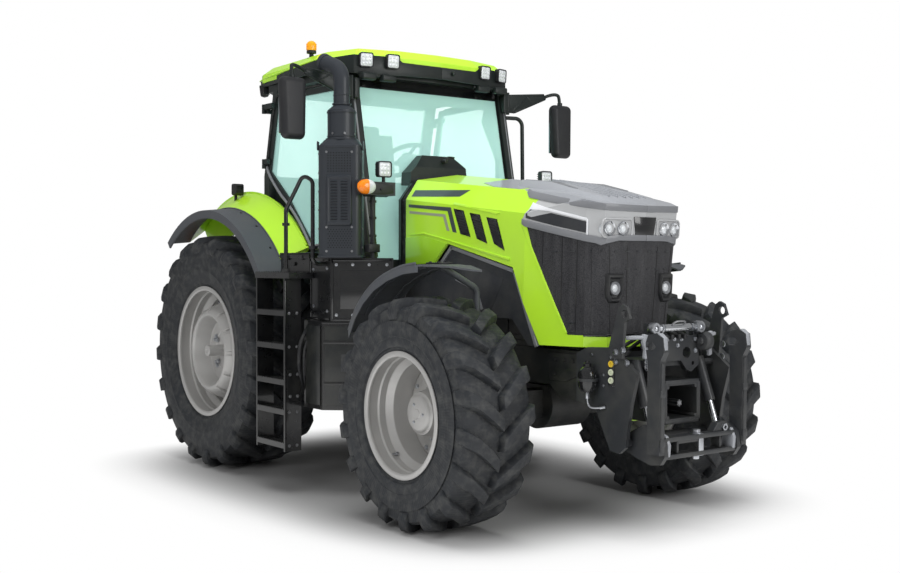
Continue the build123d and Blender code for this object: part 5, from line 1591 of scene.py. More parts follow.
lining = [block(at(0.42, -0.64, 2.872), at(1.3, 0.64, 2.912), 0.01)]
lining.append(plate(side_view(0.646, ((1.395, 2.88), (1.3, 2.88), (1.24, 2.7), (1.42, 2.38),
    (1.43, 2.2), (1.5, 2.1), (1.56, 2.1), (1.54, 2.24))), (0, -0.02, 0), 0.006))
grip_slot = block(at(1.433, 0.612, 2.2), at(1.468, 0.622, 2.4), 0.01)
dress(lining, "cab_lining", cab_grey)
dress(grip_slot, "pillar_grip", rubber_dark)
visor_blind = block(at(1.33, -0.6, 2.78), at(1.352, 0.6, 2.88), 0.008)
dress(visor_blind, "sun_blind", cab_grey)

# %% [markdown]
# Both flanks carry a ladder, a platform with a toolbox, a fuel tank and a tall black box. The
# ladder rungs and the platform have saw-toothed edges so that boots grip. A tooth is a small wedge.
# One tooth is made and copied along each edge, and every strip is joined into one piece.

# %% Teeth on the rungs and the platform
step_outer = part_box("steps")[1].y
ladder_rear, ladder_front = rear_radius + 0.095, rear_radius + 0.505
platform_top = 1.53
rungs = (1.25, 1.02, 0.775, 0.57, 0.34)
repaint(black_paint, "steps", "toolboxes", "side_tanks")


def teeth(start, end, count, height=0.007):
    tooth = drawn([[start + Vector((0.001, dy, 0)), start + Vector((0.009, dy, height)),
        start + Vector((0.012, dy, height)), start + Vector((0.018, dy, 0))]
        for dy in (-0.003, 0.0)])
    row = [moved(tooth, (end - start) * (number / count)) for number in range(count)]
    scrap(tooth)
    return joined(row)


grips = []
for z in rungs:
    for y in (step_outer - 0.001, step_outer - 0.062, step_outer - 0.124):
        grips.append(teeth(at(ladder_rear + 0.018, y, z + 0.017),
            at(ladder_front - 0.018, y, z + 0.017), 15))
for y in (step_outer - 0.001, 1.15, 1.08):
    grips.append(teeth(at(ladder_rear - 0.016, y, platform_top - 0.001),
        at(ladder_front + 0.05, y, platform_top - 0.001), 19, 0.009))
dress_both(grips, "step_teeth", black_paint, 0)

rung_bolts, lips = [], []
for x in (ladder_rear - 0.0005, ladder_front + 0.0005):
    out = Vector((-1 if x < 1.2 else 1, 0, 0))
    for z in rungs:
        rung_bolts.append(bolts([at(x, step_outer - 0.035, z), at(x, step_outer - 0.095, z)], out,
            0.008, 0.006))
    lips.append(block(at(x - 0.004, step_outer - 0.012, rungs[-1] - 0.038),
        at(x + 0.004, step_outer - 0.0004, platform_top - 0.044), 0.002))
    plate_low = at(x + 0.001 * out.x, step_outer - 0.118, 0.69)
    lips.append(block(Vector((min(plate_low.x, plate_low.x + 0.007 * out.x), plate_low.y, 0.65)),
        Vector((max(plate_low.x, plate_low.x + 0.007 * out.x), step_outer - 0.014, 0.86)), 0.002))
    rung_bolts.append(bolts([at(x + 0.008 * out.x, step_outer - y, z) for y in (0.038, 0.096)
        for z in (0.68, 0.83)], out, 0.009, 0.007))
front_bolts = [at(x, step_outer - 0.0012, z) for x in (ladder_rear + 0.007, ladder_front - 0.007)
    for z in (0.46, 0.69, 0.89, 1.14, 1.37)]
rung_bolts.append(bolts(front_bolts, (0, 1, 0), 0.005, 0.001, False))
dress_both(lips, "ladder_lips", black_paint)
dress_both(rung_bolts, "ladder_bolts", bare_steel)

# %% [markdown]
# The boxes get what shows how they open: a folded lid with a lip, a latch, hinges, bright bolts and
# a pressed border. These are plates and bars laid on the solid box, a few millimetres proud of it.

# %% Lids, latches and bolts of the boxes
box_outer = 1.02
lid = block(at(ladder_rear - 0.006, 0.8, 1.652), at(ladder_front + 0.002, box_outer + 0.008, 1.668),
    0.004)
lid_lip = block(at(ladder_rear - 0.006, box_outer + 0.002, 1.628),
    at(ladder_front + 0.002, box_outer + 0.008, 1.664), 0.002)
latch = joined([rod(at(1.205, box_outer + 0.001, 1.59), at(1.205, box_outer + 0.012, 1.59), 0.014,
    20), block(at(1.09, box_outer, 1.618), at(1.13, box_outer + 0.014, 1.65), 0.003),
    block(at(1.29, box_outer, 1.618), at(1.33, box_outer + 0.014, 1.65), 0.003)])
dress_both([lid, lid_lip, latch], "toolbox_lids", black_paint)

shoulder = ladder_front + (wheelbase - front_radius - 0.15 - ladder_front) * 0.42
tank_front = wheelbase - front_radius - 0.15
frame_bars = [block(at(ladder_front + 0.01, box_outer, 1.206),
    at(shoulder + 0.03, box_outer + 0.005, 1.224), 0.002),
    block(at(ladder_front + 0.01, box_outer, 1.606), at(shoulder + 0.03, box_outer + 0.005, 1.624),
    0.002), block(at(ladder_front + 0.01, box_outer, 1.206),
    at(ladder_front + 0.026, box_outer + 0.005, 1.624), 0.002)]
slope_along = (at(tank_front + 0.025, 0.712, 0) - at(shoulder + 0.04, box_outer, 0)).normalized()
slope_out = Vector((-slope_along.y, slope_along.x, 0))


def on_slope(share, z, lift=0.0):
    """A point on the slanted front of the tall box."""
    start, end = at(shoulder + 0.04, box_outer, z), at(tank_front + 0.025, 0.712, z)
    return start.lerp(end, share) + slope_out * lift


def slope_plate(a, b, low_z, high_z, lift=0.005, edge=0.002):
    return plate([on_slope(a, low_z, lift), on_slope(b, low_z, lift), on_slope(b, high_z, lift),
        on_slope(a, high_z, lift)], slope_out * -0.008, edge)


frame_bars += [slope_plate(0.03, 0.97, 1.206, 1.222), slope_plate(0.03, 0.97, 1.608, 1.624),
    slope_plate(0.02, 0.05, 1.206, 1.624), slope_plate(0.94, 0.97, 1.206, 1.624),
    slope_plate(0.16, 0.84, 1.285, 1.545, 0.004)]
dress_both(frame_bars, "tall_box_folds", gloss_black)
slope_bolts = bolts([on_slope(a, z, 0.004) for a in (0.1, 0.36, 0.62, 0.9) for z in (1.245, 1.585)],
    slope_out, 0.008, 0.006)
box_bolts = bolts([at(ladder_front + 0.05, box_outer + 0.001, 1.3),
    at(ladder_front + 0.05, box_outer + 0.001, 1.55), at(shoulder, box_outer + 0.001, 1.56),
    at(shoulder, box_outer + 0.001, 1.27)], (0, 1, 0), 0.009, 0.007)
dress_both([slope_bolts, box_bolts], "tall_box_bolts", zinc)

tank_outer = 1.06
tank_green = enamel("tank_grey_green", (28, 31, 32), (22, 25, 26), 0.36, 0.3, dust=0.1, peel=0.12)
tank_skin = [plate([at(ladder_rear + 0.43, tank_outer + 0.001, z) for z in (0.63, 1.17)]
    + [at(shoulder - 0.02, tank_outer + 0.001, z) for z in (1.17, 0.63)], (0, 0.006, 0), 0.003)]
tank_along = (at(tank_front, 0.7, 0) - at(shoulder, tank_outer, 0)).normalized()
tank_out = Vector((-tank_along.y, tank_along.x, 0))
corner = at(shoulder, tank_outer, 0)
reach = (at(tank_front, 0.7, 0) - corner).length


def on_tank(start, end, low_z, high_z, lift=0.0):
    """The four corners of an upright oblong on the slanted front of the tank."""
    return [corner + tank_along * along + tank_out * lift + Vector((0, 0, z))
        for along, z in ((start, low_z), (end, low_z), (end, high_z), (start, high_z))]


tank_skin.append(plate(on_tank(0.02, reach - 0.02, 0.63, 1.17), tank_out * 0.006, 0.003))
bands = [plate(on_tank(0.01, reach - 0.01, z - 0.012, z + 0.012, 0.006), tank_out * 0.005, 0.002)
    for z in (0.78, 1.06)]
dress_both(tank_skin, "tank_skins", tank_green)
edge_bar = plate(on_tank(-0.002, reach, 1.184, 1.198), tank_out * 0.01, 0.003)
dress_both(bands + [edge_bar], "tank_straps", black_paint)
tank_latch = joined([plate(on_tank(0.13, 0.23, 0.86, 0.98, 0.006), tank_out * 0.005, 0.003),
    bolts([corner + tank_along * along + tank_out * 0.011 + Vector((0, 0, z))
    for along in (0.15, 0.21) for z in (0.88, 0.96)], tank_out, 0.006, 0.004)])
dress_both(tank_latch, "tank_latches", dark_plastic)

# %% [markdown]
# Hoses fill the gap between the ladder and the tank, and the hand rail has clamps at its feet.
# Hoses are rubber over wire and hang in soft bows. Each is a curve with a round bevel through a few
# points.

# %% Hoses and rail clamps
hoses = [bent_tube([at(1.43, 1.01, 1.19), at(1.425, 1.1, 1.1), at(1.42, 1.12, 0.9),
    at(1.4, 1.08, 0.74), at(1.33, 1.01, 0.66), at(1.25, 0.9, 0.64)], 0.014),
    bent_tube([at(1.44, 0.98, 1.19), at(1.44, 1.08, 1.06), at(1.435, 1.085, 0.86),
    at(1.38, 1.04, 0.7), at(1.3, 0.96, 0.65)], 0.01)]
dress_both(hoses, "side_hoses", hose_rubber, 60)
clamps = [sleeve(at(ladder_front + x, step_outer - y, z), 0.01, 0.016, 0.026)
    for x, y, z in ((-0.014, 0.02, platform_top + 0.014), (-0.014, 0.02, platform_top + 0.33),
    (0.21, 0.1, 1.7))]
dress_both(clamps, "rail_clamps", black_plastic, 50)

# %% [markdown]
# The rear fender is a lime skin with a rubber flare bolted to its outer edge. A rounded welt covers
# the joint, and a rolled lip stiffens the free edge. Both follow a circle about the axle, so each
# is a bent tube along part of a turn.

# %% Rear fender welts and flare bolts
def arc_tube(centre, radius, y, start, end, thick, count=28):
    places = []
    for number in range(count + 1):
        angle = math.radians(start + (end - start) * number / count)
        places.append(centre + Vector((radius * math.cos(angle), y, radius * math.sin(angle))))
    return bent_tube(places, thick, sides=4, resolution=2)


axle = at(0, 0, rear_radius)
welt = arc_tube(axle, rear_radius + 0.2165, 0.95, 41, 128, 0.007)
flare_lip = arc_tube(axle, rear_radius + 0.138, 1.142, 35, 128, 0.007)
inner_fold = arc_tube(axle, rear_radius + 0.346, 0.776, 41, 128, 0.008)
dress_both([welt, flare_lip], "flare_welts", fender_plastic, 60)
dress_both(inner_fold, "fender_folds", green_paint, 60)
flare_bolts = []
for angle in (46, 60, 74, 88, 102, 116):
    a = math.radians(angle)
    out = Vector((math.cos(a), 0, math.sin(a)))
    flare_bolts.append(bolt(axle + out * (rear_radius + 0.2105) + Vector((0, 0.985, 0)), out, 0.008,
        0.005))
dress_both(flare_bolts, "flare_bolts", black_plastic)
repaint(fender_plastic, "rear_flares", "front_fender_left", "front_fender_right")

# %% [markdown]
# The front fenders turn with the wheels. Each has a rolled edge, two stiffening ribs under it and a
# clamp plate with bolts where the stalk holds it. They ride the steering knuckles, so left and
# right belong to two bodies.

# %% Front fender details
fender_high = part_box("front_fender_left")[1]
fender_top = fender_high.z
fender_outer = fender_high.y
folds = [(-0.696, 0.427), (-0.625, 0.307), (-0.53, 0.207), (-0.41, 0.122), (-0.26, 0.057),
    (-0.09, 0.014), (0.04, 0.001)]
edge_line = [at(wheelbase + ahead - 0.001, fender_outer - 0.005, fender_top - drop - 0.001)
    for ahead, drop in folds]
rolled = bent_tube(edge_line, 0.008, smooth=False, sides=4, resolution=2)
under = []
for y in (0.9, 1.06):
    sections = []
    for ahead, drop in folds[1:]:
        x, z = wheelbase + ahead + 0.004, fender_top - drop - 0.013
        sections.append([at(x, y, z), at(x, y + 0.014, z), at(x + 0.004, y + 0.014, z - 0.016),
            at(x + 0.004, y, z - 0.016)])
    under.append(drawn(sections, 0.0))
clamp = block(at(wheelbase - 0.07, 0.89, fender_top - 0.006),
    at(wheelbase + 0.07, 0.99, fender_top + 0.004), 0.003)
clamp_bolts = bolts([at(wheelbase + dx, y, fender_top + 0.003) for dx in (-0.05, 0.05)
    for y in (0.91, 0.97)], (0, 0, 1), 0.009, 0.007)
for side, flip in (("left", False), ("right", True)):
    for pieces, name, finish in (([rolled] + under, "front_fender_edge", fender_plastic),
            ([clamp, clamp_bolts], "front_fender_clamp", black_plastic)):
        twins = [mirrored(piece) if flip else copy_of(piece) for piece in pieces]
        dress(twins, f"{name}_{side}", finish, 45, body=f"steer_{side}", slot="dark_plastic")
scrap(rolled, clamp, clamp_bolts, *under)

# %% [markdown]
# The exhaust stands in a sheet shroud that is turned to face forward and out. Its front has a field
# of punched holes, a raised panel with two columns of slots, and a second field of holes low down.
# The holes and slots are near-black shapes laid on the sheet, a painted shade of the openings. All
# of this is built square at the origin and then turned and moved as one, which keeps the numbers
# simple.

# %% The exhaust shroud
shroud_low, shroud_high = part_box("exhaust_shroud")
shroud_middle = (shroud_low + shroud_high) / 2
stack_x = shroud_middle.x - rear_axle_x
stack_y = -shroud_middle.y
shroud_base, shroud_top = shroud_low.z, shroud_high.z - 0.042
shroud_half_x, shroud_half_y = 0.12, 0.1425
stack_turn = (Matrix.Translation(at(stack_x, -stack_y, 0)) @ Matrix.Rotation(math.radians(-40), 4,
    "Z"))


def stand(piece):
    piece.data.transform(stack_turn)
    return piece


repaint(shroud_sheet, "exhaust_shroud", "exhaust_pipe")
# Near-black: soot on the hot manifold, and painted shade in the shroud's holes and slots and the
# pipe's bore.
soot_and_painted_shade = enamel("soot_and_painted_shade", (12, 12, 13), (8, 8, 9), 0.8, 0.0, dust=0.0)
front = shroud_half_x


def dot_field(columns, rows, pitch_y, pitch_z, middle_z, radius, shifted):
    first = rod((front - 0.002, 0, 0), (front + 0.0012, 0, 0), radius, 10, 0)
    dots = []
    for row in range(rows):
        for column in range(columns):
            y = (column - (columns - 1) / 2) * pitch_y + (pitch_y / 2 if shifted and row % 2 else 0)
            dots.append(moved(first, (0, y, middle_z + (row - (rows - 1) / 2) * pitch_z)))
    scrap(first)
    return joined(dots)


# Each hole is a near-black disc on the sheet: a painted shade of the opening.
fields = [dot_field(9, 8, 0.0185, 0.0175, shroud_top - 0.112, 0.0042, False),
    dot_field(9, 9, 0.0185, 0.015, shroud_base + 0.13, 0.0036, True)]
dress(stand(joined(fields)), "shroud_holes", soot_and_painted_shade, 0)


def upright_rounded(half_y, low_z, high_z, radius, x):
    return [Vector((x, y, z)) for y, z in rounded(-half_y, half_y, low_z, high_z, radius, 4)]


panel_low, panel_high = shroud_base + 0.222, shroud_top - 0.205
panel = drawn([upright_rounded(0.088, panel_low - 0.012, panel_high + 0.012, 0.02, front - 0.002),
    upright_rounded(0.08, panel_low, panel_high, 0.016, front + 0.012),
    upright_rounded(0.07, panel_low + 0.014, panel_high - 0.014, 0.012, front + 0.012),
    upright_rounded(0.066, panel_low + 0.018, panel_high - 0.018, 0.01, front + 0.008)], 0.0015)
dress(stand(panel), "shroud_panel", shroud_sheet)
# Each slot is a near-black block under its hood: a painted shade of the opening.
slots, hoods = [], []
for side in (-1, 1):
    for number in range(14):
        z = panel_low + 0.036 + number * (panel_high - panel_low - 0.072) / 13
        slots.append(block((front + 0.006, side * 0.034 - 0.022, z - 0.0035),
            (front + 0.0092, side * 0.034 + 0.022, z + 0.0025), 0.0))
        hoods.append(plate([(front + 0.008, side * 0.034 - 0.023, z + 0.006),
            (front + 0.008, side * 0.034 + 0.023, z + 0.006), (front + 0.0145, side * 0.034 + 0.02,
            z + 0.001), (front + 0.0145, side * 0.034 - 0.02, z + 0.001)], (0, 0, -0.0015), 0.0))
dress(stand(joined(slots)), "shroud_slots", soot_and_painted_shade, 0)
dress(stand(joined(hoods)), "shroud_hoods", shroud_sheet, 0)

flanges, studs = [], []
for side in (-1, 1):
    y = side * (shroud_half_y + 0.004)
    flanges.append(block((0.04, min(y, y - side * 0.012), shroud_base + 0.02),
        (0.07, max(y, y - side * 0.012), shroud_top - 0.01), 0.002))
    flanges.append(block((0.03, min(y, y + side * 0.01), shroud_top - 0.03),
        (0.08, max(y, y + side * 0.01), shroud_top + 0.03), 0.003))
    for number in range(6):
        z = shroud_base + 0.07 + number * 0.125
        studs.append(bolt((0.055, y, z), (0, side, 0), 0.007, 0.005))
cap_fold = drawn([upright_rounded(0.1, shroud_top - 0.02, shroud_top + 0.004, 0.01, front - 0.004),
    upright_rounded(0.094, shroud_top - 0.014, shroud_top - 0.002, 0.006, front + 0.004)], 0.001)
foot_ring = block((-front - 0.006, -shroud_half_y - 0.004, shroud_base),
    (front + 0.006, shroud_half_y + 0.004, shroud_base + 0.016), 0.04, 5)
dress(stand(joined(flanges + [cap_fold, foot_ring])), "shroud_flanges", shroud_sheet)
studs += [bolt((front, y, z), (1, 0, 0), 0.006, 0.004) for y in (-0.085, 0.085)
    for z in (shroud_base + 0.045, shroud_base + 0.205, shroud_top - 0.045)]
dress(stand(joined(studs)), "shroud_studs", bare_steel)

# %% [markdown]
# Above the shroud a short can holds the pipe, with a rolled ring at each end. The pipe bends back
# and out and ends in a slanted mouth. The mouth is a ring with a soot-black disc set a little
# inside it: soot and a painted shade of the bore. It reads as a hollow pipe without a real bore.

# %% The can, its rings and the pipe's mouth
can_foot = at(stack_x, -stack_y, shroud_top + 0.042)
rings = [turned([(z, needle), (z, r), (z + h, r), (z + h, needle)], can_foot, "Z", steps=48,
    edge=0.003) for z, r, h in ((0.0, 0.108, 0.012), (0.02, 0.0985, 0.01), (0.18, 0.1005, 0.012),
    (0.236, 0.064, 0.012), (0.3, 0.058, 0.006))]
dress(rings, "can_rings", shroud_sheet, 40)
can_bolts = []
for angle in (-70, -20, 30, 120, 210):
    a = math.radians(angle)
    out = Vector((math.cos(a), math.sin(a), 0))
    can_bolts.append(bolt(can_foot + out * 0.098 + Vector((0, 0, 0.04)), out, 0.006, 0.005))
dress(can_bolts, "can_bolts", bare_steel)
mouth = at(stack_x - 0.19, -stack_y - 0.025, shroud_top + 0.592)
blow = Vector((-0.19, -0.025, 0.075)).normalized()
side_way = blow.cross(Vector((0, 0, 1))).normalized()
lip = turned([(-0.03, 0.055), (-0.03, 0.058), (0.003, 0.059), (0.005, 0.057), (0.003, 0.051),
    (-0.004, 0.05)], mouth, (blow, side_way), steps=40)
# A near-black disc just inside the lip: soot, and a painted shade of the bore.
inside = turned([(0.0006, needle), (0.0006, 0.0515), (-0.004, 0.0515), (-0.004, needle)], mouth,
    (blow, side_way), steps=40)
dress(lip, "pipe_lip", shroud_sheet, 50)
dress(inside, "pipe_mouth", soot_and_painted_shade)

# %% [markdown]
# The turn lamps are oval domes, orange on their outer half and clear on the inner half. Each half
# is drawn from half an ellipse that shrinks towards the front. A soft bracket behind them carries
# the square lamp above, and a cable runs down the post to a small black box.

# %% Turn lamps, tail lamps and their brackets
turn_centre = at(post_x + 0.075, 0.9, shelf - 0.038)


def half_oval(outer, scale, forward):
    first = -90 if outer else 90
    points = [turn_centre
        + Vector((forward, 0.066 * scale * math.cos(math.radians(first + step * 15)),
        0.05 * scale * math.sin(math.radians(first + step * 15)))) for step in range(13)]
    return points


stages = ((1.0, -0.002), (1.0, 0.026), (0.95, 0.04), (0.82, 0.05), (0.56, 0.057), (0.2, 0.0597))
orange = drawn([half_oval(True, scale, forward) for scale, forward in stages])
clear = drawn([half_oval(False, scale, forward) for scale, forward in stages])
dress_both(orange, "turn_lamps_orange", orange_lens, 40, stands_for=("signal_lamps",))
dress_both(clear, "turn_lamps_clear", lamp_glass, 40)
bezel = bent_tube([turn_centre + Vector((0.004, 0.068 * math.cos(math.radians(a)),
    0.052 * math.sin(math.radians(a)))) for a in range(0, 391, 15)], 0.005, sides=4, resolution=2)
case = drawn([[at(post_x + x, y, z) for x, z in ((-0.004, shelf - 0.1),
    (0.078, shelf - 0.086 + rise), (0.078, shelf - 0.004 - drop), (-0.004, shelf - 0.002))]
    for y, rise, drop in ((0.668, 0.012, 0.012), (0.74, 0.0, 0.0), (0.87, 0.0, 0.0))], 0.01, 4)
knob = rod(at(post_x + 0.076, 0.77, shelf - 0.05), at(post_x + 0.086, 0.77, shelf - 0.05), 0.01, 16)
cable = bent_tube([at(post_x + 0.01, 0.8, shelf - 0.09), at(post_x + 0.03, 0.815, 1.95),
    at(post_x + 0.02, 0.79, 1.84), at(post_x + 0.028, 0.806, 1.72)], 0.005)
small_box = block(at(post_x - 0.02, 0.76, 1.668), at(post_x + 0.05, 0.85, 1.724), 0.006)
small_foot = block(at(post_x - 0.012, 0.768, 1.626), at(post_x + 0.012, 0.8, 1.67), 0.003)
post_clips = [sleeve(at(post_x, 0.788, z), 0.008, 0.017, 0.025, steps=20)
    for z in (1.78, 1.9, 2.01)]
dress_both([bezel, case, knob, cable, small_box, small_foot] + post_clips, "turn_lamp_brackets",
    black_plastic, 40)
tail_angle = math.radians(129)
tails = []
for y0, y1 in ((0.765, 0.845), (0.85, 0.925)):
    corners = []
    for y, out in ((y0, rear_radius + 0.108), (y1, rear_radius + 0.108), (y1, rear_radius + 0.192),
            (y0, rear_radius + 0.192)):
        corners.append(axle + Vector((out * math.cos(tail_angle), y, out * math.sin(tail_angle))))
    tangent = Vector((-math.sin(tail_angle), 0, math.cos(tail_angle)))
    tails.append(plate(corners, tangent * 0.05, 0.008, 3))
dress_both(tails[1], "tail_lamps_amber", orange_lens)
dress_both(tails[0], "tail_lamps_red", red_lens)

# %% [markdown]
# The front linkage is all laser-cut plate, pins and castings. The solid model has its plates and
# arms. What is added is what a fitter would bolt on: screws, quick couplers in their colours, an
# oil accumulator, the mouth of the drive pocket, hoses and cast hooks. First come the fixed pieces.

# %% Bolts and couplers of the side plates
front_end = wheelbase + 0.69
plate_out = 0.401
horn_out = 0.421


def flank_bolts(places, y, size=0.012, head=0.01):
    return bolts([at(x, y, z) for x, z in places], (0, 1, 0), size, head)


flank = [flank_bolts([(front_end + 0.285, 1.098), (front_end + 0.34, 1.112)], horn_out, 0.015,
    0.012), flank_bolts([(front_end + 0.262, 1.04), (front_end + 0.352, 1.04)], plate_out, 0.014,
    0.011), flank_bolts([(front_end + 0.222, 1.064), (front_end + 0.164, 0.959),
    (front_end + 0.164, 0.898), (front_end + 0.245, 0.905), (front_end + 0.07, 1.07)], plate_out,
    0.007, 0.005)]
dress_both(flank, "hitch_plate_bolts", zinc)


def coupler(place, direction, side_way):
    return turned([(0.0, needle), (0.0, 0.019), (0.01, 0.019), (0.014, 0.016), (0.014, 0.009),
        (0.008, 0.007), (0.012, 0.005), (0.012, needle)], place,
        (Vector(direction), Vector(side_way)), steps=24)


yellow_cap = moulded("yellow_cap", (232, 196, 44), (214, 178, 34), 0.4)
pale_cap = moulded("pale_cap", (206, 212, 186), (188, 196, 168), 0.4)
blue_cap = moulded("blue_cap", (56, 60, 196), (42, 46, 170), 0.4)
dress_both(coupler(at(front_end + 0.232, plate_out, 1.026), (0, 1, 0), (1, 0, 0)), "coupler_yellow",
    yellow_cap, 50)
pale = [coupler(at(front_end + 0.232, plate_out, z), (0, 1, 0), (1, 0, 0)) for z in (0.978, 0.932)]
dress_both(pale, "coupler_pale", pale_cap, 50)
strap = block(at(front_end + 0.208, plate_out, 0.9), at(front_end + 0.256, plate_out + 0.006,
    1.052), 0.003)
dress_both(strap, "coupler_strap", black_plastic)
stack = [(0.976, blue_cap, "blue"), (0.918, yellow_cap, "yellow"), (0.86, yellow_cap, "gold")]
rail = block(at(front_end + 0.336, 0.405, 0.83), at(front_end + 0.346, 0.455, 1.005), 0.003)
rail_foot = block(at(front_end + 0.3, 0.398, 0.9), at(front_end + 0.34, 0.412, 0.95), 0.003)
dress([rail, rail_foot], "coupler_rail", dark_plastic)
for z, finish, colour in stack:
    dress(coupler(at(front_end + 0.345, 0.43, z), (1, 0, 0), (0, 1, 0)), f"coupler_front_{colour}",
        finish, 50, slot="amber")

# %% [markdown]
# The accumulator is a small black pressure bottle on the right flank, with a plated fitting and a
# bent pipe. Pressure vessels have no corners, so its profile is a half circle on each end, given by
# a formula, and it is turned about its upright axis.

# %% The accumulator and its pipe
bottle = at(front_end + 0.096, -0.462, 0.93)
half_round = [(0.062 * math.sin(math.radians(a)) + (0.018 if a > 0 else -0.018),
    0.056 * math.cos(math.radians(a))) for a in range(-85, 86, 10)]
vessel = turned(half_round, bottle, "Z", steps=36)
neck = turned([(0.074, needle), (0.074, 0.022), (0.092, 0.022), (0.098, 0.012), (0.108, 0.012),
    (0.108, needle)], bottle, "Z", steps=24)
dress([vessel, neck], "accumulator", gloss_black, 50)
hold = joined([block(at(front_end + 0.06, -0.47, 0.925), at(front_end + 0.132, -0.398, 0.935),
    0.002), sleeve(bottle, 0.008, 0.055, 0.06, steps=36)])
dress(hold, "accumulator_clamp", dark_paint)
fitting = joined([rod(bottle + Vector((0, 0, -0.11)), bottle + Vector((0, 0, -0.074)), 0.013, 6),
    bent_tube([bottle + Vector(p) for p in ((0, 0, -0.108), (0.0, 0.002, -0.14),
    (0.016, 0.01, -0.162), (0.06, 0.03, -0.16), (0.084, 0.052, -0.155))], 0.006),
    rod(bottle + Vector((0.066, 0.034, -0.16)), bottle + Vector((0.09, 0.056, -0.154)), 0.01, 6)])
dress(fitting, "accumulator_pipe", zinc, 50, slot="bright_rod")

# %% [markdown]
# The tower between the plates carries the stored top link. The link is a plated turnbuckle: a thick
# middle with a locking nut and a handle, and a ball in a ring at each end. Rollers and cast catches
# sit beside it. Below is the pocket with the splined drive stub.

# %% The top link, its catches and the tower
tower_x = front_end + 0.335
link = at(tower_x + 0.018, 0, 1.225)
along_y = (Vector((0, 1, 0)), Vector((1, 0, 0)))
eyes = []
for side in (-1, 1):
    centre = link + Vector((0.002, side * 0.19, 0))
    eyes.append(turned([(-0.02, 0.018), (-0.02, 0.033), (-0.014, 0.0355), (0.018, 0.0355),
        (0.024, 0.032), (0.024, 0.018)], centre, "X", steps=36))
    eyes.append(turned([(-0.022, needle), (-0.02, 0.012), (-0.01, 0.018), (0.018, 0.018),
        (0.026, 0.012), (0.028, needle)], centre, "X", steps=28))
    eyes.append(turned([(side * 0.118, 0.016), (side * 0.118, 0.026), (side * 0.132, 0.026),
        (side * 0.132, 0.016)], link, along_y, steps=6))
    eyes.append(turned([(side * 0.136, 0.015), (side * 0.136, 0.021), (side * 0.158, 0.018),
        (side * 0.158, 0.015)], link, along_y, steps=24))
threads = [turned([(y, 0.015), (y + 0.0015, 0.0172), (y + 0.003, 0.015)], link, along_y, steps=20)
    for y in [side * 0.112 + step * 0.004 for side in (-1, 1) for step in (-1, 0, 1)]]
dress(eyes + threads, "top_link_eyes", zinc, 50, slot="bright_rod")
handle = bent_tube([link + Vector(p) for p in ((0.016, -0.05, 0.02), (0.03, -0.05, 0.036),
    (0.034, 0.0, 0.04), (0.03, 0.05, 0.036), (0.016, 0.05, 0.02))], 0.006)
dress(handle, "top_link_handle", bare_steel, 50)

rollers = []
for y in (-0.232, 0.232):
    rollers.append(turned([(-0.03, needle), (-0.03, 0.046), (-0.022, 0.054), (0.022, 0.054),
        (0.03, 0.046), (0.03, needle)], at(tower_x + 0.03, y, 1.14), along_y, steps=40))
    rollers.append(rod(at(tower_x + 0.03, y - 0.048, 1.14), at(tower_x + 0.03, y + 0.048, 1.14),
        0.022))
dress(rollers, "link_rollers", dark_plastic, 45)
catch = drawn([[at(x, 0.268 + y, z) for y, z in ((-0.02, 1.19), (0.022, 1.2), (0.03, 1.15),
    (0.012, 1.11), (0.02, 1.06), (-0.006, 1.05), (-0.016, 1.11))]
    for x in (tower_x + 0.02, tower_x + 0.044)], 0.006, 3)
catch_bar = bent_tube([at(tower_x + 0.03, 0.262, 1.176), at(tower_x + 0.03, 0.33, 1.182),
    at(tower_x - 0.02, 0.372, 1.176)], 0.012)
dress_both([catch, catch_bar], "link_catches", cover_grey)
chain = [turned([(math.sin(math.radians(a)) * 0.0028, 0.009 + math.cos(math.radians(a)) * 0.0028)
    for a in range(0, 360, 60)], at(tower_x + 0.038, -0.27, 1.052 - number * 0.013),
    "X" if number % 2 else "Y", steps=16) for number in range(5)]
tower_bolts = bolts([at(tower_x + 0.001, y, z) for y in (-0.185, 0.185) for z in (1.15, 1.085)],
    (1, 0, 0), 0.011, 0.009)
small = bolts(front_view(tower_x + 0.001, ((-0.06, 1.155), (0.0, 1.158), (0.06, 1.155),
    (0.03, 1.12))), (1, 0, 0), 0.009, 0.012)
dress(chain + [tower_bolts, small], "tower_fixings", zinc)
clips = [block(at(tower_x + 0.002, y - 0.012, 1.158), at(tower_x + 0.03, y + 0.012, 1.186), 0.004)
    for y in (-0.09, -0.04, 0.02, 0.07)]
hose_y = (-0.12, -0.06, 0.03, 0.09)
linkage_hoses = [bent_tube([at(tower_x + 0.014, y, 1.168), at(tower_x - 0.04, y * 0.9, 1.205),
    at(tower_x - 0.14, y, 1.18), at(front_end + 0.1, y * 1.4, 1.11),
    at(front_end + 0.04, y * 2.0, 1.06)], 0.011) for y in hose_y]
for side in (-1, 1):
    linkage_hoses.append(bent_tube([at(front_end + 0.21, side * 0.358, 1.02),
        at(front_end + 0.25, side * 0.33, 1.06), at(front_end + 0.262, side * 0.3, 1.09),
        at(front_end + 0.21, side * 0.24, 1.085), at(front_end + 0.12, side * 0.2, 1.055)], 0.01))
dress(clips, "hose_clips", black_plastic)
dress(linkage_hoses, "linkage_hoses", hose_rubber, 60)

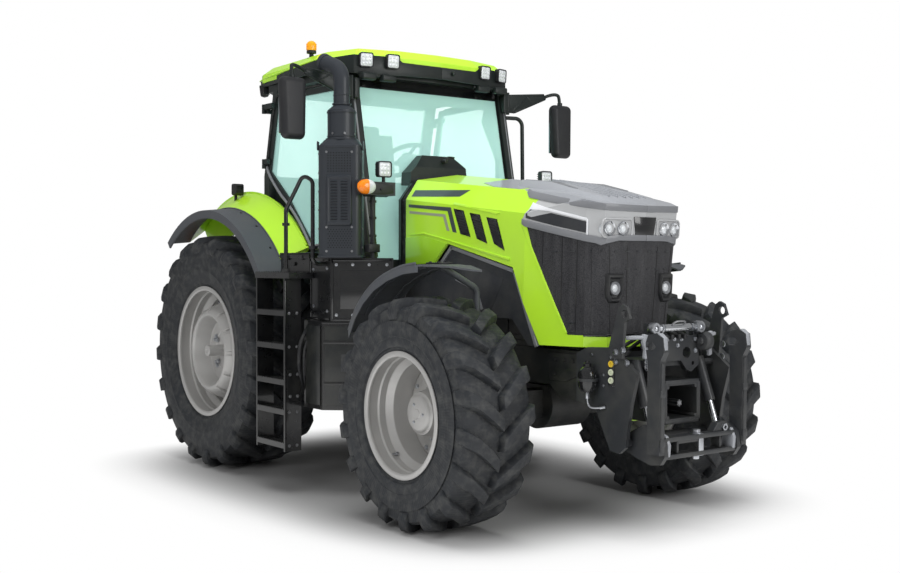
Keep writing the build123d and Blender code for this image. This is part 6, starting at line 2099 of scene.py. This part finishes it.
pocket_x = front_end + 0.4
pocket_rim = []
for y0, y1, z0, z1 in ((-0.156, 0.156, 0.906, 0.926), (-0.156, 0.156, 0.674, 0.694),
        (-0.156, -0.138, 0.674, 0.926), (0.138, 0.156, 0.674, 0.926)):
    pocket_rim.append(block(at(pocket_x - 0.02, y0, z0), at(pocket_x + 0.002, y1, z1), 0.004))
corner_fillets = [rod(at(pocket_x - 0.26, side * 0.118, z), at(pocket_x + 0.001, side * 0.118, z),
    0.012, 16) for side in (-1, 1) for z in (0.712, 0.888)]
dress(pocket_rim + corner_fillets, "pocket_rim", dark_paint)
stub_collar = turned([(0, 0.017), (0, 0.062), (0.03, 0.062), (0.04, 0.04), (0.11, 0.034),
    (0.12, 0.017)], at(front_end + 0.101, 0, 0.79), "X", steps=40)
dress(stub_collar, "drive_collar", dark_paint, 40)
spline = block(at(front_end + 0.3, -0.003, 0.805), at(front_end + 0.381, 0.003, 0.8105), 0.001)
splines = ring_of(spline, 6, at(front_end + 0.34, 0, 0.79), "X")
tip = turned([(0, needle), (0, 0.014), (0.004, 0.01), (0.004, needle)],
    at(front_end + 0.38, 0, 0.79), "X", steps=24)
dress([splines, tip], "drive_splines", bare_steel)

# %% [markdown]
# The moving pieces of the linkage get their own fixings, each riding the body that carries it: the
# rocker's cross bars with a strap and a large nut, and the folding arms with a welded spine, a cast
# catch at the top and plated side covers. They stay thin, so that the arms still fold past the
# plates.

# %% The rocker
pivot_x, pivot_z = front_end + 0.3, 0.58
fold_x, fold_z = front_end + 0.52, 0.58
rocker_strap = [block(at(fold_x + 0.018, -0.02, fold_z - 0.074),
    at(fold_x + 0.026, 0.02, fold_z + 0.052), 0.002)]
rocker_nut = rod(at(fold_x - 0.015, 0, fold_z + 0.048), at(fold_x - 0.015, 0, fold_z + 0.074),
    0.026, 6, 0.003)
washer = rod(at(fold_x - 0.015, 0, fold_z + 0.046), at(fold_x - 0.015, 0, fold_z + 0.053), 0.036,
    32, 0.001)
lower_nut = rod(at(fold_x - 0.015, 0, fold_z - 0.098), at(fold_x - 0.015, 0, fold_z - 0.07), 0.02,
    6, 0.003)
dress(rocker_strap + [rocker_nut, washer, lower_nut], "rocker_strap", zinc, body="front_rocker")
edge_rails = [block(at(fold_x + 0.016, -0.3, fold_z + lift),
    at(fold_x + 0.03, 0.3, fold_z + lift + 0.026), 0.005, 3) for lift in (-0.072, 0.024)]
edge_rails += [block(at(fold_x - 0.052, side * 0.18 - 0.008, fold_z - 0.046),
    at(fold_x + 0.012, side * 0.18 + 0.008, fold_z + 0.024), 0.003) for side in (-1, 1)]
dress(edge_rails, "rocker_rails", dark_paint, body="front_rocker")
ring_plate = drawn([front_view(x, ((0.12, fold_z + 0.052), (0.16, fold_z + 0.1),
    (0.23, fold_z + 0.104), (0.284, fold_z + 0.07), (0.284, fold_z + 0.046),
    (0.12, fold_z + 0.046))) for x in (fold_x - 0.04, fold_x + 0.01)], 0.006, 3)
ring_nut = turned([(0.009, 0.012), (0.009, 0.024), (0.02, 0.022), (0.02, 0.012)],
    at(fold_x, 0.215, fold_z + 0.07), "X", steps=6)
dress(ring_plate, "rocker_lug", dark_paint, body="front_rocker")
dress(ring_nut, "rocker_lug_nut", zinc, body="front_rocker")
cover_plates = [plate([at(fold_x + x, side * 0.262, fold_z + z) for x, z in ((-0.06, -0.06),
    (0.034, -0.058), (0.04, 0.01), (0.02, 0.06), (-0.04, 0.08))], (0, side * 0.026, 0), 0.007)
    for side in (-1, 1)]
dress(cover_plates, "rocker_covers", cover_grey, body="front_rocker")
rocker_bolts = bolts([at(pivot_x + x, 0.286, pivot_z + z)
    for x, z in ((0.11, -0.04), (0.15, 0.06))], (0, -1, 0), 0.011, 0.008)
dress_both(rocker_bolts, "rocker_bolts", zinc, body="front_rocker")

# %% The folding arms
arm_inner, arm_outer = 0.326, 0.368
spine = drawn([[at(x, arm_inner + 0.006, z), at(x + 0.01, arm_inner + 0.01, z),
    at(x + 0.01, arm_outer - 0.01, z), at(x, arm_outer - 0.006, z)]
    for x, z in ((fold_x + 0.044, 0.56), (fold_x + 0.046, 0.7), (fold_x + 0.049, 1.05))], 0.002)
spine_pads = [block(at(fold_x + 0.044, arm_inner + 0.002, z), at(fold_x + 0.058, arm_outer - 0.002,
    z + 0.04), 0.004) for z in (0.59, 0.86)]
dress_both([spine] + spine_pads, "arm_spines", dark_paint, body="front_links")
jaw = drawn([[at(fold_x + x, y, z) for x, z in ((0.064, 1.108), (0.077, 1.118), (0.073, 1.19),
    (0.038, 1.216), (0.02, 1.214), (0.06, 1.18))] for y in (arm_inner + 0.004, arm_outer - 0.004)],
    0.005, 3)
latch = block(at(fold_x - 0.04, arm_inner + 0.01, 1.098),
    at(fold_x + 0.004, arm_outer - 0.01, 1.118), 0.004)
dress_both([jaw, latch], "arm_jaws", cover_grey, body="front_links")
arm_caps = joined([rod(at(fold_x, arm_inner - 0.002, fold_z), at(fold_x, arm_inner - 0.001, fold_z),
    0.03, 32, 0), block(at(fold_x - 0.046, arm_inner - 0.001, 0.7),
    at(fold_x + 0.046, arm_inner + 0.004, 0.76), 0.001)])
dress_both(arm_caps, "arm_straps", dark_paint, body="front_links")

# %% [markdown]
# Behind and below, nobody looks closely in a brochure, but a part in a library is turned round. The
# back gets a guard over the drive stub, a drawbar pin, a valve block with couplers, link balls, a
# blank number plate and a rear wiper. All are plates, pins and turned pieces as before.

# %% The rear hitch
hitch_front = -0.38
hitch_back = hitch_front - 0.095
pto_z = rear_radius - 0.185
guard = drawn([front_view(hitch_back + 0.002 - dx, ((-0.15, pto_z - 0.02), (-0.15, pto_z + 0.11),
    (-0.1, pto_z + 0.15), (0.1, pto_z + 0.15), (0.15, pto_z + 0.11), (0.15, pto_z - 0.02),
    (0.142, pto_z - 0.02), (0.142, pto_z + 0.106), (0.096, pto_z + 0.142), (-0.096, pto_z + 0.142),
    (-0.142, pto_z + 0.106), (-0.142, pto_z - 0.02))) for dx in (0.0, 0.15)], 0.002)
dress(guard, "rear_drive_guard", dark_paint)
rear_spline = block(at(hitch_back - 0.11, -0.003, pto_z + 0.015),
    at(hitch_back - 0.02, 0.003, pto_z + 0.0205), 0.001)
rear_collar = turned([(0, needle), (0, 0.06), (-0.014, 0.06), (-0.02, 0.03), (-0.02, needle)],
    at(hitch_back + 0.001, 0, pto_z), "X", steps=36)
dress([ring_of(rear_spline, 6, at(hitch_back, 0, pto_z), "X"), rear_collar], "rear_drive_splines",
    bare_steel)
drawbar_pin = joined([rod(at(-0.95, 0, 0.395), at(-0.95, 0, 0.5), 0.0155, 28),
    rod(at(-0.95, 0, 0.5), at(-0.95, 0, 0.516), 0.03, 28),
    bent_tube([at(-0.95, -0.012, 0.51), at(-0.95, -0.02, 0.56), at(-0.95, 0, 0.58),
    at(-0.95, 0.02, 0.56), at(-0.95, 0.012, 0.51)], 0.005)])
dress(drawbar_pin, "drawbar_pin", zinc, 50)
cover_bolts = bolts([at(hitch_back - 0.0005, y, z) for y in (-0.2, 0.2)
    for z in (0.56, 0.72, 0.9, 1.06, 1.22)] + [at(hitch_back - 0.0005, y, z) for y in (-0.08, 0.08)
    for z in (0.96, 1.25)], (-1, 0, 0), 0.012, 0.01)
dress(cover_bolts, "rear_case_bolts", zinc)
case_ribs = [block(at(hitch_back - 0.006, y - 0.006, 0.98), at(hitch_back + 0.002, y + 0.006, 1.23),
    0.002) for y in (-0.15, 0.05, 0.15, -0.05)]
dress(case_ribs, "rear_case_ribs", cast_grey)
valve = block(at(-0.45, -0.22, 1.298), at(-0.385, 0.22, 1.42), 0.008)
valve_caps = []
for column in range(4):
    for z in (1.335, 1.385):
        valve_caps.append(coupler(at(-0.449, -0.165 + column * 0.11, z), (-1, 0, 0), (0, 1, 0)))
dress(valve, "rear_valve_block", dark_paint)
dress(valve_caps[::2], "rear_couplers_yellow", yellow_cap, 50)
dress(valve_caps[1::2], "rear_couplers_blue", blue_cap, 50)
eye_rings = [sleeve(at(-1.255, y, 0.52), 0.031, 0.0195, 0.034, "Y", 32) for y in (-0.43, 0.43)]
dress(eye_rings, "lower_link_balls", chrome, 50, body="lower_links")
link_caps = [block(at(-0.72, side * 0.338 - 0.014, 0.552), at(-0.64, side * 0.338 + 0.014, 0.56),
    0.002) for side in (-1, 1)]
dress(link_caps, "lower_link_pads", dark_paint, body="lower_links")
lift_ends = bolt(at(-0.825, 0.29, 1.21), (0, 1, 0), 0.02, 0.01)
dress_both(lift_ends, "lift_arm_caps", zinc, body="lift_arms")

# %% [markdown]
# The rear of the cab carries a blank number plate with its lamp, a wiper and a grab bar, and the
# underside shows the axle's ring of bolts. The plate stays empty: a reused part has no
# registration.

# %% The back of the cab and the axles
number_plate = block(at(0.232, -0.26, 1.9), at(0.246, 0.26, 2.02), 0.003)
dress(number_plate, "number_plate", trim_silver)
rear_trim = [block(at(0.236, -0.6, 2.215), at(0.252, 0.6, 2.262), 0.006),
    block(at(0.236, -0.56, 1.56), at(0.252, -0.3, 1.86), 0.008),
    block(at(0.236, 0.3, 1.56), at(0.252, 0.56, 1.86), 0.008)]
dress(rear_trim, "cab_rear_trims", black_plastic)
rear_wiper = joined([rod(at(0.262, -0.05, 2.29), at(0.236, -0.05, 2.29), 0.022),
    bent_tube([at(0.24, -0.05, 2.29), at(0.246, 0.06, 2.33), at(0.258, 0.26, 2.38)], 0.006),
    block(at(0.248, 0.06, 2.37), at(0.262, 0.48, 2.384), 0.003)])
dress(rear_wiper, "rear_wiper", black_plastic, 45)
axle_bolts = []
for number in range(16):
    a = math.tau * number / 16
    axle_bolts.append(bolt(axle + Vector((0.29 * math.cos(a), 0.2605, 0.29 * math.sin(a))),
        (0, 1, 0), 0.012, 0.01))
dress_both(axle_bolts, "axle_bolts", bare_steel)
repaint(green_paint, "knuckle_left", "knuckle_right")
steer_boots = [turned([(side * (0.232 + step * 0.012), 0.044 if step % 2 else 0.034)
    for step in range(9)] + [(side * 0.328, 0.012), (side * 0.232, 0.012)],
    at(wheelbase - 0.13, 0, front_radius + 0.01), "Y", steps=28) for side in (-1, 1)]
dress(steer_boots, "steering_boots", rubber_dark, 30)
for side, label in ((1, "left"), (-1, "right")):
    place = at(wheelbase, side * 0.7, front_radius + 0.176)
    ring = turned([(0, 0.03), (0, 0.062), (0.01, 0.058), (0.014, 0.03)], place, "Z", steps=28)
    grease = rod(place + Vector((0.045, 0, 0.006)), place + Vector((0.045, 0, 0.024)), 0.006, 6)
    dress([ring, grease], f"knuckle_cap_{label}", green_paint, body=f"steer_{label}")
frame_ribs = [plate(side_view(0.2905, ((3.08, 1.05), (3.44, 1.05), (3.44, 0.96), (3.24, 0.88),
    (3.08, 0.88))), (0, 0.008, 0), 0.003)]
frame_ribs.append(flank_bolts([(3.14, 1.01), (3.22, 1.01), (3.3, 1.01), (3.38, 1.01), (3.14, 0.92)],
    0.298, 0.013, 0.01))
dress_both(frame_ribs, "frame_pads", cast_grey)

# %% [markdown]
# With the bonnet open the engine shows, so it is more than a block: a ribbed rocker cover with
# filler cap, an air cleaner with its pipe, a cooling pack with fan and shroud, belt pulleys, a
# manifold on one flank and filters on the other. All are turned pieces, bars and bent tubes that
# end on the block.

# %% The engine and its cooling pack
engine_low, engine_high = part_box("engine_block")
block_back, block_front = engine_low.x - rear_axle_x, engine_high.x - rear_axle_x
block_half, block_top = engine_high.y, engine_high.z
cam_cover = [block(at(block_back + 0.06, -0.07, block_top - 0.004),
    at(block_front - 0.14, 0.17, block_top + 0.07), 0.022, 3)]
cam_cover += [block(at(block_back + 0.12 + number * 0.12, -0.055, block_top + 0.064),
    at(block_back + 0.136 + number * 0.12, 0.155, block_top + 0.078), 0.003) for number in range(7)]
dress(cam_cover, "engine_cam_cover", cast_grey)
cap_place = at(block_back + 0.175, 0.05, block_top + 0.07)
oil_cap = turned([(0, needle), (0, 0.03), (0.016, 0.036), (0.034, 0.036), (0.038, 0.03),
    (0.038, needle)], cap_place, "Z", steps=28)
dress(oil_cap, "oil_filler_cap", yellow_cap, 50)
cover_screws = bolts([at(x, y, block_top + 0.006) for x in (block_back + 0.11, block_back + 0.35,
    block_back + 0.59, block_front - 0.18) for y in (-0.088, 0.188)], (0, 0, 1), 0.01, 0.01)
dress(cover_screws, "engine_cover_bolts", zinc)
cleaner = turned([(0, needle), (0, 0.07), (0.02, 0.078), (0.06, 0.078), (0.066, 0.072),
    (0.44, 0.072), (0.446, 0.08), (0.47, 0.08), (0.48, 0.052), (0.5, 0.04), (0.5, needle)],
    at(block_back + 0.08, -0.18, block_top + 0.074), "X", steps=40)
dress(cleaner, "air_cleaner", black_plastic, 40)
intake = joined([bent_tube([at(block_back + 0.57, -0.18, block_top + 0.074),
    at(block_back + 0.7, -0.18, block_top + 0.08), at(block_front - 0.16, -0.17, block_top + 0.06),
    at(block_front + 0.06, -0.19, block_top - 0.06),
    at(block_front + 0.16, -0.215, block_top - 0.16)], 0.034, sides=20),
    bent_tube([at(block_front - 0.2, 0.12, block_top + 0.03),
    at(block_front - 0.04, 0.19, block_top + 0.03), at(block_front + 0.08, 0.215, block_top - 0.06),
    at(block_front + 0.16, 0.215, block_top - 0.16)], 0.028, sides=20)])
dress(intake, "engine_pipes", hose_rubber, 40)
pack_back, pack_front, pack_top = block_front + 0.16, block_front + 0.33, 1.69
pack = [block(at(pack_back, side * 0.245 - 0.025, 1.068),
    at(pack_front, side * 0.245 + 0.025, pack_top), 0.008) for side in (-1, 1)]
pack += [block(at(pack_back, -0.225, 1.068), at(pack_front, 0.225, 1.11), 0.006),
    block(at(pack_back, -0.225, pack_top - 0.05), at(pack_front, 0.225, pack_top), 0.01)]
dress(pack, "cooling_tanks", dark_paint)
core = block(at(pack_back + 0.012, -0.222, 1.1), at(pack_front - 0.012, 0.222, pack_top - 0.046),
    0.002)
dress(core, "cooling_core", grille_mesh)
tubes = [block(at(pack_front - 0.014, -0.22, z), at(pack_front - 0.006, 0.22, z + 0.005), 0.001)
    for z in (1.125 + number * 0.026 for number in range(20))]
dress(tubes, "cooling_tubes", zinc)
fan_place = at(pack_back - 0.07, 0, 1.39)
shroud_ring = turned([(0.072, 0.222), (0.02, 0.205), (-0.01, 0.205), (-0.01, 0.212), (0.018, 0.212),
    (0.068, 0.229)], fan_place, "X", steps=56)
dress(shroud_ring, "fan_shroud", black_plastic, 40)
blade = drawn([[fan_place + Vector((lean + depth, sweep + width, reach))
    for depth, width in ((-0.0015, -half), (0.0015, -half), (0.0015 + turn, half),
    (-0.0015 + turn, half))] for reach, half, sweep, lean, turn in ((0.04, 0.022, 0.0, 0.004, 0.02),
    (0.11, 0.034, 0.01, 0.0, 0.018), (0.192, 0.04, 0.026, 0.0, 0.012))], 0.0008)
hub = turned([(-0.03, needle), (-0.03, 0.04), (0.02, 0.052), (0.034, 0.046), (0.034, needle)],
    fan_place, "X", steps=32)
shaft = rod(at(block_front - 0.002, 0, 1.39), at(pack_back - 0.096, 0, 1.39), 0.022, 20)
dress([ring_of(blade, 8, fan_place, "X"), hub, shaft], "cooling_fan", rubber_dark)
pulleys = [turned([(0, needle), (0, radius), (0.008, radius - 0.005), (0.02, radius - 0.005),
    (0.028, radius), (0.028, needle)], at(block_front - 0.001, y, z), "X", steps=36)
    for y, z, radius in ((0, 1.215, 0.088), (0, 1.39, 0.062), (0.18, 1.52, 0.048),
    (-0.18, 1.47, 0.052))]
dress(pulleys, "belt_pulleys", bare_steel, 40)
belt = bent_tube(front_view(block_front + 0.013, ((0.088, 1.215), (0.226, 1.5), (0.2, 1.562),
    (0.15, 1.56), (0.01, 1.452), (-0.15, 1.514), (-0.205, 1.514), (-0.232, 1.46), (-0.086, 1.195),
    (0, 1.128), (0.07, 1.16), (0.088, 1.215))), 0.006)
dress(belt, "drive_belt", rubber_dark, 40)

# %% [markdown]
# The flanks of the block carry the manifold and the filters. Heat turns a bare manifold brown, so
# it has the soot finish of the exhaust. The ledge is where the cylinder head sits.

# %% Engine flanks
head_line = block_top - 0.24
ledge = [block(at(block_back + 0.02, block_half - 0.004, head_line),
    at(block_front - 0.02, block_half + 0.012, head_line + 0.02), 0.004),
    block(at(block_back + 0.02, block_half - 0.004, 1.11),
    at(block_front - 0.02, block_half + 0.014, 1.14), 0.004)]
ledge += [block(at(block_back + 0.08 + number * 0.165, block_half - 0.003, 1.15),
    at(block_back + 0.1 + number * 0.165, block_half + 0.008, head_line - 0.01), 0.004)
    for number in range(6)]
dress_both(ledge, "engine_ledges", cast_grey)
log_z = head_line + 0.13
ports = [rod(at(block_back + 0.14 + number * 0.15, block_half - 0.004, log_z),
    at(block_back + 0.14 + number * 0.15, block_half + 0.05, log_z), 0.026, 20)
    for number in range(6)]
ports.append(bent_tube([at(block_back + 0.11, block_half + 0.052, log_z),
    at(block_front - 0.3, block_half + 0.052, log_z), at(block_front - 0.18, block_half + 0.052,
    log_z)], 0.03, sides=20))
dress(ports, "exhaust_manifold", soot_and_painted_shade, 40, slot="cast_grey")
cans = []
for number in range(2):
    place = at(block_back + 0.3 + number * 0.17, -block_half - 0.062, 1.21)
    cans.append(turned([(0, needle), (0, 0.03), (0.01, 0.05), (0.17, 0.052), (0.176, 0.048),
        (0.184, 0.048), (0.19, 0.056), (0.214, 0.056), (0.214, needle)], place, "Z", steps=36))
dress(cans, "fuel_filters", cover_grey, 40)
filter_head = block(at(block_back + 0.23, -block_half - 0.118, 1.42),
    at(block_back + 0.54, -block_half + 0.004, 1.47), 0.01)
dress(filter_head, "fuel_filter_head", cast_grey)


# %% [markdown]
# Last, the number of added pieces and of their faces is printed.


print("pieces:", len(total_pieces), "faces:",
    sum(len(piece.data.polygons) for piece in total_pieces))
